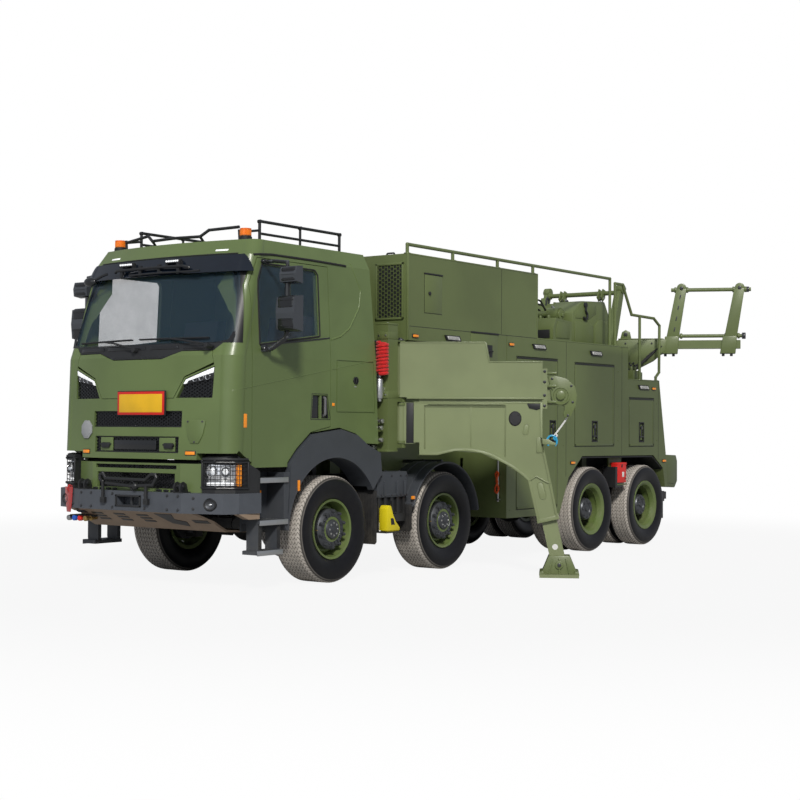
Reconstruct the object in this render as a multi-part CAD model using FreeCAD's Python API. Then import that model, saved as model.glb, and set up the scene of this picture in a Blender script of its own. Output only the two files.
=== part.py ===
import FreeCAD, Part
import math
import os

# Heavy four-axle recovery truck. Millimetres. +X forward, +Y to the truck's left, +Z up.
# The origin is on the ground, on the centre plane, under the first axle.

V = FreeCAD.Vector

# ---- driving dimensions ------------------------------------------------------------------
AXLE_2_X = -1943.0
AXLE_3_X = -5108.0
AXLE_4_X = -6571.0
TYRE_R = 535.0
RIM_R = 286.0
FRONT_TYRE_W = 385.0
FRONT_TYRE_OUT = 1178.0
TWIN_TYRE_W = 305.0
TWIN_GAP = 40.0
TWIN_OUT = 1250.0
BEAD_IN = 45.0
KINGPIN_Y = 800.0
KINGPIN_R = 48.0
KINGPIN_HALF = 120.0
SEAT_GAP = 0.3
DOOR_GAP = 6.0
DOOR_LAP = 30.0

RAIL_OUT = 430.0
RAIL_W = 90.0
RAIL_Z0 = 740.0
RAIL_Z1 = 1000.0
RAIL_FRONT = 1480.0
RAIL_REAR = -7080.0

CAB_HALF = 1150.0
DOOR_CLEAR_Y = CAB_HALF + 6.0
CAB_WALL = 70.0
DOOR_T = 50.0
ROOF_Z = 3345.0
CAB_FLOOR_Z = 1620.0
CAB_FLOOR_T = 50.0
CAB_PIVOT_X = 1440.0
CAB_PIVOT_Z = 900.0
PIVOT_PIN_R = 20.0
DOOR_FRONT_X = 1220.0
DOOR_REAR_X = 50.0

BODY_HALF = 1250.0
BODY_INNER = 640.0
BODY_WALL = 40.0
SIDE_WALL = 60.0
FLAP_T = 40.0
FLAP_LAP = 25.0
BODY_TOP = 2630.0
LOW_DECK = 2210.0
BODY_FRONT = -3060.0
CORE_HALF = 600.0
BOX_FRONT = -1110.0
BOX_REAR = -3740.0
BOX_TOP = 3400.0
BOX_BOTTOM = 2480.0

HINGE_X = -1120.0
HINGE_Y = 1150.0
HINGE_PIN_R = 26.0
ARM_ANGLE = 59.0
LEG_TRAVEL = 300.0

RAIL_TUBE_R = 19.0
HANDRAIL_Y = BODY_HALF - 35.0
HANDRAIL_Z = 3500.0

MAST_X = -6620.0
MAST_Z = 2330.0
MAST_Y = 590.0
MAST_LEAN = 19.0
SLEW_X = -6950.0
SLEW_Y = 500.0
SLEW_ANGLE = 65.0
REAR_BAR_X = AXLE_4_X - TYRE_R - 34.0
JAW_X = REAR_BAR_X - 210.0
JAW_R = 20.0


# ---- shape helpers -----------------------------------------------------------------------
def box(x0, x1, y0, y1, z0, z1):
    """Block between two corners given as ranges."""
    lo = V(min(x0, x1), min(y0, y1), min(z0, z1))
    return Part.makeBox(abs(x1 - x0), abs(y1 - y0), abs(z1 - z0), lo)


def face_of(points):
    """Flat face inside a closed polygon."""
    return Part.Face(Part.makePolygon(points + [points[0]]))


def side_prism(points, y0, y1):
    """Polygon of (x, z) points, pushed across the truck."""
    face = face_of([V(x, y0, z) for x, z in points])
    return face.extrude(V(0, y1 - y0, 0))


def front_prism(points, x0, x1):
    """Polygon of (y, z) points, pushed along the truck."""
    face = face_of([V(x0, y, z) for y, z in points])
    return face.extrude(V(x1 - x0, 0, 0))


def plan_prism(points, z0, z1):
    """Polygon of (x, y) points, pushed up."""
    face = face_of([V(x, y, z0) for x, y in points])
    return face.extrude(V(0, 0, z1 - z0))


def rod(start, end, r):
    """Round bar between two points."""
    a = V(*start)
    b = V(*end)
    return Part.makeCylinder(r, (b - a).Length, a, b - a)


def across(x, z, y0, y1, r):
    """Round bar along Y."""
    return rod((x, min(y0, y1), z), (x, max(y0, y1), z), r)


def bent_tube(points, r):
    """Tube through points, with a slightly wider ball at each bend."""
    pieces = [rod(a, b, r) for a, b in zip(points[:-1], points[1:])]
    pieces += [Part.makeSphere(r + 1.5, V(*p)) for p in points[1:-1]]
    return join(pieces)


def strut(points, half, y0, y1):
    """Flat bar of one width through (x, z) points, rounded at each end and bend."""
    pieces = [across(x, z, y0, y1, half) for x, z in points]
    for (xa, za), (xb, zb) in zip(points[:-1], points[1:]):
        length = math.hypot(xb - xa, zb - za)
        nx = -(zb - za) / length * half
        nz = (xb - xa) / length * half
        pieces.append(side_prism([(xa + nx, za + nz), (xb + nx, zb + nz), (xb - nx, zb - nz), (xa - nx, za - nz)],
                                 y0, y1))
    return join(pieces)


def join(shapes):
    """One shape from pieces that touch or overlap."""
    first = shapes[0]
    if len(shapes) == 1:
        return first
    return first.fuse(shapes[1:]).removeSplitter()


def cut(shape, tools):
    return shape.cut(tools)


def mirrored(shape):
    """The same piece on the truck's other side."""
    return shape.mirror(V(0, 0, 0), V(0, 1, 0))


def both(shape):
    """The piece and its mirror image as one shape with two solids."""
    return Part.makeCompound([shape, mirrored(shape)])


def turned(shape, x, y, degrees):
    """A copy turned about a vertical axis."""
    copy = shape.copy()
    copy.rotate(V(x, y, 0), V(0, 0, 1), degrees)
    return copy


def write(node, shape):
    solids = shape.Solids
    body = solids[0] if len(solids) == 1 else Part.makeCompound(solids)
    for solid in solids:
        if not solid.isValid():
            print("invalid solid in", node)
    print(node, len(solids), round(sum(s.Volume for s in solids) / 1e9, 4))
    body.exportStep("parts/%s.step" % node)


# ---- wheels ------------------------------------------------------------------------------
def ring(profile, x, y, side):
    """Revolve (radius, outward offset) points about a wheel's axle line."""
    points = [V(x + r, y + side * out, TYRE_R) for r, out in profile]
    return face_of(points).revolve(V(x, y, TYRE_R), V(0, 1, 0), 360)


def tyre(x, y_mid, width):
    """Tyre with round shoulders, centred at y_mid."""
    half = width / 2
    bead = RIM_R + 2 + SEAT_GAP
    tread = TYRE_R
    shoulder = TYRE_R - 30
    wall = TYRE_R - 110
    seat = half - BEAD_IN - SEAT_GAP
    right = [V(x + bead, y_mid + seat, TYRE_R), V(x + RIM_R + 16, y_mid + seat, TYRE_R),
             V(x + wall, y_mid + half, TYRE_R),
             V(x + shoulder, y_mid + half - 12, TYRE_R), V(x + tread, y_mid + half - 50, TYRE_R)]
    left = [V(p.x, 2 * y_mid - p.y, p.z) for p in reversed(right)]
    edges = [Part.makeLine(right[0], right[1]),
             Part.makeLine(right[1], right[2]),
             Part.Arc(right[2], right[3], right[4]).toShape(),
             Part.makeLine(right[4], left[0]),
             Part.Arc(left[0], left[1], left[2]).toShape(),
             Part.makeLine(left[2], left[3]),
             Part.makeLine(left[3], left[4]),
             Part.makeLine(left[4], right[0])]
    face = Part.Face(Part.Wire(edges))
    return face.revolve(V(x, y_mid, TYRE_R), V(0, 1, 0), 360)


def hand_holes(shape, x, y0, y1, count, pitch_r, hole_r):
    """Round holes through a wheel disc."""
    holes = []
    for i in range(count):
        a = 2 * math.pi * i / count
        px = x + pitch_r * math.cos(a)
        pz = TYRE_R + pitch_r * math.sin(a)
        holes.append(across(px, pz, y0, y1, hole_r))
    return cut(shape, holes)


# Wheel hubs and spindles: the spindle enters a blind hole in the hub.
SPINDLE_R = 50.0
SPINDLE_IN = 90.0
HUB_BACK = 55.0


def front_rim(x, side):
    """Disc wheel with a hub that stands out to the tyre's face."""
    y_mid = FRONT_TYRE_OUT - FRONT_TYRE_W / 2
    half = FRONT_TYRE_W / 2 - BEAD_IN
    face = FRONT_TYRE_OUT - 60
    back = y_mid - HUB_BACK
    # radius, distance from the centre plane
    profile = [(SPINDLE_R + SEAT_GAP, back), (175, back), (175, face - 120), (225, face - 95),
               (262, face - 150), (262, y_mid - half), (300, y_mid - half - 8),
               (300, y_mid - half), (RIM_R + 2, y_mid - half), (RIM_R + 2, y_mid + half),
               (300, y_mid + half), (300, y_mid + half + 10), (278, y_mid + half + 4),
               (262, face - 125), (225, face - 78), (200, face - 78), (200, face - 8),
               (165, face + 18), (0, face + 18), (0, back + SPINDLE_IN + 5),
               (SPINDLE_R + SEAT_GAP, back + SPINDLE_IN + 5)]
    rim = ring(profile, x, 0, side)
    return hand_holes(rim, x, side * (face - 150), side * (face - 60), 10, 240, 14)


def twin_rim(x, side):
    """Two deep wheels back to back, with a recessed hub."""
    outer = TWIN_OUT - TWIN_TYRE_W / 2
    inner = outer - TWIN_TYRE_W - TWIN_GAP
    mid = (outer + inner) / 2
    half = TWIN_TYRE_W / 2 - BEAD_IN
    back = inner - 60
    # radius, distance from the centre plane
    profile = [(SPINDLE_R + SEAT_GAP, back), (170, back), (170, mid - 20), (262, mid - 20),
               (262, inner - half), (300, inner - half - 10), (300, inner - half),
               (RIM_R + 2, inner - half), (RIM_R + 2, outer + half),
               (300, outer + half), (300, outer + half + 12), (276, outer + half + 6),
               (262, outer + half - 40), (262, mid + 40), (235, mid + 12), (150, mid + 12),
               (150, mid + 60), (135, mid + 120), (110, mid + 135), (0, mid + 135),
               (0, back + SPINDLE_IN + 5), (SPINDLE_R + SEAT_GAP, back + SPINDLE_IN + 5)]
    rim = ring(profile, x, 0, side)
    return hand_holes(rim, x, side * (mid - 40), side * (mid + 60), 10, 210, 26)


def knuckle(x, side):
    """Kingpin housing, brake drum, steering arm and spindle of a steered wheel."""
    back = FRONT_TYRE_OUT - FRONT_TYRE_W / 2 - HUB_BACK
    y = side * KINGPIN_Y
    spindle = across(x, TYRE_R, y, side * (back + SPINDLE_IN), SPINDLE_R)
    drum = across(x, TYRE_R, side * (KINGPIN_Y + 70), side * (back - 12), 190)
    housing = rod((x, y, TYRE_R - KINGPIN_HALF), (x, y, TYRE_R + KINGPIN_HALF), KINGPIN_R)
    steering_arm = box(x - 210, x - 30, y - 20, y + 20, TYRE_R - 90, TYRE_R - 50)
    return join([spindle, drum, housing, steering_arm])


# ---- running gear and frame ---------------------------------------------------------------
def axle_beams():
    """Two steered axle beams with fork ends and two driven rear axles with a banjo casing."""
    shapes = []
    pin = KINGPIN_Y
    seat = KINGPIN_HALF + SEAT_GAP
    for x in (0.0, AXLE_2_X):
        beam = box(x - 60, x + 60, -(pin - 90), pin - 90, TYRE_R - 60, TYRE_R + 60)
        bowl = Part.makeSphere(170, V(x, 0, TYRE_R)).common(box(x - 150, x + 150, -150, 150, 0, 1000))
        forks = []
        for side in (1, -1):
            forks.append(box(x - 50, x + 50, side * (pin - 110), side * (pin - 65), TYRE_R - seat - 40,
                             TYRE_R + seat + 40))
            for z in (TYRE_R - seat - 40, TYRE_R + seat):
                forks.append(box(x - 45, x + 45, side * (pin - 70), side * (pin + 45), z, z + 40))
        shapes.append(join([beam, bowl] + forks))
    inner = TWIN_OUT - TWIN_TYRE_W * 1.5 - TWIN_GAP
    back = inner - 60
    for x in (AXLE_3_X, AXLE_4_X):
        tube = across(x, TYRE_R, -(back - 12), back - 12, 75)
        bowl = Part.makeSphere(210, V(x, 0, TYRE_R)).common(box(x - 200, x + 200, -140, 140, 0, 1000))
        stub = across(x, TYRE_R, -(back + SPINDLE_IN), back + SPINDLE_IN, SPINDLE_R)
        shapes.append(join([tube, bowl, stub]))
    return Part.makeCompound(shapes)


def leaf_spring(x, y, half_length, seat_z):
    """Leaf pack from two hangers on the rail down to the axle's seat."""
    points = [(x - half_length, RAIL_Z0 + 40), (x - half_length, RAIL_Z0 - 30), (x - 120, seat_z),
              (x + 120, seat_z), (x + half_length, RAIL_Z0 - 30), (x + half_length, RAIL_Z0 + 40),
              (x + 80, seat_z + 90), (x - 80, seat_z + 90)]
    return side_prism(points, y - 40, y + 40)


def chassis_frame():
    """Two channel rails with cross members, springs and the cab's rear rest."""
    rails = []
    mid_y = RAIL_OUT - RAIL_W / 2
    for side in (1, -1):
        web = box(RAIL_REAR, RAIL_FRONT, side * (RAIL_OUT - 12), side * RAIL_OUT, RAIL_Z0, RAIL_Z1)
        rails.append(web)
        for z in (RAIL_Z0, RAIL_Z1 - 12):
            rails.append(box(RAIL_REAR, RAIL_FRONT, side * (RAIL_OUT - RAIL_W), side * RAIL_OUT, z, z + 12))
        for x in (0.0, AXLE_2_X):
            rails.append(leaf_spring(x, side * mid_y, 560, TYRE_R + 60))
        for x in (AXLE_3_X, AXLE_4_X):
            rails.append(leaf_spring(x, side * mid_y, 470, TYRE_R + 75))
    for x in (RAIL_FRONT - 90, -620.0, -1000.0, -2900.0, -4000.0, -5840.0, RAIL_REAR + 60):
        rails.append(box(x - 50, x + 50, -RAIL_OUT + 5, RAIL_OUT - 5, RAIL_Z0 + 30, RAIL_Z1 - 30))
    # the cab's front pivot pins, and the arch that its rear edge rests on
    for side in (1, -1):
        rails.append(across(CAB_PIVOT_X, CAB_PIVOT_Z, side * (RAIL_OUT - 40), side * (RAIL_OUT + 50), PIVOT_PIN_R))
    for side in (1, -1):
        rails.append(box(-620, -560, side * 340, side * 410, RAIL_Z1 - 12, CAB_FLOOR_Z - CAB_FLOOR_T - SEAT_GAP))
    rails.append(box(-620, -560, -410, 410, 1480, 1540))
    return join(rails)


def engine_block():
    """Plain mass of the engine, between the rails and under the cab floor."""
    block = box(-480, 780, -300, 300, 790, 1420)
    mounts = []
    for x in (-380.0, 560.0):
        mounts.append(box(x, x + 90, -RAIL_OUT + 12 + SEAT_GAP, RAIL_OUT - 12 - SEAT_GAP, 850, 940))
    return join([block] + mounts)


# ---- front end ---------------------------------------------------------------------------
BUMPER_Z0 = 745.0
BUMPER_Z1 = 935.0
BUMPER_X = 1690.0
TOW_PIN_X = 1642.0
TOW_PIN_R = 18.0


def front_bumper():
    """Steel bumper with swept ends, a hitch slot, lamp recesses and a skid plate below."""
    plan = [(1150, 1100), (1150, 1215), (1430, 1190), (1560, 1110), (BUMPER_X, 700), (BUMPER_X, -700),
            (1560, -1110), (1430, -1190), (1150, -1215), (1150, -1100), (1380, -1050), (1480, -600),
            (1480, 600), (1380, 1050)]
    beam = plan_prism(plan, BUMPER_Z0, BUMPER_Z1)
    end_drop = []
    for side in (1, -1):
        end_drop.append(side_prism([(1150, 690), (1300, 690), (1450, BUMPER_Z0 + 5), (1150, BUMPER_Z0 + 5)],
                                   side * 1120, side * 1195))
    slot = box(1590, BUMPER_X + 5, -150, 150, 800, 880)
    pin_hole = rod((TOW_PIN_X, 0, BUMPER_Z0 - 60), (TOW_PIN_X, 0, BUMPER_Z1 + 5), TOW_PIN_R)
    recesses = []
    for side in (1, -1):
        recesses.append(rod((1590, side * 985, 831), (1700, side * 985, 831), 62))
    beam = cut(join([beam] + end_drop), [slot] + recesses)
    skid = side_prism([(1600, BUMPER_Z0 + 5), (1640, BUMPER_Z0 + 5), (1290, 560), (860, 540),
                       (860, 560), (1280, 580)], -900, 900)
    skid = skid.common(plan_prism([(1650, 760), (1650, -760), (1300, -1000), (860, -900), (860, 900),
                                   (1300, 1000)], 500, 800))
    skid_slots = [box(1050, 1180, y, y + 70, 500, 640) for y in (-700, -420, -140, 140, 420, 660)]
    return cut(join([beam, cut(skid, skid_slots)]), [pin_hole])


def front_valance():
    """Fixed panel between the bumper and the cab, with a slot and a wide opening."""
    plan = [(1520, 860), (1600, 600), (1600, -600), (1520, -860), (1490, -860), (1570, -600), (1570, 600),
            (1490, 860)]
    panel = plan_prism(plan, BUMPER_Z1, 1205)
    openings = [box(1400, 1700, -530, 530, 965, 1110), box(1400, 1700, -550, 550, 1150, 1186)]
    return cut(panel, openings)


def front_tow_frame():
    """Folded tube frame in front of the lower opening, with its ball and two feet."""
    x = BUMPER_X + 22
    r = 16
    tubes = [bent_tube([(x, -330, 850), (x, -330, 1020), (x, -370, 1040), (x, -370, 1080), (x, -330, 1100),
                        (x, -290, 1050), (x, 250, 1045), (x, 330, 1100), (x, 385, 1100), (x, 400, 1070),
                        (x, 350, 1000), (x, 60, 985), (x, -290, 1005)], r),
             bent_tube([(x, 260, 850), (x, 260, 1000)], r)]
    ball = Part.makeSphere(34, V(x, 120, 985))
    feet = [box(BUMPER_X + SEAT_GAP, x + 10, y - 30, y + 30, 815, 870) for y in (-330, 260)]
    return join(tubes + [ball] + feet)


def headlamps():
    """Lamp body and its guard frame under each front corner of the cab."""
    plan = [(1585, 870), (1560, 1010), (1440, 1150), (1200, 1205), (1160, 1205), (1160, 1100), (1390, 1040),
            (1470, 870)]
    body = plan_prism(plan, BUMPER_Z1 + SEAT_GAP, 1400)
    outline = side_prism([(1150, 900), (1600, 900), (1600, 1262), (1420, 1285), (1160, 1135)], 800, 1300)
    body = body.common(outline)
    inner = plan_prism([(1640, 895), (1640, 1060), (1480, 1240), (1330, 1240), (1330, 1120), (1430, 1060),
                        (1500, 895)], 985, 1215)
    shell = cut(body, [inner.common(outline)])
    lens = plan_prism([(1545, 900), (1520, 1000), (1415, 1110), (1345, 1130), (1345, 1110), (1420, 1050),
                       (1490, 900)], 990, 1210)
    swing = box(1140, 1700, 1094, DOOR_CLEAR_Y, 900, 1400)
    swing = swing.cut(across(CAB_PIVOT_X, CAB_PIVOT_Z, 1000, 1300, 298))
    return both(cut(join([shell, lens]), [swing]))


def mudguards_and_steps():
    """Front arch with the access steps, and the arch over the second wheel."""
    ring1 = Part.makeCylinder(745, 270, V(0, 915, TYRE_R), V(0, 1, 0))
    hole1 = Part.makeCylinder(715, 300, V(0, 900, TYRE_R), V(0, 1, 0))
    keep1 = side_prism([(760, 560), (1100, 900), (900, 1600), (-780, 1600), (-780, 1050), (-500, 900),
                        (0, 600), (400, 560)], 900, 1200)
    arch1 = cut(ring1, [hole1]).common(keep1)
    flange = side_prism([(720, 700), (690, 1196), (566, 1322), (350, 1484), (-88, 1533), (-352, 1474),
                         (-522, 1373), (-735, 1290), (-760, 1075), (-600, 900), (500, 700)], 1115, 1185)
    flange = cut(flange, [hole1])
    carriers1 = [box(-150, -90, RAIL_OUT, 1000, 1258, 1290)]
    carriers1 += [box(-150, -90, RAIL_OUT, RAIL_OUT + 40, 900, 1290)]
    # step well: two treads between two cheeks
    cheek_f = box(1130, 1148, 960, 1180, 640, 1120)
    cheek_r = side_prism([(745, 560), (790, 640), (790, 1120), (700, 1120), (716, 900), (735, 640)], 960, 1180)
    back = box(745, 1148, 940, 965, 560, 1120)
    treads = [box(740, 1148, 960, 1195, z - 30, z) for z in (1070, 670)]
    # hanging bottom step
    hanger = [box(x, x + 45, 1020, 1170, 370, 660) for x in (830, 1095)]
    low = box(820, 1185, 1010, 1200, 350, 385)
    bracket = box(1000, 1060, RAIL_OUT, 960, 900, 960)
    unit1 = join([arch1, flange, cheek_f, cheek_r, back, low, bracket] + treads + hanger + carriers1)
    ring2 = Part.makeCylinder(648, 390, V(AXLE_2_X, 790, TYRE_R), V(0, 1, 0))
    hole2 = Part.makeCylinder(626, 430, V(AXLE_2_X, 770, TYRE_R), V(0, 1, 0))
    keep2 = side_prism([(AXLE_2_X + 700, 700), (AXLE_2_X + 700, 1300), (AXLE_2_X - 700, 1300),
                        (AXLE_2_X - 700, 960), (AXLE_2_X, 800)], 780, 1200)
    arch2 = cut(ring2, [hole2]).common(keep2)
    carrier2 = box(AXLE_2_X - 30, AXLE_2_X + 30, CORE_HALF, 900, 1165, 1178)
    unit2 = join([arch2, carrier2])
    return Part.makeCompound([unit1, unit2, mirrored(unit1), mirrored(unit2)])


def side_boxes():
    """Battery box on the left and air tanks and fuel tank on the right, behind the first wheel."""
    left = box(-1275, -720, RAIL_OUT, 1108, 560, 1060)
    recess = [box(-1230 + i * 110, -1160 + i * 110, 1088, 1115, 640, 980) for i in range(5)]
    left = cut(left, recess)
    right = box(-1275, -720, -1108, -RAIL_OUT, 560, 1060)
    tanks = []
    for side in (1, -1):
        tank = rod((-2980, side * 600, 800), (-2620, side * 600, 800), 125)
        tanks.append(join([tank, box(-2850, -2750, side * RAIL_OUT, side * 560, 720, 900)]))
    tail = box(-5920, -5720, 1050, BODY_HALF - 15, 790, 1060)
    tail = join([tail, box(-5850, -5790, RAIL_OUT, 1100, 940, 980)])
    return Part.makeCompound([left, right, tail, mirrored(tail)] + tanks)


# ---- cab ---------------------------------------------------------------------------------
# height, half width, rear x, front x on the centre plane, bow of the front, corner radius
CAB_SECTIONS = [
    (1170, CAB_HALF, -750, 1640, 110, 190),
    (2220, CAB_HALF, -690, 1600, 110, 190),
    (3190, CAB_HALF - 55, -640, 1290, 110, 170),
    (ROOF_Z, CAB_HALF - 110, -600, 1190, 110, 150),
]


def cab_wire(section, inset):
    """Plan outline of the cab at one height: straight sides, round corners, bowed front."""
    z, half, rear, front, bow, corner = section
    half -= inset
    rear += inset
    front -= inset
    side_x = front - bow - corner
    in_y = half - corner * 0.75
    bend = V(front - bow - corner * 0.20, half - corner * 0.22, z)
    points = [V(rear, -half, z), V(side_x, -half, z), V(bend.x, -bend.y, z), V(front - bow, -in_y, z),
              V(front, 0, z), V(front - bow, in_y, z), bend, V(side_x, half, z), V(rear, half, z)]
    edges = [Part.makeLine(points[0], points[1]),
             Part.Arc(points[1], points[2], points[3]).toShape(),
             Part.Arc(points[3], points[4], points[5]).toShape(),
             Part.Arc(points[5], points[6], points[7]).toShape(),
             Part.makeLine(points[7], points[8]),
             Part.makeLine(points[8], points[0])]
    return Part.Wire(edges)


def cab_hull(inset, rows):
    wires = [cab_wire(row, inset) for row in rows]
    return Part.makeLoft(wires, True, True)


def cab_outer():
    return cab_hull(0.0, CAB_SECTIONS)


def cab_inner():
    """Space inside the cab's walls, above and below the floor, with a roof 45 thick."""
    rows = list(CAB_SECTIONS)
    first = (rows[0][0] - 10,) + rows[0][1:]
    last = (rows[3][0] - 45,) + rows[3][1:]
    return cab_hull(CAB_WALL, [first, rows[1], rows[2], last])


def side_opening(points, y0, y1):
    """Cutter through both side walls."""
    left = side_prism(points, y0, y1)
    return [left, mirrored(left)]


def door_outline(gap):
    """Door edge as (x, z): sill, wheel-arch run, rear post, top and front post."""
    g = gap
    return [(DOOR_FRONT_X - g, 1100 + g), (700 + g, 1100 + g), (700 + g, 1205 + g), (575 + g * 0.6, 1335 + g),
            (355 + g * 0.4, 1500 + g), (DOOR_REAR_X + g, 1556 + g), (DOOR_REAR_X + g, 3160 - g),
            (1105 - g, 3160 - g), (DOOR_FRONT_X - g, 2900 - g)]


WINDOW = [(1095, 2345), (225, 2465), (225, 3060), (260, 3095), (1030, 3095), (1095, 2950)]


def arch_cutter():
    """Wheel-arch space cut from the cab's skirt."""
    return side_prism([(705, 1000), (700, 1205), (575, 1335), (355, 1500), (-90, 1550), (-360, 1490),
                       (-530, 1390), (-800, 1380), (-800, 1000)], -1300, 1300)


# Front outlines as (y, z) points of the left half, from the top centre down to the bottom centre.
LID_HALF = [(330, 2190), (560, 2262), (900, 2262), (930, 2153), (610, 2023), (490, 1822)]
OPENING_HALF = [(1000, 2335), (910, 2262), (937, 2131), (615, 2014), (494, 1817)]
COWL_TOP_HALF = [(1000, 2335), (912, 2268), (563, 2268), (333, 2196)]
LAMP_FIELD = [(945, 2118), (625, 2002), (525, 1822), (930, 1822)]
LAMP = [(945, 2118), (625, 2002), (592, 1940), (938, 2000)]
# grille rows: half width, z bottom, z top
GRILLE_ROWS = [(600, 1545, 1700), (570, 1302, 1458)]
LID_T = 26.0


def two_sided(half):
    """Closed outline from its left half."""
    return half + [(-y, z) for y, z in reversed(half)]


def front_cutter(points):
    return front_prism(points, 1380, 1800)


def screen_opening(gap):
    """Region in front of the slanted roof pillars, between the cowl and the header."""
    return side_prism([(1335 + gap, 2335 + gap), (1800, 2335 + gap), (1800, 3070 - gap), (1172 + gap, 3070 - gap),
                       (1248 + gap, 2885)], -CAB_HALF - 50, CAB_HALF + 50)


def cab_shell(outer, inner):
    """Roof, walls, floor and front of the cab with its door, screen and lid openings."""
    shell = outer.cut(inner)
    bottom = CAB_SECTIONS[0][1:]
    floor = cab_hull(CAB_WALL - 5, [(CAB_FLOOR_Z - CAB_FLOOR_T,) + bottom, (CAB_FLOOR_Z,) + bottom])
    shell = join([shell, floor.common(box(-800, 1560, -1200, 1200, 1500, 1700))])
    front_low = box(1300, 1800, -780, 780, 1100, 1243)
    front_side = side_prism([(1142, 1100), (1142, 1172), (1400, 1330), (1420, 1306), (1800, 1300), (1800, 1100)],
                            -1300, 1300)
    cutters = [arch_cutter(), front_low, screen_opening(0), front_side.cut(box(1200, 1900, -780, 780, 1000, 1400))]
    # each door sits in a rebate, and a smaller opening goes right through
    skin = outer.cut(cab_hull(DOOR_T + SEAT_GAP, CAB_SECTIONS))
    for points, depth in ((door_outline(0), skin), (door_outline(DOOR_LAP), None)):
        cutter = side_prism(points, CAB_HALF - 250, CAB_HALF + 150)
        cutter = cutter.common(depth) if depth else cutter
        cutters += [cutter, mirrored(cutter)]
    # the door's bowed front corner needs room behind it as the door turns
    corner = side_prism([(1085, 2440), (DOOR_FRONT_X, 2440), (DOOR_FRONT_X, 2900), (1105, 3160), (1085, 3160)],
                        CAB_HALF - 250, CAB_HALF + 150)
    cutters += [corner, mirrored(corner)]
    cutters.append(front_cutter(two_sided(OPENING_HALF)))
    for side in (1, -1):
        cutters.append(front_cutter([(side * y, z) for y, z in LAMP_FIELD]))
    for half, z0, z1 in GRILLE_ROWS:
        cutters.append(box(1450, 1800, -half, half, z0, z1))
    hatch = side_prism([(-40, 1700), (-680, 1700), (-650, 2230), (-40, 2230)], CAB_HALF - 8, 1300)
    inside = side_prism([(-52, 1712), (-668, 1712), (-640, 2218), (-52, 2218)], CAB_HALF - 20, 1300)
    groove = hatch.cut(inside)
    cutters += [groove, mirrored(groove)]
    shell = cut(shell, cutters)
    extras = []
    stops = cab_hull(LID_T + SEAT_GAP, CAB_SECTIONS).cut(cab_hull(CAB_WALL - 8, CAB_SECTIONS))
    for side in (1, -1):
        arm = strut([(CAB_PIVOT_X, CAB_PIVOT_Z), (1165, 1130), (1165, CAB_FLOOR_Z - 40)], 32,
                    side * (RAIL_OUT + SEAT_GAP), side * (RAIL_OUT + 50))
        hole = across(CAB_PIVOT_X, CAB_PIVOT_Z, side * 300, side * 600, PIVOT_PIN_R + 0.3)
        extras.append(arm.cut(hole))
        extras.append(stops.common(box(1300, 1800, side * 280, side * 330, 1817, 1875)))
    return join([shell] + extras)


def windscreen():
    """Bowed pane in the front opening, round both corners."""
    rows = [CAB_SECTIONS[1], CAB_SECTIONS[2]]
    pane = cab_hull(8.0, rows).cut(cab_hull(20.0, rows))
    return pane.common(screen_opening(SEAT_GAP))


def door_panel(outer):
    """Left door: the wall inside the door outline, with its window cut out."""
    panel = outer.cut(cab_hull(DOOR_T, CAB_SECTIONS)).common(side_prism(door_outline(DOOR_GAP), 900, 1300))
    recess = side_prism([(70, 1640), (350, 1640), (330, 1870), (110, 1870)], CAB_HALF - 25, 1300)
    grab = box(190, 215, CAB_HALF - 30, CAB_HALF - 4, 1640, 1870)
    return join([cut(panel, [side_prism(WINDOW, 900, 1300), recess]), grab])


def door_glass(outer):
    pane = cab_hull(10.0, CAB_SECTIONS[1:3]).cut(cab_hull(18.0, CAB_SECTIONS[1:3]))
    opening = side_prism(WINDOW, CAB_HALF - 150, CAB_HALF + 150)
    return pane.common(opening)


def mirrors(outer):
    """Two mirror heads on bracket arms, carried by the door."""
    y0 = 1310.0
    y1 = 1535.0
    low = side_prism([(940, 2450), (1060, 2470), (1075, 2620), (1060, 2770), (940, 2790)], y0, y1)
    high = side_prism([(945, 2900), (1040, 2915), (1050, 2990), (1030, 3060), (950, 3065)], y0 + 20, y1)
    post = rod((985, 1380, 2420), (985, 1380, 2910), 17)
    low_arm = bent_tube([(1050, CAB_HALF - 30, 2290), (1050, 1220, 2290), (985, 1380, 2400), (985, 1380, 2430)], 17)
    foot = box(1000, 1095, CAB_HALF - 30, CAB_HALF + 40, 2265, 2320)
    high_arm = bent_tube([(985, 1380, 3060), (985, 1380, 3110), (1010, 1200, 3125), (1010, CAB_HALF - 90, 3125)], 14)
    return join([low, high, post, low_arm, foot, high_arm]).cut(outer)


def front_lid(outer):
    """Service lid across the front, cut to the skin's bow."""
    skin = outer.cut(cab_hull(LID_T, CAB_SECTIONS))
    return skin.common(front_cutter(two_sided(LID_HALF)))


def grille():
    """Cowl, lamp pods and mesh plates that fill the front openings."""
    band = cab_hull(34.0, CAB_SECTIONS).cut(cab_hull(52.0, CAB_SECTIONS))
    deep = cab_hull(12.0, CAB_SECTIONS).cut(cab_hull(52.0, CAB_SECTIONS))
    pieces = [cab_hull(5.0, CAB_SECTIONS).cut(cab_hull(45.0, CAB_SECTIONS)).common(
        front_cutter(two_sided(COWL_TOP_HALF)))]
    for side in (1, -1):
        mesh = band.common(front_cutter([(side * y, z) for y, z in LAMP_FIELD]))
        lamp = deep.common(front_cutter([(side * y, z) for y, z in LAMP]))
        pieces.append(join([mesh, lamp]))
    for half, z0, z1 in GRILLE_ROWS:
        pieces.append(band.common(box(1400, 1800, -half, half, z0, z1)))
    return Part.makeCompound([s for p in pieces for s in p.Solids])


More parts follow.
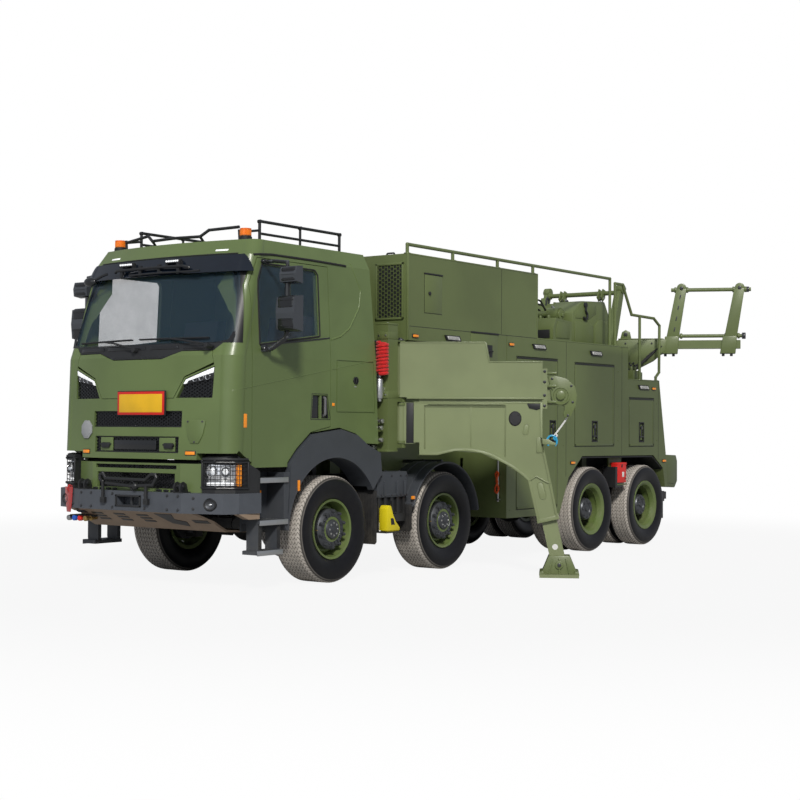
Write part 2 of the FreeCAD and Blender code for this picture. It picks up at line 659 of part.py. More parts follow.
def sun_visor():
    """Deep tinted band that hangs from the top edge of the screen."""
    low = (3020, CAB_HALF, -640, 1385, 110, 200)
    high = (3190, CAB_HALF - 41, -640, 1304, 110, 170)
    band = cab_hull(0.0, [low, high]).cut(cab_hull(14.0 - SEAT_GAP, [low, high]))
    return band.common(box(1190, 1500, -CAB_HALF - 10, CAB_HALF + 10, 3000, 3200))


def roof_rack(outer):
    """Tube rack along the roof edges with two amber beacons on its front rail."""
    r = 15
    z_roof = ROOF_Z - 12
    front = [(1010, -780, 3430), (1050, -420, 3470), (1080, -330, 3410), (1100, 0, 3415),
             (1080, 330, 3410), (1050, 420, 3470), (1010, 780, 3480)]
    tubes = [bent_tube(front, r)]
    for y in (-780, -330, 330, 780):
        tubes.append(rod((1000, y, z_roof), (1080 if abs(y) < 500 else 1010, y, 3410 if abs(y) < 500 else 3455), r - 2))
    for side in (1, -1):
        y = side * 820
        tubes.append(bent_tube([(760, y, z_roof), (760, y, 3560), (-480, y, 3560), (-480, y, z_roof)], r))
        tubes.append(rod((760, y, 3440), (-480, y, 3440), r - 2))
        tubes.append(rod((150, y, z_roof), (150, y, 3560), r - 2))
        base = Part.makeCylinder(62, 45, V(1010, side * 865, z_roof))
        dome = Part.makeCylinder(55, 85, V(1010, side * 865, z_roof + 40))
        tubes += [base, dome, rod((1003, side * 782, 3380), (1010, side * 865, 3362), r - 4)]
        tubes.append(rod((760, side * 820, 3470), (1008, side * 781, 3430), r - 3))
    return join(tubes).cut(outer)


def cab_interior():
    """Two seats, the dashboard and the steering wheel, all standing on the floor."""
    pieces = []
    z = CAB_FLOOR_Z + SEAT_GAP
    for side in (1, -1):
        y = side * 600
        seat = [box(300, 420, y - 120, y + 120, z, z + 260), box(120, 640, y - 250, y + 250, z + 250, z + 400),
                side_prism([(60, z + 380), (200, z + 380), (80, z + 1050), (-40, z + 1050)], y - 240, y + 240)]
        pieces.append(join(seat))
    dash = side_prism([(1130, z), (1430, z), (1470, 2280), (1250, 2300), (1080, 2210), (1050, 2000)], -1060, 1060)
    inner = cab_hull(CAB_WALL + 8, CAB_SECTIONS)
    dash = dash.common(inner)
    wheel = Part.makeTorus(225, 18, V(880, 600, 2240), V(-0.45, 0, 1))
    spoke = rod((1080, 600, 2150 - 60), (880, 600, 2240), 28)
    bar = rod((880, 380, 2240), (880, 820, 2240), 14)
    pieces.append(join([dash, wheel, spoke, bar]))
    return Part.makeCompound(pieces)


# ---- equipment body ----------------------------------------------------------------------
SIDE_OUTLINE = [(BODY_FRONT, 510), (-4260, 510), (-4490, 950), (-4820, 1210), (-6760, 1200), (-7050, 1020),
                (-7110, 760), (-7190, 760), (-7130, 1230), (-6930, LOW_DECK), (-6030, LOW_DECK),
                (-6030, BODY_TOP), (BODY_FRONT, BODY_TOP)]
# locker: door x front, x rear, z bottom, z top, then space behind it: x front, x rear, z bottom, z top
LOCKERS = [
    (-3270, -4210, 600, 2400, -3110, -4225, 560, 2585),
    (-4630, -5650, 1330, 2380, -4340, -5940, 1270, 2585),
    (-6060, -6770, 1320, 1970, -6080, -6820, 1270, 2160),
]


def equipment_body():
    """Two side rows of hollow lockers, the deck between them, rear wall and front core."""
    row = side_prism(SIDE_OUTLINE, BODY_INNER, BODY_HALF)
    cutters = []
    for dx0, dx1, dz0, dz1, x0, x1, z0, z1 in LOCKERS:
        cutters.append(box(x0, x1, BODY_INNER + BODY_WALL, BODY_HALF - SIDE_WALL, z0, z1))
        cutters.append(box(dx0, dx1, BODY_HALF - FLAP_T - SEAT_GAP, BODY_HALF + 5, dz0, dz1))
        cutters.append(box(dx0 - FLAP_LAP, dx1 + FLAP_LAP, BODY_HALF - SIDE_WALL - 5, BODY_HALF, dz0 + FLAP_LAP,
                           dz1 - FLAP_LAP))
    row = cut(row, cutters)
    deck = box(-3060, -6950, -BODY_INNER - 5, BODY_INNER + 5, LOW_DECK - 50, LOW_DECK)
    rear = side_prism([(-7060, 1130), (-7130, 1230), (-6935, LOW_DECK), (-6890, LOW_DECK), (-7080, 1230)],
                      -BODY_INNER - 5, BODY_INNER + 5)
    front_wall = box(BODY_FRONT, BODY_FRONT - 40, -BODY_INNER - 5, BODY_INNER + 5, 1200, BODY_TOP)
    bearers = [box(x, x - 120, -BODY_INNER - 60, BODY_INNER + 60, RAIL_Z1, 1290) for x in (-3200, -4600, -5780, -6880)]
    core = box(-1360, BODY_FRONT - 5, -CORE_HALF, CORE_HALF, RAIL_Z1, BOX_BOTTOM - SEAT_GAP)
    core_space = box(-1400, BODY_FRONT + 60, -CORE_HALF + 40, CORE_HALF - 40, RAIL_Z1 + 40, BOX_BOTTOM - 40)
    core = cut(core, [core_space])
    return join([row, mirrored(row), deck, rear, front_wall, core] + bearers)


def locker_door(index, side):
    """Flap in a locker's side opening, with a sunk T-handle near its lower edge."""
    dx0, dx1, dz0, dz1 = LOCKERS[index][:4]
    g = DOOR_GAP
    panel = box(dx0 - g, dx1 + g, BODY_HALF - FLAP_T, BODY_HALF, dz0 + g, dz1 - g)
    mid = (dx0 + dx1) / 2 if index else dx1 + 110
    z = dz0 + 60 if index else 1390
    pocket = box(mid - 70, mid + 70, BODY_HALF - 18, BODY_HALF + 5, z, z + 260)
    grip = box(mid - 18, mid + 18, BODY_HALF - 20, BODY_HALF - 3, z + 30, z + 230)
    door = join([cut(panel, [pocket]), grip])
    return door if side == 1 else mirrored(door)


def upper_box():
    """Tall closed locker across the truck behind the cab."""
    outline = [(BOX_FRONT, BOX_BOTTOM), (-2300, BOX_BOTTOM), (-2300, 2295), (BODY_FRONT + 8, 2295),
               (BODY_FRONT + 8, BODY_TOP + SEAT_GAP), (BOX_REAR, BODY_TOP + SEAT_GAP), (BOX_REAR, BOX_TOP),
               (BOX_FRONT, BOX_TOP)]
    hull = side_prism(outline, -BODY_HALF, BODY_HALF)
    w = BODY_WALL
    space = side_prism([(BOX_FRONT - w, BOX_BOTTOM + w), (-2300 - w, BOX_BOTTOM + w), (BODY_FRONT, BOX_BOTTOM + w),
                        (BODY_FRONT, BODY_TOP + w), (BOX_REAR + w, BODY_TOP + w), (BOX_REAR + w, BOX_TOP - w),
                        (BOX_FRONT - w, BOX_TOP - w)], -BODY_HALF + w, BODY_HALF - w)
    under = box(-2200, BODY_FRONT - 20, -CORE_HALF - 40, CORE_HALF + 40, 2200, BOX_BOTTOM)
    return cut(hull, [space, under])


def handrails():
    """Deck rails along both upper edges and the rear hoops."""
    y = HANDRAIL_Y
    z = HANDRAIL_Z
    r = RAIL_TUBE_R
    main = bent_tube([(-1140, y, BOX_TOP), (-1140, y, z), (-5590, y, z), (-5590, y, BODY_TOP)], r)
    posts = [rod((x, y, BOX_TOP), (x, y, z), r) for x in (-1990, -2900, -3680)]
    hoop = bent_tube([(-5730, y, BODY_TOP), (-5730, y, 3450), (-5940, y, 3450), (-6190, y, 3070), (-6830, y, 3060),
                      (-7000, y, 2970), (-6990, y, 2330), (-6890, y, 2260), (-6890, y, LOW_DECK)], r)
    stay = rod((-6420, y, LOW_DECK), (-6420, y, 3066), r)
    left = Part.makeCompound([join([main] + posts), join([hoop, stay])])
    return both(left)


# ---- side arms ---------------------------------------------------------------------------
POST_X0 = -1000.0
POST_X1 = -830.0
LUG_T = 40.0
# heights of the arm's lower and upper barrels
BARREL_LOW = (1385.0, 1820.0)
BARREL_HIGH = (1870.0, 2455.0)


def arm_posts():
    """Cross frame behind the cab with a hinge post and three lugs on each side."""
    post = box(POST_X0, POST_X1, 1060, 1200, 1300, 2650)
    lugs = []
    for z, t in ((BARREL_LOW[0] - LUG_T - 5, LUG_T), (BARREL_LOW[1] + 5, LUG_T), (BARREL_HIGH[1] + 5, 14)):
        lugs.append(box(HINGE_X, POST_X0 + 10, HINGE_Y - 60, HINGE_Y + 50, z, z + t))
        lugs.append(Part.makeCylinder(60, t, V(HINGE_X, HINGE_Y, z)))
    pin = rod((HINGE_X, HINGE_Y, BARREL_LOW[0] - LUG_T), (HINGE_X, HINGE_Y, BARREL_HIGH[1] + 15), HINGE_PIN_R)
    left = join([post, pin] + lugs)
    beams = [box(POST_X0, POST_X1, -1070, 1070, z, z + 120) for z in (1320, 2440)]
    legs = [box(POST_X0, POST_X1, side * 300, side * RAIL_OUT, RAIL_Z1, 1330) for side in (1, -1)]
    ties = [box(BOX_FRONT + SEAT_GAP, POST_X0 + 5, side * 500, side * 620, 2500, 2560) for side in (1, -1)]
    return join([left, mirrored(left)] + beams + legs + ties)


# The arm is drawn stowed, pointing back along the body: s runs from the hinge toward -X.
ARM_OUT = 80.0
ARM_IN = -170.0
LEG_LEAN = math.tan(math.radians(12.5))
LEG_HALF = 80.0
LEG_DEPTH = 78.0
SLIDE_GAP = 0.08
LEG_MID = -45.0
LEG_S = 1618.0
LEG_REF_Z = 400.0


def arm_prism(points, n0, n1):
    """Polygon of (s, z) points, with its thickness measured outward from the hinge line."""
    return side_prism([(HINGE_X - s, z) for s, z in points], HINGE_Y + n0, HINGE_Y + n1)


def leg_s(z):
    """Distance of the leg's middle from the hinge at a height."""
    return LEG_S - (z - LEG_REF_Z) * LEG_LEAN


def leg_bar(z0, z1, half, n_half):
    """Leaning box section of the support leg."""
    points = [(leg_s(z0) - half, z0), (leg_s(z0) + half, z0), (leg_s(z1) + half, z1), (leg_s(z1) - half, z1)]
    return arm_prism(points, LEG_MID - n_half, LEG_MID + n_half)


def side_arm():
    """Swinging arm: hinge barrels, lower box, boom box, leg sleeve and rope head."""
    lower = arm_prism([(150, 1400), (150, 1825), (1500, 1825), (1500, 1420), (1600, 960), (1668, 625),
                       (1452, 575), (1352, 1005), (1250, 1090), (1090, 1190), (860, 1290), (590, 1310),
                       (400, 1265), (210, 1265), (210, 1400)], ARM_IN, ARM_OUT)
    boom = arm_prism([(0, 1875), (0, 2455), (900, 2455), (940, 2250), (1500, 2250), (1500, 1875)], ARM_IN, ARM_OUT)
    join_plate = arm_prism([(200, 1815), (200, 1885), (1500, 1885), (1500, 1815)], ARM_IN + 20, ARM_OUT - 20)
    barrels = [rod((HINGE_X, HINGE_Y, z0), (HINGE_X, HINGE_Y, z1), 62) for z0, z1 in (BARREL_LOW, BARREL_HIGH)]
    web = arm_prism([(0, 1385), (0, 1820), (170, 1820), (170, 1385)], -45, 45)
    head = [arm_prism([(1495, 1760), (1550, 1760), (1550, 2180), (1495, 2180)], ARM_IN - 5, ARM_OUT + 5),
            arm_prism([(1540, 1800), (1540, 2080), (1700, 2060), (1830, 1980), (1840, 1840), (1800, 1700),
                       (1740, 1690), (1760, 1800)], ARM_IN + 60, ARM_OUT - 60)]
    drum_s = HINGE_X - 1690
    head.append(across(drum_s, 1900, HINGE_Y + ARM_IN + 30, HINGE_Y + ARM_OUT - 30, 95))
    solid = join([lower, boom, join_plate, web] + barrels + head)
    bore = rod((HINGE_X, HINGE_Y, 1300), (HINGE_X, HINGE_Y, 2500), HINGE_PIN_R + 0.4)
    channel = leg_bar(500, 1790, LEG_HALF + SLIDE_GAP, LEG_DEPTH + SLIDE_GAP)
    panel = arm_prism([(260, 1330), (260, 1790), (1120, 1790), (1120, 1250), (860, 1340), (590, 1360)],
                      ARM_OUT - 22, ARM_OUT + 5)
    slot = [arm_prism([(1150, 1480), (1150, 1540), (1330, 1540), (1330, 1480)], ARM_OUT - 22, ARM_OUT + 5)]
    return cut(solid, [bore, channel, panel] + slot)


def side_leg():
    """Inner leg with its foot plate on the ground."""
    bar = leg_bar(90, 1380, LEG_HALF, LEG_DEPTH)
    s = leg_s(120)
    foot = arm_prism([(s - 205, 0), (s + 205, 0), (s + 205, 35), (s + 90, 45), (s + 60, 210), (s - 60, 210),
                      (s - 90, 45), (s - 205, 35)], LEG_MID - 60, LEG_MID + 60)
    pad = arm_prism([(s - 205, 0), (s + 205, 0), (s + 205, 35), (s - 205, 35)], LEG_MID - 190, LEG_MID + 190)
    pin = rod((HINGE_X - s, HINGE_Y + LEG_MID - 95, 150), (HINGE_X - s, HINGE_Y + LEG_MID + 95, 150), 28)
    return join([bar, foot, pad, pin])


def raised_leg(leg):
    """The leg drawn in along its own leaning line."""
    copy = leg.copy()
    length = math.hypot(1.0, LEG_LEAN)
    copy.translate(V(LEG_TRAVEL * LEG_LEAN / length, 0, LEG_TRAVEL / length))
    return copy


# ---- deck gear ---------------------------------------------------------------------------
def winch_housing():
    """Closed winch cover across the deck and a hooded feeder on the left locker roof."""
    cover = side_prism([(-5350, LOW_DECK), (-6020, LOW_DECK), (-6020, 3120), (-5930, 3200), (-5450, 3200),
                        (-5350, 3080)], -600, 600)
    bevel = []
    for side in (1, -1):
        bevel.append(front_prism([(side * 600, 3210), (side * 600, 2980), (side * 480, 3210)], -6100, -5300))
    cover = cut(cover, bevel)
    mouth = box(-5500, -5880, -420, 420, 3100, 3210)
    cover = cut(cover, [mouth])
    drum = across(-5690, 3100, -430, 430, 85)
    hood = side_prism([(-4380, BODY_TOP), (-4840, BODY_TOP), (-4860, 2900), (-4460, 2930), (-4380, 2790)], 760, 1080)
    hood = cut(hood, [box(-4860, -4800, 800, 1040, 2680, 2860)])
    boss = across(-4900, 3000, 700, 880, 95)
    stand = box(-4980, -4830, 740, 800, BODY_TOP, 3000)
    return Part.makeCompound([join([cover, drum]), join([hood, boss, stand])])


def a_frame_mast():
    """Two leaning posts on base lugs, joined by tubes at the top and half way."""
    lean = math.tan(math.radians(MAST_LEAN))
    top = 1190.0
    pieces = []
    for side in (1, -1):
        post = side_prism([(MAST_X + 70, MAST_Z - 40), (MAST_X + 20 - top * lean, MAST_Z + top),
                           (MAST_X - 80 - top * lean, MAST_Z + top), (MAST_X - 150, MAST_Z + 60),
                           (MAST_X - 70, MAST_Z - 40)], side * (MAST_Y - 30), side * (MAST_Y + 30))
        pieces.append(post)
        pieces.append(across(MAST_X, MAST_Z, side * (MAST_Y - 30), side * (MAST_Y + 30), 70))
    for z in (top - 60, 480.0):
        pieces.append(across(MAST_X - 30 - z * lean, MAST_Z + z, -MAST_Y, MAST_Y, 32))
    frame = join(pieces)
    bore = across(MAST_X, MAST_Z, -MAST_Y - 60, MAST_Y + 60, 30.4)
    return cut(frame, [bore])


def mast_feet():
    """Lugs and pins on the low deck that carry the mast."""
    pieces = []
    for side in (1, -1):
        for y in (MAST_Y - 60, MAST_Y + 36):
            pieces.append(box(MAST_X - 80, MAST_X + 80, side * y, side * (y + 24), LOW_DECK - 5, MAST_Z + 60))
        pieces.append(across(MAST_X, MAST_Z, side * (MAST_Y - 60), side * (MAST_Y + 60), 30))
    return pieces


def rear_arm():
    """Slewing beam with two leaning posts and two round bars, drawn along +Y from its pivot."""
    pieces = []
    x = SLEW_X
    y = SLEW_Y
    pieces.append(Part.makeCylinder(85, 400, V(x, y, LOW_DECK + 90)))
    gusset = front_prism([(y, 2300), (y + 150, 2300), (y + 330, 2360), (y + 620, 2560), (y + 900, 2665),
                          (y + 900, 2780), (y, 2780)], x - 30, x + 30)
    pieces.append(gusset)
    pieces.append(box(x - 70, x + 70, y, y + 1760, 2665, 2780))
    for s in (885.0, 1668.0):
        post = front_prism([(y + s - 150, 2600), (y + s - 10, 2600), (y + s + 120, 3520), (y + s + 40, 3520)],
                           x - 50, x + 50)
        pieces.append(post)
    pieces.append(rod((x, y + 820, 3480), (x, y + 1900, 3480), 26))
    pieces.append(rod((x, y + 780, 2842), (x, y + 1800, 2842), 24))
    arm = join(pieces)
    bore = Part.makeCylinder(45.4, 400, V(x, y, LOW_DECK + 40))
    arm = cut(arm, [bore])
    arm.rotate(V(x, y, 0), V(0, 0, 1), 90 - SLEW_ANGLE)
    return arm


def slew_pedestal():
    """Round seat and pin for the slewing beam."""
    seat = Part.makeCylinder(140, 95 - 10, V(SLEW_X, SLEW_Y, LOW_DECK - 5))
    pin = Part.makeCylinder(45, 400 - 20, V(SLEW_X, SLEW_Y, LOW_DECK))
    skirt = box(SLEW_X - 150, SLEW_X + 80, SLEW_Y - 150, SLEW_Y + 150, LOW_DECK - 60, LOW_DECK - 1)
    return [seat, pin, skirt]


def rear_bumper():
    """Underrun bar, lamp boxes, mud flaps and the towing jaw behind the last wheels."""
    x = REAR_BAR_X
    bar = box(x - 90, x, -1180, 1180, 560, 700)
    stays = [box(x - 20, RAIL_REAR, side * 320, side * RAIL_OUT, 600, 980) for side in (1, -1)]
    flaps = [box(x - 10, x + 2, side * 640, side * 1200, 330, 600) for side in (1, -1)]
    lamps = [box(x - 145, x - 85, side * 800, side * 1180, 590, 690) for side in (1, -1)]
    jaw_block = box(x - 150, x - 85, -90, 90, 570, 690)
    jaws = [box(x - 260, x - 145, -90, 90, z, z + 30) for z in (570, 660)]
    bore = rod((JAW_X, 0, 560), (JAW_X, 0, 700), JAW_R)
    return cut(join([bar, jaw_block] + stays + flaps + lamps + jaws), [bore])


# ---- build -------------------------------------------------------------------------------
def build():
    os.makedirs("parts", exist_ok=True)
    outer = cab_outer()
    inner = cab_inner()
    sides = (("left", 1), ("right", -1))

    write("chassis_frame", chassis_frame())
    write("engine_block", engine_block())
    write("axle_beams", axle_beams())
    write("front_bumper", front_bumper())
    write("front_valance", front_valance())
    write("front_tow_frame", front_tow_frame())
    write("headlamps", headlamps())
    write("mudguards_and_steps", mudguards_and_steps())
    write("side_boxes", side_boxes())
    body = equipment_body()
    write("equipment_body", join([body] + mast_feet() + slew_pedestal()))
    write("upper_box", upper_box())
    write("handrails", handrails())
    write("arm_posts", arm_posts())
    write("rear_bumper", rear_bumper())
    write("winch_housing", winch_housing())

    write("cab_shell", cab_shell(outer, inner))
    write("windscreen", windscreen())
    write("cab_interior", cab_interior())
    write("grille", grille())
    write("sun_visor", sun_visor())
    write("roof_rack", roof_rack(outer))
    write("front_lid", front_lid(outer))

    panel = door_panel(outer)
    glass = door_glass(outer)
    mirror = mirrors(outer)
    for name, side in sides:
        write("door_panel_%s" % name, panel if side == 1 else mirrored(panel))
        write("door_glass_%s" % name, glass if side == 1 else mirrored(glass))
        write("mirrors_%s" % name, mirror if side == 1 else mirrored(mirror))
        for index in range(len(LOCKERS)):
            write("locker_door_%d_%s" % (index + 1, name), locker_door(index, side))

    arm = side_arm()
    leg = side_leg()
    write("side_arm_left", turned(arm, HINGE_X, HINGE_Y, -ARM_ANGLE))
    write("side_leg_left", turned(leg, HINGE_X, HINGE_Y, -ARM_ANGLE))
    write("side_arm_right", mirrored(arm))
    write("side_leg_right", mirrored(raised_leg(leg)))
    write("a_frame_mast", a_frame_mast())
    write("rear_arm", rear_arm())

    for number, x in ((1, 0.0), (2, AXLE_2_X)):
        for name, side in sides:
            mid = side * (FRONT_TYRE_OUT - FRONT_TYRE_W / 2)
            write("knuckle_%d_%s" % (number, name), knuckle(x, side))
            write("rim_%d_%s" % (number, name), front_rim(x, side))
            write("tyre_%d_%s" % (number, name), tyre(x, mid, FRONT_TYRE_W))
    outer_mid = TWIN_OUT - TWIN_TYRE_W / 2
    inner_mid = outer_mid - TWIN_TYRE_W - TWIN_GAP
    for number, x in ((3, AXLE_3_X), (4, AXLE_4_X)):
        for name, side in sides:
            pair = [tyre(x, side * mid, TWIN_TYRE_W) for mid in (outer_mid, inner_mid)]
            write("rim_%d_%s" % (number, name), twin_rim(x, side))
            write("tyres_%d_%s" % (number, name), Part.makeCompound(pair))


build()
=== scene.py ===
"""Fittings and finishes of a four-axle heavy recovery truck, over its fixed frame."""
import math

import bpy
from mathutils import Matrix, Vector


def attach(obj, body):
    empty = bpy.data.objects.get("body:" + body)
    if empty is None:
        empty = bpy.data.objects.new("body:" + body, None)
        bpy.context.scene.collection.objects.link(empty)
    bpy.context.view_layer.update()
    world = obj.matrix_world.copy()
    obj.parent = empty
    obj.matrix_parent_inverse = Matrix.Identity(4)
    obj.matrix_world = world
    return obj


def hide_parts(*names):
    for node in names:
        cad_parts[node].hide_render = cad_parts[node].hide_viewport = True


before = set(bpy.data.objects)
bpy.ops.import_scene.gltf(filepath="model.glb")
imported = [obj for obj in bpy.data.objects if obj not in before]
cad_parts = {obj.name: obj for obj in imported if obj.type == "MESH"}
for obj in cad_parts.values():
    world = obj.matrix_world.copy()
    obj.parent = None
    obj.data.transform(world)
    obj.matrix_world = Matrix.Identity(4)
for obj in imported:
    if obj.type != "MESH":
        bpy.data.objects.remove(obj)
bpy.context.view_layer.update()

bl_info = {
    "name": "Recovery truck",
    "version": (1, 0, 0),
    "blender": (4, 5, 0),
    "location": "View3D > Sidebar > Recovery truck",
    "description": "Adds the fittings and finishes of a heavy recovery truck",
    "category": "Object",
}

SIDES = (("left", 1), ("right", -1))
AXLES = (0.0, -1.943, -5.108, -6.571)
AXLE_Z = 0.535
HINGE = Vector((-1.120, 1.150, 0.0))
ARM_TURN = math.radians(-59)
SLEW = Vector((-6.950, 0.500, 0.0))
SLEW_TURN = math.radians(25)
FINISH = {}


# ---- bench tools -------------------------------------------------------------------------
def clear():
    """Nothing selected, object mode."""
    if bpy.context.object and bpy.context.object.mode != "OBJECT":
        bpy.ops.object.mode_set(mode="OBJECT")
    bpy.ops.object.select_all(action="DESELECT")


def pick(obj):
    clear()
    obj.select_set(True)
    bpy.context.view_layer.objects.active = obj


def settle(obj):
    """Put the object's place into its mesh."""
    pick(obj)
    bpy.ops.object.transform_apply(location=True, rotation=True, scale=True)
    return obj


def outward(obj, merge=0.00002):
    """Merge doubled points and turn every face outwards."""
    pick(obj)
    bpy.ops.object.mode_set(mode="EDIT")
    bpy.ops.mesh.select_all(action="SELECT")
    bpy.ops.mesh.remove_doubles(threshold=merge)
    bpy.ops.mesh.normals_make_consistent(inside=False)
    bpy.ops.object.mode_set(mode="OBJECT")
    return obj


def apply(obj, kind, **settings):
    """Add one modifier and apply it."""
    pick(obj)
    modifier = obj.modifiers.new("step", kind)
    for key, value in settings.items():
        setattr(modifier, key, value)
    bpy.ops.object.modifier_apply(modifier=modifier.name)
    return obj


def rounded(obj, width, steps=2, angle=38):
    if not width:
        return obj
    return apply(obj, "BEVEL", width=width, segments=steps, limit_method="ANGLE",
                 angle_limit=math.radians(angle), use_clamp_overlap=True)


def block(lo, hi, edge=0.003, steps=2):
    """Box between two corners with broken edges."""
    clear()
    lo, hi = Vector(lo), Vector(hi)
    low = Vector([min(a, b) for a, b in zip(lo, hi)])
    size = Vector([abs(a - b) for a, b in zip(lo, hi)])
    bpy.ops.mesh.primitive_cube_add(size=1, location=low + size / 2)
    obj = bpy.context.object
    obj.scale = size
    settle(obj)
    return rounded(obj, min(edge, min(size) * 0.45), steps)


def aim(obj, start, end):
    """Turn a primitive's own Z along start to end, with its middle half way."""
    start, end = Vector(start), Vector(end)
    obj.rotation_euler = (end - start).to_track_quat("Z", "Y").to_euler()
    obj.location = (start + end) / 2
    return settle(obj)


def drum(start, end, r, edge=0.002, sides=28):
    """Round bar between two points."""
    clear()
    length = (Vector(end) - Vector(start)).length
    bpy.ops.mesh.primitive_cone_add(vertices=sides, radius1=r, radius2=r, depth=length,
                                    location=(0, 0, 0))
    obj = aim(bpy.context.object, start, end)
    return rounded(obj, min(edge, r * 0.4, length * 0.4), 2, 50)


def ball(centre, r, squash=(1, 1, 1), rings=12):
    clear()
    bpy.ops.mesh.primitive_uv_sphere_add(segments=rings * 2, ring_count=rings, radius=r, location=centre)
    obj = bpy.context.object
    obj.scale = squash
    return settle(obj)


def on_axis(axis, depth, u, v):
    return {"x": (depth, u, v), "y": (u, depth, v), "z": (u, v, depth)}[axis]


def slab(points, axis, near, far, edge=0.0, steps=2):
    """Plate of any outline across one axis, drawn out from near to far."""
    clear()
    bpy.ops.mesh.primitive_circle_add(vertices=len(points), fill_type="NGON", location=(0, 0, 0))
    obj = bpy.context.object
    for vertex, (u, v) in zip(obj.data.vertices, points):
        vertex.co = on_axis(axis, near, u, v)
    bpy.ops.object.mode_set(mode="EDIT")
    bpy.ops.mesh.select_all(action="SELECT")
    move = Vector(on_axis(axis, far - near, 0, 0))
    bpy.ops.mesh.extrude_region_move(TRANSFORM_OT_translate={"value": move})
    outward(obj)
    return rounded(obj, edge, steps)


def pipe(points, r, bend=0.03, sides=2):
    """Round tube through points, with a soft bend at each corner."""
    clear()
    run = [Vector(p) for p in points]
    line = [run[0]]
    for before, here, after in zip(run[:-2], run[1:-1], run[2:]):
        for other in (before, None, after):
            if other is None:
                line.append(here)
                continue
            way = other - here
            line.append(here + way * min(0.4, bend / max(way.length, 1e-6)))
    line.append(run[-1])
    bpy.ops.curve.primitive_nurbs_path_add(location=(0, 0, 0))
    obj = bpy.context.object
    curve = obj.data
    curve.splines.clear()
    spline = curve.splines.new("NURBS")
    spline.points.add(len(line) - 1)
    for point, place in zip(spline.points, line):
        point.co = (*place, 1)
    spline.order_u = 3
    spline.use_endpoint_u = True
    spline.resolution_u = 3
    curve.bevel_depth = r
    curve.bevel_resolution = sides
    curve.use_fill_caps = True
    pick(obj)
    bpy.ops.object.convert(target="MESH")
    return outward(bpy.context.object, r * 0.02)


def turned_profile(profile, centre, axis="y", steps=48):
    """Closed outline of (along, radius) points, spun right round an axis."""
    clear()
    centre = Vector(centre)
    bpy.ops.mesh.primitive_circle_add(vertices=len(profile), fill_type="NOTHING", location=(0, 0, 0))
    obj = bpy.context.object
    for vertex, (along, r) in zip(obj.data.vertices, profile):
        offset = {"y": (0, along, r), "x": (along, 0, r), "z": (r, 0, along)}[axis]
        vertex.co = centre + Vector(offset)
    bpy.ops.object.mode_set(mode="EDIT")
    bpy.ops.mesh.select_all(action="SELECT")
    line = {"y": (0, 1, 0), "x": (1, 0, 0), "z": (0, 0, 1)}[axis]
    bpy.ops.mesh.spin(steps=steps, angle=2 * math.pi, center=centre, axis=line, use_auto_merge=True)
    return outward(obj)


def joined(pieces):
    """One object from several."""
    if len(pieces) == 1:
        return pieces[0]
    clear()
    for piece in pieces:
        piece.select_set(True)
    bpy.context.view_layer.objects.active = pieces[0]
    bpy.ops.object.join()
    return bpy.context.object


def copied(obj, matrix):
    """Copy with its own mesh, moved by a matrix."""
    other = obj.copy()
    other.data = obj.data.copy()
    bpy.context.collection.objects.link(other)
    other.data.transform(matrix)
    if matrix.determinant() < 0:
        other.data.flip_normals()
    return other


def moved(obj, matrix):
    obj.data.transform(matrix)
    return obj


def shift(x=0.0, y=0.0, z=0.0):
    return Matrix.Translation((x, y, z))


def about(centre, angle, axis="Z"):
    centre = Vector(centre)
    return Matrix.Translation(centre) @ Matrix.Rotation(angle, 4, axis) @ Matrix.Translation(-centre)


MIRROR = Matrix.Diagonal((1, -1, 1, 1))


def around(obj, centre, axis, count):
    """Ring of copies of one piece, joined."""
    ring = [obj]
    for index in range(1, count):
        ring.append(copied(obj, about(centre, 2 * math.pi * index / count, axis)))
    return joined(ring)


def row(obj, count, step):
    """Line of copies of one piece, joined."""
    line = [obj]
    for index in range(1, count):
        line.append(copied(obj, Matrix.Translation(Vector(step) * index)))
    return joined(line)


def whole(part):
    """The piece itself, or several joined to one."""
    return part if isinstance(part, bpy.types.Object) else joined(part)


def fit(part, name, body, finish, slot, smooth=35):
    """Name the piece, give it its finish and fasten it to its body."""
    obj = whole(part)
    obj.name = name
    obj.data.name = name
    obj.data.materials.clear()
    obj.data.materials.append(FINISH[finish])
    pick(obj)
    bpy.ops.object.shade_smooth_by_angle(angle=math.radians(smooth))
    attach(obj, body)
    return obj


def fit_both(part, name, body, finish, slot, smooth=35):
    """The left piece and its mirror on the right. A body that ends in _left is swapped."""
    obj = whole(part)
    other = copied(obj, MIRROR)
    fit(obj, name + "_left", body, finish, slot, smooth)
    fit(other, name + "_right", body.replace("_left", "_right"), finish, slot, smooth)


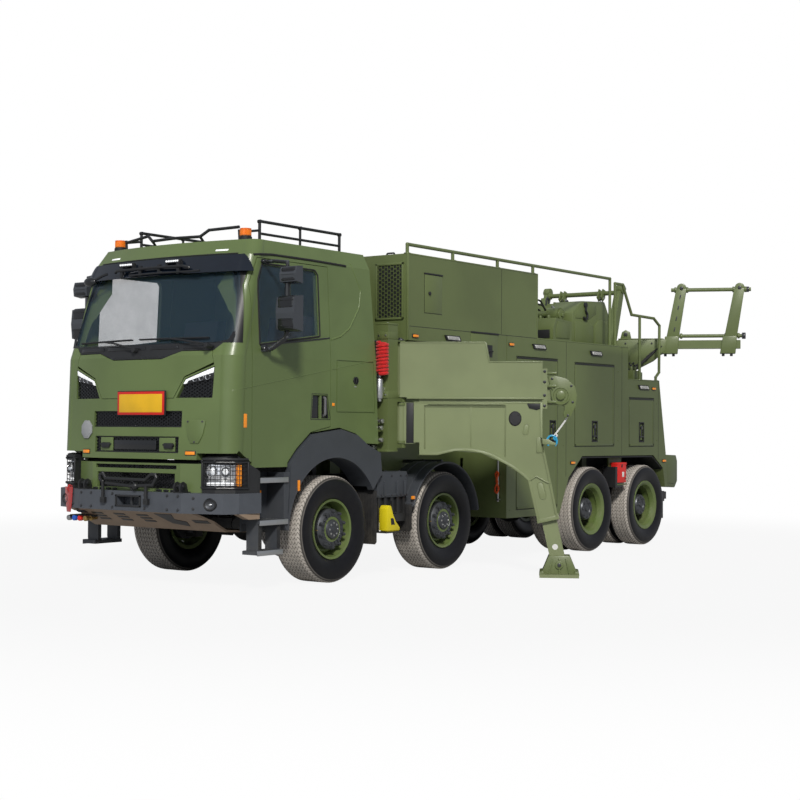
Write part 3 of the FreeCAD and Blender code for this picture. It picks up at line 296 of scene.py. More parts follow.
def hexes(u0, u1, v0, v1, cell, wall, depth, thick):
    """Honeycomb sheet over a rectangle across X, made of six-sided rings."""
    clear()
    bpy.ops.mesh.primitive_circle_add(vertices=6, radius=cell, fill_type="NGON", location=(0, 0, 0))
    obj = bpy.context.object
    bpy.ops.object.mode_set(mode="EDIT")
    bpy.ops.mesh.select_all(action="SELECT")
    bpy.ops.mesh.inset(thickness=wall / 2, depth=0)
    bpy.ops.mesh.delete(type="FACE")
    bpy.ops.object.mode_set(mode="OBJECT")
    across = cell * 1.5
    rise = cell * math.sqrt(3)
    turn = Matrix(((0, 0, 1, 0), (1, 0, 0, 0), (0, 1, 0, 0), (0, 0, 0, 1)))
    obj.data.transform(turn)
    columns = int((u1 - u0) / (2 * across)) + 2
    rows = int((v1 - v0) / rise) + 2
    pair = joined([obj, copied(obj, shift(0, across, rise / 2))])
    moved(pair, shift(depth, u0, v0 - rise / 4))
    apply(pair, "ARRAY", count=columns, use_relative_offset=False, use_constant_offset=True,
          constant_offset_displace=(0, 2 * across, 0))
    apply(pair, "ARRAY", count=rows, use_relative_offset=False, use_constant_offset=True,
          constant_offset_displace=(0, 0, rise))
    for place, way in (((depth, u0, 0), (0, -1, 0)), ((depth, u1, 0), (0, 1, 0)), ((depth, 0, v0), (0, 0, -1)),
                       ((depth, 0, v1), (0, 0, 1))):
        trimmed(pair, place, way)
    outward(pair)
    return apply(pair, "SOLIDIFY", thickness=thick, offset=0)


def trimmed(obj, place, way):
    """Cut away all that lies past a plane."""
    pick(obj)
    bpy.ops.object.mode_set(mode="EDIT")
    bpy.ops.mesh.select_all(action="SELECT")
    bpy.ops.mesh.bisect(plane_co=place, plane_no=way, clear_outer=True, use_fill=False)
    bpy.ops.object.mode_set(mode="OBJECT")
    return obj


# ---- finishes ----------------------------------------------------------------------------
class Wire:
    """A socket that takes Python's signs: a sum on it adds Math nodes."""

    def __init__(self, tree, socket):
        self.tree = tree
        self.socket = socket

    def maths(self, operation, *items):
        node = self.tree.nodes.new("ShaderNodeMath")
        node.operation = operation
        for entry, item in zip(node.inputs, items):
            if isinstance(item, Wire):
                self.tree.links.new(item.socket, entry)
            else:
                entry.default_value = item
        return Wire(self.tree, node.outputs[0])

    def __add__(self, other):
        return self.maths("ADD", self, other)

    __radd__ = __add__

    def __sub__(self, other):
        return self.maths("SUBTRACT", self, other)

    def __rsub__(self, other):
        return self.maths("SUBTRACT", other, self)

    def __mul__(self, other):
        return self.maths("MULTIPLY", self, other)

    __rmul__ = __mul__

    def __pow__(self, other):
        return self.maths("POWER", self, other)

    def __gt__(self, other):
        return self.maths("GREATER_THAN", self, other)

    def __lt__(self, other):
        return self.maths("LESS_THAN", self, other)

    def size(self):
        return self.maths("ABSOLUTE", self)

    def most(self, other):
        return self.maths("MAXIMUM", self, other)

    def part(self):
        return self.maths("FRACT", self)


class Finish:
    """One material, built node by node."""

    def __init__(self, name, **values):
        self.material = bpy.data.materials.new(name)
        self.material.use_nodes = True
        self.tree = self.material.node_tree
        self.shader = self.tree.nodes["Principled BSDF"]
        for key, value in values.items():
            self.shader.inputs[key.replace("_", " ")].default_value = value
        self.place = self.node("ShaderNodeTexCoord", "Object")
        FINISH[name] = self.material

    def feed(self, entry, item):
        if isinstance(item, Wire):
            self.tree.links.new(item.socket, entry)
        else:
            entry.default_value = item

    def node(self, kind, out, settings=None, sockets=None):
        """A node of any kind: its settings first, then its sockets, then the output asked for."""
        node = self.tree.nodes.new(kind)
        for key, value in (settings or {}).items():
            setattr(node, key, value)
        for key, value in (sockets or {}).items():
            self.feed(node.inputs[key], value)
        return Wire(self.tree, node.outputs[out])

    def axes(self):
        node = self.tree.nodes.new("ShaderNodeSeparateXYZ")
        self.feed(node.inputs[0], self.place)
        return [Wire(self.tree, output) for output in node.outputs]

    def noise(self, scale, detail=2.0, rough=0.5, place=None):
        return self.node("ShaderNodeTexNoise", 0, None,
                         {"Vector": place or self.place, "Scale": scale, "Detail": detail, "Roughness": rough})

    def stretch(self, x, y, z):
        return self.node("ShaderNodeMapping", 0, None, {"Vector": self.place, "Scale": (x, y, z)})

    def between(self, value, low, high):
        """0 below low, 1 above high, smooth in between."""
        return self.node("ShaderNodeMapRange", 0, {"interpolation_type": "SMOOTHSTEP"},
                         {"Value": value, "From Min": low, "From Max": high})

    def mix(self, factor, one, two):
        return self.node("ShaderNodeMix", 2, {"data_type": "RGBA"}, {0: factor, 6: one, 7: two})

    def shades(self, factor, colour, dark, light):
        """One colour, from a darker to a lighter shade of it."""
        return self.mix(factor, rgba(colour, dark), rgba(colour, light))

    def set(self, name, item):
        self.feed(self.shader.inputs[name], item)

    def bump(self, height, strength=0.3, distance=0.002):
        self.set("Normal", self.node("ShaderNodeBump", 0, None,
                                     {"Strength": strength, "Distance": distance, "Height": height}))


def rgba(colour, gain=1.0):
    return (colour[0] * gain, colour[1] * gain, colour[2] * gain, 1.0)


PAINT_GRAIN = 900.0
LENS_ROUGHNESS = 0.08
LENS_RIBS = 160.0
WEAVE = 260.0
ROAD_DUST = (0.24, 0.21, 0.15, 1)
PLASTIC_DUST = (0.22, 0.19, 0.14, 1)
DUST_TOP, PLASTIC_DUST_TOP = 1.25, 1.2
# Where the painted shade on the lower rear of the body starts, back along x and down along z.
PAINTED_SHADE_X, PAINTED_SHADE_Z = -4.45, 2.62


def paint(name, colour, rough=0.40, coat=0.24, dust=0.14, rear_shade=0.0):
    """Sprayed paint: slow colour drift, fine texture, road dust low down and in streaks."""
    f = Finish(name, Specular_IOR_Level=0.42, Coat_Roughness=0.26)
    x, _, z = f.axes()
    drift = f.noise(1.3, 3.0, 0.55)
    cloud = f.noise(9.0, 3.0, 0.6)
    streak = f.noise(1.0, 3.0, 0.6, f.stretch(16.0, 16.0, 1.1))
    base = f.shades(f.between(drift, 0.35, 0.65), colour, 0.93, 1.07)
    low = f.between(DUST_TOP - z, 0.0, 1.1)
    film = (low * 0.8 + f.between(streak, 0.52, 0.8) * 0.25) * f.between(cloud, 0.25, 0.75) * dust
    # Painted shade: the lower rear of the body is darkened towards black in place of shade.
    if rear_shade:
        rear_painted_shade = f.between(PAINTED_SHADE_X - x, 0.0, 0.9) * f.between(PAINTED_SHADE_Z - z, 0.0, 0.12) * rear_shade
        base = f.mix(rear_painted_shade, base, rgba(colour, 0.35))
    f.set("Base Color", f.mix(film, base, ROAD_DUST))
    f.set("Roughness", film * 0.35 + cloud * 0.08 + (rough - 0.04))
    f.set("Coat Weight", coat - film * coat)
    f.bump(f.noise(PAINT_GRAIN, 1.0), 0.06, 0.0006)


def metal(name, colour, rough=0.3, metallic=1.0, grain=220.0, stain=0.25):
    """Bare or plated metal with fine scratches and a light film."""
    f = Finish(name, Specular_IOR_Level=0.5)
    scratch = f.noise(1.0, 3.0, 0.65, f.stretch(grain, grain, grain / 9))
    cloud = f.noise(14.0, 4.0, 0.6)
    film = f.between(cloud, 0.42, 0.75) * stain
    f.set("Base Color", f.shades(film, colour, 1.0, 0.55))
    f.set("Metallic", metallic - film * 0.4 * metallic)
    f.set("Roughness", scratch * 0.14 + film * 0.35 + (rough - 0.07))
    f.bump(scratch, 0.08, 0.0005)


def plastic(name, colour, rough=0.5, pebble=420.0, dust=0.12, coat=0.0):
    """Moulded plastic with a pebbled skin."""
    f = Finish(name, Specular_IOR_Level=0.45, Coat_Roughness=0.1)
    z = f.axes()[2]
    cloud = f.noise(6.0, 3.0, 0.6)
    low = f.between(PLASTIC_DUST_TOP - z, 0.0, 1.0)
    film = low * f.between(cloud, 0.3, 0.75) * dust
    f.set("Base Color", f.mix(film, f.shades(cloud, colour, 0.85, 1.15), PLASTIC_DUST))
    f.set("Roughness", film * 0.3 + cloud * 0.1 + (rough - 0.05))
    f.set("Coat Weight", coat - film * coat)
    f.bump(f.noise(pebble, 2.0), 0.15, 0.0006)


def lens(name, colour, glow=0.0):
    """Moulded lamp lens with fine ribs."""
    f = Finish(name, Specular_IOR_Level=0.6, Coat_Weight=0.6, Coat_Roughness=0.04)
    x, y, _ = f.axes()
    rib = ((y + x) * LENS_RIBS).part()
    ridge = (rib - 0.5).size() * 2.0
    f.set("Base Color", f.shades(ridge, colour, 0.72, 1.1))
    f.set("Roughness", ridge * 0.08 + LENS_ROUGHNESS)
    f.bump(ridge, 0.35, 0.001)
    if glow:
        f.shader.inputs["Emission Color"].default_value = rgba(colour)
        f.shader.inputs["Emission Strength"].default_value = glow


def webbing(name, colour):
    """Woven strap or rope."""
    f = Finish(name, Specular_IOR_Level=0.3, Sheen_Weight=0.3)
    x, y, z = f.axes()
    warp = (((x + y + z) * WEAVE).part() - 0.5).size()
    weft = (((x - y + z) * WEAVE).part() - 0.5).size()
    weave = warp.most(weft)
    f.set("Base Color", f.shades(f.noise(30.0, 2.0) * 0.6 + weave * 0.6, colour, 0.6, 1.15))
    f.set("Roughness", weave * 0.2 + 0.65)
    f.bump(weave, 0.5, 0.001)


def glazing(name, colour, alpha, rough=0.02):
    """Tinted pane with a faint film of dust near its edges."""
    f = Finish(name, IOR=1.5, Specular_IOR_Level=0.6, Coat_Weight=0.4, Coat_Roughness=0.02)
    cloud = f.noise(3.0, 3.0, 0.6)
    f.set("Base Color", f.shades(cloud, colour, 0.8, 1.2))
    f.set("Roughness", f.between(cloud, 0.4, 0.8) * 0.05 + rough)
    f.set("Alpha", f.between(cloud, 0.3, 0.7) * 0.06 + alpha)


def screen_finish(name, colour, alpha):
    """Tinted screen with a black printed band where it meets the side."""
    f = Finish(name, IOR=1.5, Specular_IOR_Level=0.6, Coat_Roughness=0.03)
    x, y, z = f.axes()
    band = f.between((z - 2.335) * -0.248 + 1.400 - x, 0.0, 0.008)
    turn = f.between(y.size(), 0.86, 1.02)
    f.set("Base Color", f.mix(band, rgba(colour), (0.004, 0.004, 0.005, 1)))
    f.set("Roughness", turn * 0.42 + f.noise(3.0) * 0.02 + 0.015)
    f.set("Coat Weight", 0.4 - turn * 0.4)
    f.set("Alpha", band * (0.98 - alpha) + alpha)


def tyre_finish(name, axle_x):
    """Black side walls with moulded rings, and a dusty brown-grey tread."""
    f = Finish(name, Specular_IOR_Level=0.35)
    x, y, z = f.axes()
    across = x - axle_x
    up = z - AXLE_Z
    r = (across * across + up * up) ** 0.5
    tread = f.between(r, 0.497, 0.512)
    cloud = f.noise(16.0, 4.0, 0.65)
    speck = f.noise(160.0, 2.0)
    turn = f.node("ShaderNodeMath", 0, {"operation": "ARCTAN2"}, {0: up, 1: across})
    sweep = ((y * 26.0).part() - 0.5).size() * 1.4
    cuts = f.between((turn * 11.459 + sweep).part(), 0.74, 0.80)
    dusty = f.mix(cloud, (0.400, 0.365, 0.325, 1), (0.600, 0.558, 0.505, 1))
    wall = f.mix(f.between(cloud, 0.35, 0.8) * 0.4, (0.005, 0.005, 0.007, 1), (0.013, 0.013, 0.014, 1))
    groove = 1.0 - f.between(r, 0.514, 0.526)
    dark = 1.0 - (1.0 - groove) * (1.0 - cuts * 0.85)
    worn = f.mix(dark * tread * 0.94, dusty, (0.022, 0.020, 0.018, 1))
    f.set("Base Color", f.mix(tread, wall, worn))
    f.set("Roughness", tread * 0.45 + cloud * 0.1 + 0.28)
    rings = ((r * 190.0).part() - 0.5).size()
    f.bump(rings * (1.0 - tread) * 0.5 + speck * 0.5, 0.35, 0.0012)


def split_paint(name, colour, other, rough, other_rough, mask):
    """Two finishes on one piece, parted by a mask of its x, y and z."""
    f = Finish(name, Specular_IOR_Level=0.45)
    where = mask(*f.axes())
    cloud = f.noise(7.0, 4.0, 0.6)
    one = f.shades(cloud, colour, 0.8, 1.2)
    two = f.shades(cloud, other, 0.75, 1.25)
    f.set("Base Color", f.mix(where, one, two))
    f.set("Roughness", where * (other_rough - rough) + cloud * 0.1 + (rough - 0.05))
    f.bump(f.noise(500.0, 1.0), 0.08, 0.0006)


OLIVE = (0.123, 0.158, 0.056)
CAB_OLIVE = (0.122, 0.172, 0.059)
RIM_GREEN = (0.115, 0.165, 0.045)
BLACK = (0.018, 0.019, 0.021)
PANE = (0.045, 0.088, 0.130)
SKID_TOP_Z = 0.744
BEACON_FRONT_X = 0.94
BEACON_SIDE_Y = 0.805
BEACON_FOOT_Z = 3.392


def make_finishes():
    """Every finish, by name."""
    colours = bpy.context.scene.truck_colours
    # The body's olive carries painted shade on its lower rear.
    paint("olive", tuple(colours.olive), rear_shade=0.42)
    # Painted light: a lighter copy of the olive for the arms and legs, which the light falls on more brightly.
    paint("arm_olive_painted_light", (0.196, 0.232, 0.112))
    paint("cab_olive", tuple(colours.cab), 0.36, 0.30)
    paint("rim_green", tuple(colours.rims), 0.38, 0.2, 0.3)
    # Painted shadow: a darkened rim green for the deep inside of the twin wheels' dish.
    paint("rim_painted_shadow", (0.030, 0.044, 0.012), 0.5, 0.1, 0.3)
    paint("black_paint", (0.016, 0.017, 0.019), 0.38, 0.15, 0.12)
    paint("dark_steel", (0.032, 0.034, 0.039), 0.36, 0.2, 0.15)
    metal("cast", (0.09, 0.09, 0.095), 0.6, 0.5, 90.0, 0.5)
    metal("hub_grey", (0.10, 0.105, 0.115), 0.38, 0.7, 120.0, 0.4)
    metal("zinc", (0.55, 0.55, 0.54), 0.32)
    metal("chrome", (0.86, 0.87, 0.88), 0.08, 1.0, 200.0, 0.08)
    metal("alloy", (0.62, 0.63, 0.64), 0.34, 1.0, 160.0, 0.3)
    metal("dark_alloy", (0.16, 0.165, 0.17), 0.42, 0.8, 160.0, 0.4)
    metal("brassy", (0.60, 0.42, 0.16), 0.3)
    metal("mirror", (0.85, 0.88, 0.90), 0.05, 1.0, 60.0, 0.05)
    plastic("black_plastic", BLACK)
    plastic("gloss_black", (0.012, 0.013, 0.015), 0.18, 300.0, 0.1, 0.5)
    plastic("grey_plastic", (0.14, 0.14, 0.145), 0.42)
    plastic("trim_grey", (0.052, 0.058, 0.068), 0.45)
    plastic("rubber", (0.014, 0.014, 0.015), 0.7, 200.0, 0.2)
    plastic("yellow", tuple(colours.chocks), 0.45)
    plastic("plate_yellow", (0.80, 0.46, 0.01), 0.35, 500.0, 0.05, 0.3)
    plastic("plate_red", (0.62, 0.012, 0.008), 0.35, 500.0, 0.05, 0.3)
    plastic("red", (0.68, 0.02, 0.015), 0.4, 300.0, 0.15)
    plastic("orange", (0.75, 0.09, 0.01), 0.5)
    plastic("blue", (0.02, 0.10, 0.50), 0.4)
    plastic("plate_grey", (0.30, 0.31, 0.32), 0.45, 500.0, 0.1)
    plastic("white", (0.72, 0.72, 0.70), 0.5, 400.0, 0.2)
    plastic("vinyl", (0.05, 0.052, 0.056), 0.6)
    lens("amber", (0.92, 0.29, 0.012), 0.15)
    lens("red_lens", (0.55, 0.01, 0.01), 0.05)
    lens("clear_lens", (0.80, 0.83, 0.86), 0.12)
    lens("day_lamp", (0.92, 0.94, 0.96), 0.45)
    webbing("red_rope", (0.60, 0.008, 0.008))
    webbing("white_rope", (0.70, 0.70, 0.68))
    webbing("red_strap", (0.45, 0.02, 0.02))
    webbing("seat_cloth", (0.045, 0.045, 0.05))
    paint("cyan", (0.02, 0.34, 0.60), 0.35, 0.3, 0.1)
    glazing("glass", PANE, 0.20)
    screen_finish("screen", PANE, 0.20)
    glazing("visor", (0.004, 0.008, 0.016), 0.94, 0.03)
    for index, axle_x in enumerate(AXLES):
        tyre_finish("tyre_%d" % (index + 1), axle_x)
    split_paint("bumper_paint", (0.072, 0.080, 0.094), (0.300, 0.220, 0.155), 0.38, 0.6,
                lambda x, y, z: z < SKID_TOP_Z)
    split_paint("rack_paint", (0.016, 0.017, 0.018), (0.85, 0.16, 0.01), 0.4, 0.16,
                lambda x, y, z: (x > BEACON_FRONT_X) * (y.size() > BEACON_SIDE_Y) * (z > BEACON_FOOT_Z))


# Each finish with the frame's nodes that take it: a name that ends in _ stands for both sides.
NODE_FINISH = (
    ("cab_olive", "front_valance cab_shell front_lid door_panel_"),
    ("olive", "equipment_body upper_box handrails arm_posts winch_housing a_frame_mast rear_arm "
              "locker_door_1_ locker_door_2_ locker_door_3_"),
    # The arms and legs take the lighter olive copy, which is painted light.
    ("arm_olive_painted_light", "side_arm_ side_leg_"),
    ("black_paint", "chassis_frame axle_beams front_tow_frame side_boxes rear_bumper"),
    ("cast", "engine_block knuckle_1_ knuckle_2_"),
    ("bumper_paint", "front_bumper"),
    ("rack_paint", "roof_rack"),
    ("black_plastic", "headlamps grille"),
    ("trim_grey", "mirrors_ mudguards_and_steps"),
    ("vinyl", "cab_interior"),
    ("screen", "windscreen"),
    ("glass", "door_glass_"),
    ("visor", "sun_visor"),
    ("rim_green", "rim_1_ rim_2_ rim_3_ rim_4_"),
    ("tyre_1", "tyre_1_"),
    ("tyre_2", "tyre_2_"),
    ("tyre_3", "tyres_3_"),
    ("tyre_4", "tyres_4_"),
)


def finish_nodes():
    """Give the frame's nodes their finishes."""
    for finish, names in NODE_FINISH:
        for name in names.split():
            for node in (name + "left", name + "right") if name.endswith("_") else (name,):
                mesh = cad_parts[node].data
                mesh.materials.clear()
                mesh.materials.append(FINISH[finish])


# ---- stage -------------------------------------------------------------------------------
def make_stage():
    """Pale floor, white surroundings, soft lamps and the camera."""
    clear()
    bpy.ops.mesh.primitive_plane_add(size=FLOOR_REACH, location=(0, 0, FLOOR_Z))
    floor = bpy.context.object
    floor.name = "floor"
    settle(floor)
    f = Finish("floor_pale", Roughness=0.9, Specular_IOR_Level=0.1)
    tone = f.noise(0.8, 2.0)
    f.set("Base Color", f.mix(tone, (0.40, 0.40, 0.40, 1), (0.43, 0.43, 0.43, 1)))
    tree = f.tree
    sight = f.node("ShaderNodeLightPath", "Is Camera Ray")
    x, y, _ = f.axes()
    reach = f.node("ShaderNodeMath", 0, {"operation": "SQRT"}, {0: (x + 3.0) * (x + 3.0) + y * y})
    far = f.between(reach, 6.0, 12.0) * 0.10 + 0.90
    glow = tree.nodes.new("ShaderNodeEmission")
    glow.inputs["Color"].default_value = (1, 1, 1, 1)
    blend = tree.nodes.new("ShaderNodeMixShader")
    f.feed(blend.inputs[0], sight * far)
    tree.links.new(f.shader.outputs[0], blend.inputs[1])
    tree.links.new(glow.outputs[0], blend.inputs[2])
    tree.links.new(blend.outputs[0], tree.nodes["Material Output"].inputs["Surface"])
    floor.data.materials.append(f.material)

    world = bpy.data.worlds.new("studio")
    bpy.context.scene.world = world
    world.use_nodes = True
    nodes = world.node_tree.nodes
    links = world.node_tree.links
    path = nodes.new("ShaderNodeLightPath")
    seen = nodes.new("ShaderNodeMath")
    seen.operation = "MAXIMUM"
    links.new(path.outputs["Is Camera Ray"], seen.inputs[0])
    links.new(path.outputs["Is Transmission Ray"], seen.inputs[1])
    sky = nodes["Background"]
    sky.inputs["Color"].default_value = (0.80, 0.84, 0.92, 1)
    sky.inputs["Strength"].default_value = bpy.context.scene.truck_stage.sky
    white = nodes.new("ShaderNodeBackground")
    white.inputs["Color"].default_value = (1, 1, 1, 1)
    white.inputs["Strength"].default_value = 1.0
    both = nodes.new("ShaderNodeMixShader")
    links.new(seen.outputs[0], both.inputs[0])
    links.new(sky.outputs[0], both.inputs[1])
    links.new(white.outputs[0], both.inputs[2])
    links.new(both.outputs[0], nodes["World Output"].inputs["Surface"])

    light = bpy.context.scene.truck_stage
    lamps = (("key_lamp", (0.70, 0.62, 0.66), light.key, 8.0, (1.0, 0.97, 0.92)),
             ("fill_lamp", (1.0, 0.1, 0.35), light.fill, 50.0, (0.93, 0.96, 1.0)))
    for name, way, power, spread, tint in lamps:
        clear()
        bpy.ops.object.light_add(type="SUN", location=(0, 0, 12))
        lamp = bpy.context.object
        lamp.name = name
        lamp.rotation_euler = Vector(way).to_track_quat("Z", "Y").to_euler()
        lamp.data.energy = power
        lamp.data.angle = math.radians(spread)
        lamp.data.color = tint


CAMERA_AT = (11.785, 10.685, 1.552)
CAMERA_TURN, CAMERA_RISE, CAMERA_ROLL = (math.radians(a) for a in (36.475, 1.052, 0.312))
SENSOR_WIDTH = 36.0
LENS_LENGTH = 1513.32 * SENSOR_WIDTH / 800.0
FLOOR_REACH = 400
FLOOR_Z = -0.002


def make_camera():
    """Camera ahead of the truck and to its left, close to eye height."""
    turn, rise, roll = CAMERA_TURN, CAMERA_RISE, CAMERA_ROLL
    ahead = Vector((-math.cos(turn) * math.cos(rise), -math.sin(turn) * math.cos(rise), math.sin(rise)))
    right = ahead.cross(Vector((0, 0, 1))).normalized()
    up = right.cross(ahead)
    right, up = right * math.cos(roll) + up * math.sin(roll), up * math.cos(roll) - right * math.sin(roll)
    clear()
    bpy.ops.object.camera_add(location=CAMERA_AT)
    camera = bpy.context.object
    camera.name = "view_camera"
    grid = Matrix((right, up, -ahead)).transposed()
    camera.rotation_euler = grid.to_euler()
    camera.data.sensor_width = SENSOR_WIDTH
    camera.data.lens = LENS_LENGTH
    camera.data.clip_end = 500.0
    bpy.context.scene.camera = camera
    bpy.context.scene.view_settings.view_transform = "Standard"


# ---- wheels ------------------------------------------------------------------------------
TYRE_HALF = ((0.0, 0.289), (0.0, 0.302), (0.014, 0.318), (0.030, 0.350), (0.041, 0.392), (0.0448, 0.428),
             (0.0435, 0.468), (0.038, 0.493), (0.030, 0.508), (0.014, 0.523), (-0.004, 0.5335))


def tyre_ring(x, middle, width, grooves, pitches, kerf, depth):
    """Whole tyre: a profile swept over one pitch with a lowered cross groove, then repeated round."""
    seat = width / 2 - 0.0455
    outer = [(seat + along, r) for along, r in TYRE_HALF]
    tread = []
    for edge, floor in grooves:
        tread += [(edge, 0.5345), (edge - 0.003, 0.521), (floor + 0.003, 0.521), (floor, 0.5347)]
    half = outer + [(along, r) for along, r in tread]
    left = [(-along, r) for along, r in reversed(half)]
    profile = half + left
    clear()
    bpy.ops.mesh.primitive_circle_add(vertices=len(profile), fill_type="NOTHING", location=(0, 0, 0))
    obj = bpy.context.object
    centre = Vector((x, middle, AXLE_Z))
    for vertex, (along, r) in zip(obj.data.vertices, profile):
        vertex.co = centre + Vector((0, along, r))
    whole = 2 * math.pi / pitches
    lean = kerf * 0.15
    bpy.ops.object.mode_set(mode="EDIT")
    bpy.ops.mesh.select_all(action="SELECT")
    for angle in (whole - kerf, lean, kerf - 2 * lean, lean):
        bpy.ops.mesh.spin(steps=1, angle=angle, center=centre, axis=(0, 1, 0))
    bpy.ops.object.mode_set(mode="OBJECT")
    for vertex in obj.data.vertices:
        arm = vertex.co - centre
        r = math.hypot(arm.x, arm.z)
        turn = math.atan2(arm.x, arm.z)
        if r > 0.5235 and not (turn < whole - kerf + lean / 2 or turn > whole - lean / 2):
            arm.x *= (r - depth) / r
            arm.z *= (r - depth) / r
            vertex.co = centre + arm
    bpy.ops.object.mode_set(mode="EDIT")
    bpy.ops.mesh.select_all(action="SELECT")
    bpy.ops.mesh.spin(steps=pitches - 1, angle=whole * (pitches - 1), center=centre, axis=(0, 1, 0), dupli=True)
    return outward(obj, 0.0002)


def make_tyres():
    """Steering tyres with four fine ribs, and wider-lugged twin tyres."""
    steer = tyre_ring(0.0, 0.9855, 0.385, ((0.112, 0.101), (0.066, 0.055), (0.022, 0.011)), 72, 0.022, 0.008)
    for index in (1, 2):
        for name, side in SIDES:
            piece = copied(steer, shift(AXLES[index - 1], 0, 0))
            if side < 0:
                moved(piece, MIRROR)
                piece.data.flip_normals()
            fit(piece, "tread_%d_%s" % (index, name), "wheel_%d_%s" % (index, name), "tyre_%d" % index,
                "tyre_rubber", 40)
            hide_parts("tyre_%d_%s" % (index, name))
    bpy.data.objects.remove(steer)
    twin = tyre_ring(0.0, 1.0975, 0.305, ((0.088, 0.076), (0.034, 0.022)), 58, 0.03, 0.012)
    pair = joined([twin, copied(twin, shift(0, -0.345, 0))])
    for index in (3, 4):
        for name, side in SIDES:
            piece = copied(pair, shift(AXLES[index - 1], 0, 0))
            if side < 0:
                moved(piece, MIRROR)
                piece.data.flip_normals()
            fit(piece, "treads_%d_%s" % (index, name), "wheel_%d_%s" % (index, name), "tyre_%d" % index,
                "tyre_rubber", 40)
            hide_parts("tyres_%d_%s" % (index, name))
    bpy.data.objects.remove(pair)


def nut_ring(x, y, pitch_r, count, size, height):
    """Ring of six-sided nuts on washers, with a stud end in each."""
    centre = Vector((x, y, AXLE_Z))
    at = Vector((0, 0, pitch_r))
    out = Vector((0, 1, 0))
    nut = joined([drum(centre + at, centre + at + out * height * 0.25, size * 0.72, 0.001, 18),
                  drum(centre + at, centre + at + out * height, size * 0.58, 0.0015, 6),
                  drum(centre + at, centre + at + out * height * 1.25, size * 0.3, 0.001, 12)])
    return around(nut, centre, "Y", count)


def fit_wheel(part, word, index, finish, slot):
    """A piece of one wheel, and its mirror on the wheel across."""
    fit_both(part, "%s_%d" % (word, index), "wheel_%d_left" % index, finish, slot)


def make_hubs():
    """Grey hub covers with their nuts, valve stems, and the twin wheels' hub drums."""
    for index in (1, 2):
        x = AXLES[index - 1]
        profile = [(1.055, 0.205), (1.1125, 0.2045), (1.118, 0.199), (1.1385, 0.172), (1.1385, 0.128),
                   (1.130, 0.122), (1.130, 0.104), (1.139, 0.098), (1.152, 0.094), (1.160, 0.082), (1.1615, 0.0),
                   (1.055, 0.0)]
        cover = turned_profile(profile, (x, 0, AXLE_Z), "y", 48)
        cap = drum((x, 1.155, AXLE_Z), (x, 1.166, AXLE_Z), 0.032, 0.002, 24)
        ribs = around(block((x - 0.006, 1.1380, AXLE_Z + 0.13), (x + 0.006, 1.147, AXLE_Z + 0.160), 0.002),
                      (x, 0, AXLE_Z), "Y", 20)
        fit_wheel([cover, cap, ribs], "hub_cover", index, "hub_grey", "cast_iron")
        nuts = nut_ring(x, 1.128, 0.183, 10, 0.030, 0.030)
        fit_wheel(nuts, "wheel_nuts", index, "hub_grey", "cast_iron")
        bolts = nut_ring(x, 1.160, 0.062, 8, 0.016, 0.007)
        fit_wheel(bolts, "cap_bolts", index, "zinc", "cast_iron")
        rim = turned_profile([(1.128, 0.2985), (1.137, 0.2995), (1.1425, 0.294), (1.138, 0.284), (1.131, 0.281),
                              (1.128, 0.286)], (x, 0, AXLE_Z), "y", 64)
        fit_wheel(rim, "rim_lip", index, "rim_green", "green_rim")
        valve = pipe([(x + 0.235, 1.10, AXLE_Z), (x + 0.24, 1.135, AXLE_Z), (x + 0.25, 1.150, AXLE_Z)], 0.005, 0.01)
        fit_wheel(valve, "valve", index, "brassy", "cast_iron")
    for index in (3, 4):
        x = AXLES[index - 1]
        profile = [(0.930, 0.158), (0.995, 0.1575), (1.003, 0.150), (1.110, 0.141), (1.148, 0.136), (1.160, 0.126),
                   (1.161, 0.076), (1.153, 0.072), (1.153, 0.034), (1.168, 0.030), (1.170, 0.0), (0.930, 0.0)]
        cover = turned_profile(profile, (x, 0, AXLE_Z), "y", 40)
        fit_wheel(cover, "hub_drum", index, "hub_grey", "cast_iron")
        nuts = nut_ring(x, 0.937, 0.180, 10, 0.030, 0.034)
        fit_wheel(nuts, "wheel_nuts", index, "hub_grey", "cast_iron")
        bolts = nut_ring(x, 1.160, 0.102, 8, 0.024, 0.012)
        fit_wheel(bolts, "flange_bolts", index, "hub_grey", "cast_iron")
        rim = turned_profile([(1.2135, 0.324), (1.2250, 0.3255), (1.2300, 0.320), (1.2260, 0.305), (1.217, 0.286),
                              (1.209, 0.279), (1.205, 0.286)], (x, 0, AXLE_Z), "y", 64)
        # Dark ring deep in the dish: painted shadow where the inside of the rim lies in shade.
        well = turned_profile([(0.936, 0.160), (0.939, 0.160), (0.939, 0.240), (0.960, 0.2515), (1.060, 0.2515),
                               (1.060, 0.2545), (0.958, 0.2545), (0.936, 0.243)], (x, 0, AXLE_Z), "y", 48)
        fit_wheel(well, "rim_well", index, "rim_painted_shadow", "green_rim")
        step_ring = turned_profile([(1.150, 0.2625), (1.158, 0.2625), (1.158, 0.254), (1.150, 0.254)],
                                   (x, 0, AXLE_Z), "y", 64)
        fit_wheel([rim, step_ring], "rim_lip", index, "rim_green", "green_rim")
        valve = pipe([(x + 0.2, 0.94, AXLE_Z), (x + 0.215, 1.02, AXLE_Z), (x + 0.225, 1.10, AXLE_Z)], 0.005, 0.02)
        fit_wheel(valve, "valve", index, "brassy", "cast_iron")


# ---- cab front ---------------------------------------------------------------------------
FRONT_NODES = ("cab_shell", "front_lid", "windscreen")
SIDE_NODES = ("cab_shell", "door_panel_left", "door_glass_left")


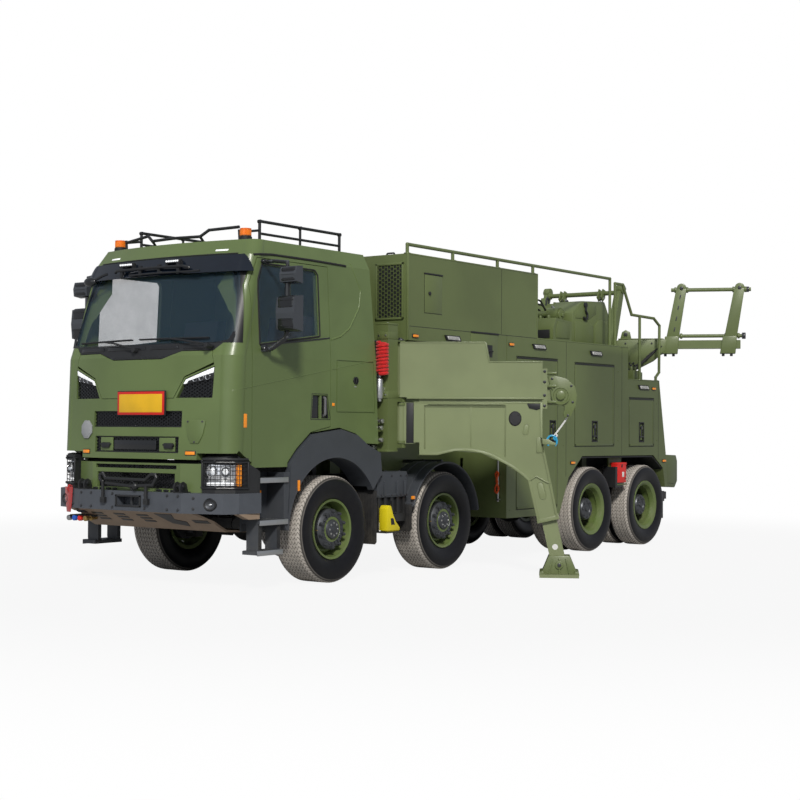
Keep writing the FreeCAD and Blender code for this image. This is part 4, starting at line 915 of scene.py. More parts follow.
def front_x(y, z, nodes=FRONT_NODES):
    """Where the front skin lies at a height and width."""
    best = -9.0
    for node in nodes:
        hit, place, *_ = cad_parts[node].ray_cast(Vector((3.0, y, z)), Vector((-1, 0, 0)))
        if hit:
            best = max(best, place.x)
    if best < 0 and abs(y) > 0.1:
        return front_x(y * 0.98, z + (1.95 - z) * 0.02, nodes)
    return best


def side_y(x, z, nodes=SIDE_NODES):
    """Where the left side's skin lies."""
    best = -9.0
    for node in nodes:
        hit, place, *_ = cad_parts[node].ray_cast(Vector((x, 3.0, z)), Vector((0, -1, 0)))
        if hit:
            best = max(best, place.y)
    return best if best > 0 else side_y(x * 0.97, z, nodes)


def on_front(obj, nodes=FRONT_NODES):
    """Move a piece drawn about x = 0 onto the front skin, point by point."""
    for vertex in obj.data.vertices:
        vertex.co.x += front_x(vertex.co.y, vertex.co.z, nodes)
    return obj


def on_side(obj, nodes=SIDE_NODES):
    """Move a piece drawn about y = 0 onto the left skin, point by point."""
    for vertex in obj.data.vertices:
        vertex.co.y += side_y(vertex.co.x, vertex.co.z, nodes)
    return obj


def on_grille(obj, gap=0.0, z=None, top=9.0):
    """Move a piece drawn about x = 0 onto the grille's skin, each point at its own height or all at one."""
    for vertex in obj.data.vertices:
        vertex.co.x += front_x(vertex.co.y, min(vertex.co.z, top) if z is None else z, ("grille",)) + gap
    return obj


def diced(obj, axis, low, high, count):
    """Cut a piece across an axis at even steps, so that it can follow a curve."""
    index = "xyz".index(axis)
    pick(obj)
    bpy.ops.object.mode_set(mode="EDIT")
    for step_index in range(1, count):
        place = [0.0, 0.0, 0.0]
        place[index] = low + (high - low) * step_index / count
        way = [0.0, 0.0, 0.0]
        way[index] = 1.0
        bpy.ops.mesh.select_all(action="SELECT")
        bpy.ops.mesh.bisect(plane_co=place, plane_no=way)
    bpy.ops.object.mode_set(mode="OBJECT")
    return obj


def make_grilles():
    """Honeycomb in the lamp fields, both grille rows, the slot and the low opening."""
    field = hexes(0.52, 0.95, 1.822, 2.0, 0.019, 0.0085, 0.0, 0.006)
    trimmed(field, (0, 0.592, 1.945), (0, -0.171, 1.0))
    trimmed(field, (0, 0.610, 1.945), (0, -1.0, 0.50))
    fit_both(on_grille(field, 0.016, top=1.93), "lamp_mesh", "cab", "gloss_black", "black_plastic")
    for index, (half, low, high) in enumerate(((0.597, 1.547, 1.698), (0.567, 1.304, 1.456))):
        mesh = hexes(-half, half, low, high, 0.019, 0.0085, 0.0, 0.007)
        fit(on_grille(mesh, 0.015), "grille_mesh_%d" % (index + 1), "cab", "gloss_black", "black_plastic")
        bars = []
        for z in (low + 0.004, high - 0.004):
            bar = diced(block((-0.006, -half, z - 0.005), (0.012, half, z + 0.005), 0.002), "y", -half, half, 10)
            bars.append(on_grille(bar, 0.014, z))
        fit(bars, "grille_edge_%d" % (index + 1), "cab", "black_plastic", "black_plastic")
    low_mesh = hexes(-0.53, 0.53, 0.966, 1.109, 0.017, 0.008, 1.552, 0.006)
    slot_mesh = hexes(-0.55, 0.55, 1.151, 1.185, 0.013, 0.006, 1.575, 0.006)
    fit([low_mesh, slot_mesh], "low_mesh", "chassis", "gloss_black", "black_plastic")
    fit(block((1.533, -0.60, 0.94), (1.542, 0.60, 1.20), 0.002), "low_mesh_back", "chassis", "black_plastic",
        "black_plastic")


def make_front_lamps():
    """Day lamps beside the lid, amber markers, roof-edge markers and visor lamps."""
    pod = slab([(0.940, 2.112), (0.628, 1.999), (0.597, 1.947), (0.934, 2.003)], "x", -0.004, 0.004, 0.002)
    pod = on_front(diced(pod, "y", 0.59, 0.95, 6), ("grille",))
    fit_both(moved(pod, shift(0.003)), "day_lamp_glass", "cab", "gloss_black", "black_plastic")
    strip = slab([(0.934, 2.105), (0.632, 1.995), (0.602, 1.951), (0.640, 1.957), (0.656, 1.982), (0.930, 2.058)],
                 "x", -0.003, 0.006, 0.002)
    strip = on_front(diced(strip, "y", 0.60, 0.94, 6), ("grille",))
    fit_both(moved(strip, shift(0.008)), "day_lamp", "cab", "day_lamp", "clear_lens")
    cups = []
    for y in (0.73, 0.80, 0.87):
        cup = turned_profile([(0.0, 0.0), (0.0, 0.020), (0.010, 0.023), (0.011, 0.026), (-0.004, 0.026),
                              (-0.004, 0.0)], (0, y, 2.0 + (y - 0.73) * 0.12), "x", 20)
        cups.append(cup)
    cups = on_front(joined(cups), ("grille",))
    fit_both(moved(cups, shift(0.004)), "day_lamp_cups", "cab", "chrome", "clear_lens")
    for side_name, side in SIDES:
        amber = block((-0.004, side * 0.71 - 0.052, 1.288), (0.010, side * 0.71 + 0.052, 1.320), 0.004)
        base = block((-0.004, side * 0.71 - 0.06, 1.281), (0.004, side * 0.71 + 0.06, 1.327), 0.003)
        fit(on_front(amber, ("cab_shell",)), "front_marker_" + side_name, "cab", "amber", "amber_lens")
        fit(on_front(base, ("cab_shell",)), "front_marker_base_" + side_name, "cab", "black_plastic",
            "black_plastic")
    mark = block((-0.006, 0.66, 3.232), (0.006, 0.80, 3.250), 0.004)
    fit_both(on_front(mark, ("cab_shell",)), "roof_marker", "cab", "day_lamp", "clear_lens")
    for index, y in enumerate((-0.40, 0.24)):
        body = block((1.335, y - 0.10, 3.130), (1.372, y + 0.10, 3.168), 0.008)
        fins = row(block((1.318, y - 0.09, 3.134), (1.338, y - 0.084, 3.164), 0.001), 13, (0, 0.0145, 0))
        feet = [block((1.30, y + s - 0.012, 3.112), (1.362, y + s + 0.012, 3.134), 0.003) for s in (-0.085, 0.085)]
        fit([body, fins] + feet, "work_lamp_case_%d" % index, "cab", "black_plastic", "black_plastic")
        leds = row(ball((1.371, y - 0.075, 3.149), 0.011, rings=6), 7, (0, 0.025, 0))
        fit(leds, "work_lamp_leds_%d" % index, "cab", "day_lamp", "clear_lens")
    rail = pipe([(1.36, -0.56, 3.080), (1.378, -0.52, 3.095), (1.383, 0.0, 3.098), (1.378, 0.38, 3.095),
                 (1.36, 0.46, 3.075)], 0.014, 0.03)
    low = pipe([(1.385, -0.34, 3.040), (1.388, 0.0, 3.042), (1.385, 0.62, 3.035)], 0.010, 0.03)
    hangers = [block((1.35, y - 0.018, 3.02), (1.378, y + 0.018, 3.13), 0.004) for y in (-0.46, -0.2, 0.06, 0.32)]
    fit([rail, low] + hangers, "visor_rail", "cab", "black_paint", "black_steel")


def make_screen_trim():
    """Black band round the screen, wipers and the cowl's covers."""
    low = diced(slab([(0.0, 2.342), (0.55, 2.342), (0.93, 2.344), (1.045, 2.365), (1.075, 2.44), (1.10, 2.44),
                      (1.09, 2.337), (0.0, 2.337)], "x", -0.004, 0.004), "y", 0.0, 1.1, 16)
    for vertex in low.data.vertices:
        vertex.co.x += front_x(min(vertex.co.y, 1.06), max(vertex.co.z, 2.35), ("windscreen",)) + 0.004
    fit_both(low, "screen_band", "cab", "gloss_black", "black_plastic")
    for index, (pivot, elbow, low_end, high_end) in enumerate((
            ((1.585, -0.02, 2.275), (1.60, -0.20, 2.345), (-0.92, 2.375), (-0.10, 2.385)),
            ((1.545, 0.90, 2.30), (1.56, 0.72, 2.350), (0.0, 2.385), (0.84, 2.385)))):
        y0, z0 = low_end
        y1, z1 = high_end
        blade = [Vector((front_x(y0 + (y1 - y0) * t, z0 + (z1 - z0) * t, ("windscreen",)) + 0.014,
                         y0 + (y1 - y0) * t, z0 + (z1 - z0) * t)) for t in (0, 0.25, 0.5, 0.75, 1)]
        rubber = pipe(blade, 0.008, 0.05, 1)
        spine = pipe([p + Vector((0.014, 0, 0.004)) for p in blade], 0.006, 0.05, 1)
        mid = blade[2] + Vector((0.022, 0, 0.0))
        arm = pipe([pivot, (pivot[0] + 0.035, pivot[1], pivot[2] + 0.02), (mid + Vector(elbow)) / 2, mid], 0.010,
                   0.05)
        hub = drum((pivot[0] - 0.03, pivot[1], pivot[2]), (pivot[0] + 0.045, pivot[1], pivot[2] + 0.012), 0.024,
                   0.004)
        fit([rubber, spine, arm, hub], "wiper_%d" % (index + 1), "cab", "black_plastic", "black_plastic")
    covers = []
    for y0, y1 in ((-0.90, -0.50), (-0.45, 0.10), (0.15, 0.52), (0.56, 0.92)):
        cover = slab([(y0, 2.284), (y1, 2.284), (y1 - 0.015, 2.318), (y0 + 0.015, 2.318)], "x", -0.004, 0.010,
                     0.004)
        covers.append(on_grille(diced(cover, "y", y0, y1, 5), z=2.30))
    for y in (-0.34, 0.10, 0.34):
        covers.append(on_grille(block((-0.003, y - 0.045, 2.196), (0.008, y + 0.045, 2.222), 0.004), z=2.24))
    fit(covers, "cowl_covers", "cab", "gloss_black", "black_plastic")
    lip = diced(block((-0.004, -0.93, 3.196), (0.010, 0.93, 3.206), 0.002), "y", -0.93, 0.93, 14)
    fit(on_front(lip, ("cab_shell",)), "header_seal", "cab", "rubber", "black_plastic")


def make_plates():
    """Blank plates and their holders on the cab's front."""
    x = front_x(0.1, 1.79) + 0.022
    back = block((x - 0.022, -0.225, 1.655), (x - 0.006, 0.425, 1.892), 0.004)
    posts = [block((x - 0.05, y - 0.02, 1.70), (x - 0.015, y + 0.02, 1.84), 0.003) for y in (-0.1, 0.3)]
    fit([back] + posts, "sign_back", "front_lid", "black_plastic", "black_plastic")
    fit(block((x - 0.006, -0.215, 1.662), (x + 0.001, 0.415, 1.884), 0.003), "sign_border", "front_lid",
        "plate_red", "plate")
    fit(block((x - 0.001, -0.190, 1.686), (x + 0.0035, 0.390, 1.860), 0.003), "sign_field", "front_lid",
        "plate_yellow", "plate")
    eight = [(-0.71 + 0.095 * math.cos(math.radians(22.5 + 45 * k)),
              1.52 + 0.095 * math.sin(math.radians(22.5 + 45 * k))) for k in range(8)]
    badge = moved(on_front(slab(eight, "x", -0.004, 0.012, 0.003)), shift(0.004))
    rim = [(-0.71 + (y + 0.71) * 0.8, 1.52 + (z - 1.52) * 0.8) for y, z in eight]
    raised = moved(on_front(slab(rim, "x", -0.002, 0.004, 0.002)), shift(0.014))
    fit([badge, raised], "round_sign", "cab", "plate_grey", "plate")
    shield = [(0.655, 1.615), (0.865, 1.615), (0.870, 1.585), (0.845, 1.475), (0.800, 1.395), (0.715, 1.395),
              (0.670, 1.475), (0.650, 1.585)]
    plate = moved(on_front(slab(shield, "x", -0.003, 0.008, 0.003)), shift(0.003))
    screws = [drum((0.006, y, z), (0.014, y, z), 0.009, 0.002, 12) for y,
              z in ((0.68, 1.60), (0.84, 1.60), (0.757, 1.41))]
    fit(plate, "shield_plate", "cab", "cab_olive", "olive_paint")
    fit(moved(on_front(joined(screws)), shift(0.003)), "shield_screws", "cab", "cast", "black_steel")
    pads = [on_grille(diced(block((-0.004, y0, 1.316), (0.004, y1, 1.446), 0.002), "y", y0, y1, 4), 0.021, 1.37)
            for y0, y1 in ((-0.49, -0.30), (0.33, 0.52))]
    fit(pads, "low_pads", "cab", "cab_olive", "olive_paint")
    for index, y in enumerate((-0.40, 0.45)):
        x = front_x(y, 1.37, ("grille",)) + 0.028
        box_piece = block((x - 0.012, y - 0.055, 1.343), (x + 0.020, y + 0.055, 1.396), 0.008)
        spout = block((x, y - 0.075, 1.372), (x + 0.014, y + 0.075, 1.388), 0.004)
        fit([box_piece, spout], "low_box_%d" % index, "cab", "black_plastic", "black_plastic")
    x = front_x(0.0, 1.37, ("grille",)) + 0.026
    fit(block((x - 0.01, -0.27, 1.330), (x, 0.30, 1.420), 0.004), "number_plate", "cab", "gloss_black",
        "black_plastic")


# ---- cab sides ---------------------------------------------------------------------------
CREASE_X, CREASE_Z, CREASE_SLOPE = 1.50, 1.882, 0.170


def make_door_details():
    """Handles, seams, drip rail, belt strip, steps' trim, hatch lock and markers."""
    bezel = slab([(0.055, 1.628), (0.365, 1.628), (0.345, 1.885), (0.105, 1.885)], "y", -0.003, 0.004, 0.003)
    hole = slab([(0.075, 1.645), (0.346, 1.645), (0.328, 1.868), (0.118, 1.868)], "y", -0.05, 0.05)
    bezel = apply(bezel, "BOOLEAN", object=hole, operation="DIFFERENCE", solver="EXACT")
    bpy.data.objects.remove(hole)
    fit_both(on_side(bezel, ("cab_shell", "door_panel_left")), "handle_bezel", "door_left", "black_plastic",
             "black_plastic")
    y = side_y(0.02, 1.75, ("cab_shell",))
    pan = block((0.075, y - 0.030, 1.643), (0.347, y - 0.022, 1.866), 0.004)
    grip = pipe([(0.135, y - 0.026, 1.665), (0.135, y - 0.002, 1.68), (0.135, y - 0.002, 1.84),
                 (0.135, y - 0.026, 1.855)], 0.013, 0.02)
    fit_both(pan, "handle_pan", "door_left", "gloss_black", "black_plastic")
    fit_both(grip, "handle_grip", "door_left", "grey_plastic", "black_plastic")
    belt = diced(slab([(1.10, 2.330), (0.06, 2.452), (0.06, 2.438), (1.10, 2.314)], "y", -0.003, 0.007, 0.002), "x",
                 0.06, 1.1, 8)
    fit_both(on_side(belt, ("door_panel_left",)), "belt_strip", "door_left", "gloss_black", "black_plastic")
    drip = pipe([(1.13, 0, 3.185), (0.9, 0, 3.205), (0.3, 0, 3.205), (-0.24, 0, 3.195)], 0.011, 0.1)
    drip = diced(drip, "x", -0.24, 1.13, 12)
    fit_both(moved(on_side(drip, ("cab_shell",)), shift(0, 0.004, 0)), "drip_rail", "cab", "rubber",
             "black_plastic")
    ring = [(1.108, 2.330), (0.212, 2.452), (0.212, 3.062), (0.256, 3.108), (1.036, 3.108), (1.108, 2.955)]
    seal = pipe([(x, 0, z) for x, z in ring + ring[:1]], 0.009, 0.03)
    seal = diced(seal, "z", 2.33, 3.1, 8)
    fit_both(on_side(seal, ("door_panel_left",)), "window_seal", "door_left", "rubber", "black_plastic")
    lock = turned_profile([(-0.002, 0.0), (-0.002, 0.040), (0.010, 0.039), (0.012, 0.030), (0.004, 0.027),
                           (0.004, 0.0)], (-0.35, 0, 2.03), "y", 28)
    bow = block((-0.358, 0.0, 2.005), (-0.342, 0.014, 2.055), 0.004)
    fit_both(on_side(joined([lock, bow]), ("cab_shell",)), "hatch_lock", "cab", "gloss_black", "black_plastic")
    tag = block((-0.37, -0.002, 1.962), (-0.33, 0.003, 1.974), 0.001)
    fit_both(on_side(tag, ("cab_shell",)), "hatch_tag", "cab", "alloy", "zinc")
    mark = block((-0.008, -0.003, 1.765), (0.028, 0.007, 1.797), 0.004)
    fit_both(on_side(mark, ("cab_shell",)), "side_marker", "cab", "amber", "amber_lens")
    corner = block((1.288, -0.006, 1.545), (1.332, 0.006, 1.675), 0.005)
    fit_both(on_side(corner, ("cab_shell",)), "corner_marker", "cab", "amber", "amber_lens")
    for index, (x0, x1, word, body, node) in enumerate(((1.226, 1.50, "cab", "cab", "cab_shell"),
                                                        (0.062, 1.208, "door", "door_left", "door_panel_left"),
                                                        (-0.70, 0.036, "cab", "cab", "cab_shell"))):
        line = pipe([(x, 0, CREASE_Z - (x - CREASE_X) * CREASE_SLOPE) for x in (x0, x1)], 0.005)
        line = moved(on_side(diced(line, "x", x0, x1, 6), (node,)), shift(0, -0.002, 0))
        fit_both(line, "crease_%s_%d" % (word, index), body, "cab_olive", "olive_paint")


def make_side_lines():
    """Raised lines of the sleeper's side, the drip rail and the belt."""
    runs = (("sleeper_line", "cab", 0.011, ((-0.330, 3.230), (-0.400, 3.100), (-0.480, 2.960), (-0.440, 2.780),
                                            (-0.270, 2.560), (-0.120, 2.470), (0.030, 2.430))),
            ("belt_line", "door_left", 0.007, ((0.880, 2.345), (0.480, 2.395), (0.090, 2.445))))
    for name, body, r, points in runs:
        line = []
        for (xa, za), (xb, zb) in zip(points[:-1], points[1:]):
            line += [(xa + (xb - xa) * t, za + (zb - za) * t) for t in (0, 0.5)]
        line.append(points[-1])
        run = pipe([(x, side_y(x, z) - r * 0.35, z) for x, z in line], r, 0.05, 2)
        fit_both(run, name, body, "cab_olive", "olive_paint", 60)


def make_mirrors():
    """Ribbed mirror heads with their glass, brackets and feet, over the plain ones."""
    heads = []
    glass = []
    for z0, z1, x0, x1, ribs in ((2.455, 2.785, 0.945, 1.070, 5), (2.903, 3.062, 0.950, 1.045, 3)):
        low = 1.312 if z0 < 2.8 else 1.332
        shell = block((x0, low, z0), (x1, 1.533, z1), 0.035, 4)
        heads.append(shell)
        for index in range(ribs):
            z = z0 + (z1 - z0) * (index + 0.7) / (ribs + 0.4)
            heads.append(block((x1 - 0.02, low + 0.02, z - 0.006), (x1 + 0.004, 1.515, z + 0.006), 0.003))
        glass.append(block((x0 - 0.002, low + 0.018, z0 + 0.022), (x0 + 0.004, 1.515, z1 - 0.022), 0.003))
    fit_both(heads, "mirror_shells", "door_left", "gloss_black", "grey_plastic", 40)
    fit_both(glass, "mirror_glass", "door_left", "mirror", "grey_plastic")
    foot = ball((1.05, 1.168, 2.292), 0.055, (1.0, 0.75, 0.62))
    boot = pipe([(1.05, 1.175, 2.29), (1.04, 1.235, 2.292), (0.99, 1.36, 2.385), (0.985, 1.38, 2.45)], 0.024, 0.05)
    neck = pipe([(0.985, 1.38, 2.77), (0.985, 1.38, 2.92)], 0.028, 0.02)
    top = pipe([(0.985, 1.38, 3.05), (0.985, 1.375, 3.105), (1.005, 1.22, 3.124), (1.01, 1.10, 3.124)], 0.018, 0.05)
    cup = ball((1.01, 1.105, 3.126), 0.045, (1.1, 0.9, 0.55))
    fit_both([foot, boot, neck, top, cup], "mirror_stalks", "door_left", "gloss_black", "black_plastic")
    kerb = ball((1.42, -0.86, 3.00), 0.085, (0.45, 1.0, 0.55))
    arm = pipe([(1.415, -0.78, 3.02), (1.40, -0.70, 3.055), (1.372, -0.66, 3.075)], 0.014, 0.04)
    fit([kerb, arm], "kerb_mirror", "cab", "gloss_black", "black_plastic")


def make_roof():
    """Beacon lenses, clamps and the horn grommets on the roof rack."""
    for name, side in SIDES:
        centre = (1.010, side * 0.865, 3.40)
        lamp = turned_profile([(-0.018, 0.054), (0.012, 0.0545), (0.040, 0.053), (0.056, 0.046), (0.0575, 0.0),
                               (-0.018, 0.0)], centre, "z", 40)
        ribs = around(block((1.010 + 0.0525, side * 0.865 - 0.002, 3.385),
                            (1.010 + 0.0560, side * 0.865 + 0.002, 3.44), 0.001), centre, "Z", 24)
        fit([lamp, ribs], "beacon_" + name, "cab", "amber", "amber_lens")
    clamps = []
    for side in (1, -1):
        for x in (0.76, 0.15, -0.48):
            y = side * 0.82
            clamps.append(turned_profile([(0.0, 0.0), (0.0, 0.036), (0.008, 0.034), (0.012, 0.020), (0.03, 0.018),
                                          (0.03, 0.0)], (x, y, 3.345), "z", 20))
            clamps.append(drum((x, y - 0.018, 3.557), (x, y + 0.018, 3.557), 0.019, 0.003, 16))
    fit(clamps, "rack_clamps", "cab", "black_paint", "black_steel")


# ---- front end -----------------------------------------------------------------------------
def along_plan(points, offset):
    """Points of a plan line, each moved outwards from it."""
    out = []
    for index, point in enumerate(points):
        before = Vector(points[max(index - 1, 0)])
        after = Vector(points[min(index + 1, len(points) - 1)])
        way = (after - before).normalized()
        out.append((point[0] + way.y * offset, point[1] - way.x * offset))
    return out


def plan_band(points, offset, thick, z0, z1, edge=0.002):
    """Upright strip that follows a plan line."""
    near = along_plan(points, offset)
    far = along_plan(points, offset + thick)
    return slab(near + far[::-1], "z", z0, z1, edge)


LENS_LINE = [(1.545, 0.900), (1.520, 1.000), (1.415, 1.110), (1.345, 1.130)]
GUARD_LINE = [(1.588, 0.872), (1.563, 1.012), (1.442, 1.153), (1.305, 1.190)]


def make_headlamps():
    """Reflectors, day strips, amber strips and wire guards of the headlamps."""
    cover = plan_band(LENS_LINE, 0.002, 0.004, 0.994, 1.206)
    fit_both(cover, "headlamp_back", "chassis", "chrome", "clear_lens")
    bowls = []
    lights = []
    for x, y, turn, r, z in ((1.536, 0.952, 14, 0.046, 1.140), (1.472, 1.058, 46, 0.050, 1.135)):
        place = shift(x, y, z) @ Matrix.Rotation(math.radians(turn), 4, "Z")
        bowl = turned_profile([(0.004, 0.0), (0.004, r * 0.3), (0.022, r * 0.86), (0.030, r), (0.030, r + 0.007),
                               (0.002, r + 0.007), (0.002, 0.0)], (0, 0, 0), "x", 32)
        bowls.append(moved(bowl, place))
        lights.append(moved(ball((0.012, 0, 0), r * 0.42, (0.6, 1, 1), 8), place))
    fit_both(bowls, "headlamp_bowls", "chassis", "chrome", "clear_lens")
    day = plan_band(LENS_LINE[:3], 0.010, 0.016, 1.008, 1.034, 0.004)
    fit_both(lights + [day], "headlamp_light", "chassis", "day_lamp", "clear_lens")
    louvres = joined([plan_band(LENS_LINE[:3], 0.008, 0.014, z, z + 0.004) for z in (1.044, 1.056, 1.068)])
    fit_both(louvres, "headlamp_louvres", "chassis", "alloy", "grey_steel")
    amber = plan_band([(1.392, 1.119), (1.352, 1.131)], 0.014, 0.016, 1.000, 1.200, 0.004)
    fit_both(amber, "turn_lamp", "chassis", "amber", "amber_lens")
    wires = []
    for z in (1.020, 1.062, 1.104, 1.146, 1.188):
        wires.append(pipe([(x, y, z) for x, y in GUARD_LINE], 0.0032, 0.03, 1))
    steps = []
    for (xa, ya), (xb, yb) in zip(GUARD_LINE[:-1], GUARD_LINE[1:]):
        count = max(2, int(math.hypot(xb - xa, yb - ya) / 0.042))
        for index in range(count):
            t = index / count
            steps.append((xa + (xb - xa) * t, ya + (yb - ya) * t))
    for x, y in steps[1:]:
        wires.append(drum((x, y, 0.984), (x, y, 1.218), 0.0032, 0, 8))
    fit_both(wires, "headlamp_grid", "chassis", "black_paint", "black_steel")
    frames = [pipe([(x, y, z) for x, y in GUARD_LINE], 0.010, 0.03) for z in (0.982, 1.222)]
    for x, y in (GUARD_LINE[0], GUARD_LINE[-1]):
        frames.append(drum((x, y, 0.975), (x, y, 1.230), 0.011, 0.002, 12))
    for x, y in (GUARD_LINE[0], GUARD_LINE[1]):
        for z in (0.99, 1.235):
            frames.append(drum((x - 0.03, y - 0.01, z), (x + 0.016, y + 0.004, z), 0.012, 0.003, 6))
    fit_both(frames, "headlamp_frame", "chassis", "black_paint", "black_steel")
    cap = plan_band(GUARD_LINE, -0.012, 0.022, 1.240, 1.262, 0.006)
    fit_both(cap, "headlamp_cap", "chassis", "black_plastic", "black_plastic")


def bolt(place, way, r=0.013, height=0.010):
    """Six-sided head on a washer."""
    place, way = Vector(place), Vector(way).normalized()
    washer = drum(place - way * 0.002, place + way * 0.003, r * 1.35, 0.001, 16)
    head = drum(place, place + way * height, r, 0.0015, 6)
    return joined([washer, head])


BUMPER_SWEEP = 0.317


def make_bumper_trim():
    """Fog lamps, bolts, tow lugs, hitch tongue, air couplings and the strap."""
    turn = Matrix.Rotation(math.radians(17.6), 4, "Z")
    place = shift(1.598, 0.985, 0.831) @ turn @ Matrix.Diagonal((1, 1, 0.78, 1))
    ring = turned_profile([(0.0, 0.046), (0.014, 0.050), (0.016, 0.062), (0.004, 0.070), (-0.004, 0.070),
                           (-0.004, 0.046)], (0, 0, 0), "x", 32)
    fit_both(moved(ring, place), "fog_lamp_ring", "chassis", "black_plastic", "black_plastic")
    bowl = turned_profile([(-0.004, 0.0), (-0.004, 0.020), (0.008, 0.048), (0.006, 0.052), (-0.006, 0.050),
                           (-0.006, 0.0)], (0, 0, 0), "x", 32)
    fit_both(moved(bowl, place), "fog_lamp_bowl", "chassis", "hub_grey", "clear_lens")
    fit_both(moved(ball((0.0, 0, 0), 0.020, (0.6, 1, 1), 8), place), "fog_lamp_bulb", "chassis", "alloy",
             "clear_lens")
    bolts = [bolt((1.690, y, z), (1, 0, 0), 0.011) for y in (0.22, 0.52, 0.66) for z in (0.775, 0.905)]
    bolts += [bolt((1.690 - (0.82 - 0.70) * BUMPER_SWEEP, 0.82, z), (0.953, 0.302, 0), 0.011) for z in (0.79, 0.89)]
    fit_both(bolts, "bumper_bolts", "chassis", "dark_steel", "grey_steel")
    lugs = []
    for y in (0.615, 0.690):
        lugs.append(slab([(1.585, 0.930), (1.690, 0.930), (1.705, 0.985), (1.690, 1.025), (1.650, 1.040),
                          (1.615, 1.020), (1.600, 0.975)], "y", y - 0.009, y + 0.009, 0.003))
    lugs.append(drum((1.660, 0.590, 0.995), (1.660, 0.715, 0.995), 0.016, 0.003, 20))
    lugs.append(block((1.575, 0.59, 0.931), (1.690, 0.715, 0.945), 0.003))
    fit_both(lugs, "tow_lugs", "chassis", "black_paint", "black_steel")
    plate = block((1.690, -0.175, 0.785), (1.700, 0.175, 0.800), 0.003)
    top = block((1.690, -0.175, 0.880), (1.700, 0.175, 0.897), 0.003)
    ends = [block((1.690, y - 0.012, 0.785), (1.700, y + 0.012, 0.897), 0.003) for y in (-0.163, 0.163)]
    fit([plate, top] + ends, "hitch_frame", "chassis", "black_paint", "black_steel")
    pin = [drum((1.642, 0, 0.786), (1.642, 0, 0.968), 0.0165, 0.003, 20),
           drum((1.642, 0, 0.965), (1.642, 0, 0.978), 0.03)]
    pin.append(pipe([(1.642, 0.0, 0.975), (1.642, 0.03, 1.005), (1.642, 0.0, 1.030), (1.642, -0.03, 1.005),
                     (1.642, 0.0, 0.975)], 0.005, 0.02))
    fit(pin, "hitch_pin", "chassis", "dark_steel", "zinc")
    strap = slab([(-0.985, 0.950), (-0.815, 0.950), (-0.832, 0.800), (-0.862, 0.700), (-0.945, 0.700),
                  (-0.975, 0.820)], "x", 1.633, 1.639, 0.001)
    for vertex in strap.data.vertices:
        vertex.co.x += (vertex.co.y + 0.90) * BUMPER_SWEEP
    loop = pipe([(1.60, -0.90, 0.955), (1.635, -0.90, 0.965), (1.655, -0.90, 0.93), (1.635, -0.90, 0.90)], 0.010,
                0.02)
    fit([strap, loop], "tow_strap", "chassis", "red_strap", "rope")
    bases = [block((1.30, -1.02, 0.655), (1.52, -0.66, 0.668), 0.003)]
    bases += [block((1.36, -0.95, 0.66), (1.42, -0.91, 0.76), 0.003),
              block((1.36, -0.74, 0.66), (1.42, -0.70, 0.76), 0.003)]
    fit(bases, "coupling_shelf", "chassis", "black_paint", "black_steel")
    for index, (y, finish, slot) in enumerate(((-0.95, "zinc", "zinc"), (-0.87, "blue", "black_plastic"),
                                               (-0.79, "red", "rope"), (-0.71, "brassy", "zinc"))):
        stem = drum((1.44, y, 0.640), (1.575, y, 0.640), 0.017, 0.003, 20)
        nut = drum((1.50, y, 0.640), (1.530, y, 0.640), 0.026, 0.003, 6)
        head = drum((1.560, y, 0.640), (1.602, y, 0.640), 0.027, 0.006, 20)
        neck = block((1.46, y - 0.012, 0.64), (1.49, y + 0.012, 0.662), 0.002)
        fit([stem, nut, head, neck], "air_coupling_%d" % (index + 1), "chassis", finish, slot)
    slots = [block((0.085 + 0.062 * k, y - 0.15 / 2, -0.002), (0.120 + 0.062 * k, y + 0.15 / 2, 0.002), 0.0015)
             for y in (-0.58, -0.27, 0.05) for k in range(3)]
    slots += [block((0.060, -0.86, -0.002), (0.110, -0.72, 0.002), 0.001),
              block((0.160, -0.80, -0.002), (0.215, -0.70, 0.002), 0.001)]
    slots.append(slab([(0.050, 0.250), (0.250, 0.330), (0.300, 0.520), (0.200, 0.560), (0.160, 0.430),
                       (0.050, 0.480)], "z", -0.002, 0.002))
    slots += [block((0.150, 0.66, -0.002), (0.215, 0.86, 0.002), 0.020)]
    slots = moved(joined(slots), shift(1.640, 0, 0.748) @ Matrix.Rotation(math.pi - math.atan2(0.190, 0.350), 4,
                                                                          "Y"))
    fit(outward(slots), "skid_slots", "chassis", "black_paint", "black_steel")
    core = block((1.160, -0.860, 1.010), (1.380, 0.860, 1.226), 0.010)
    fins = row(block((1.372, -0.84, 1.03), (1.386, -0.834, 1.17), 0.001), 56, (0, 0.030, 0))
    fit([core, fins], "cooler", "chassis", "black_plastic", "black_plastic")
    for y0 in (0.30, -0.58):
        hinge = row(drum((1.603, y0, 0.948), (1.603, y0 + 0.06, 0.948), 0.010, 0.002, 16), 4, (0, 0.09, 0))
        fit(hinge, "valance_hinge_%d" % (y0 > 0), "chassis", "black_paint", "black_steel")


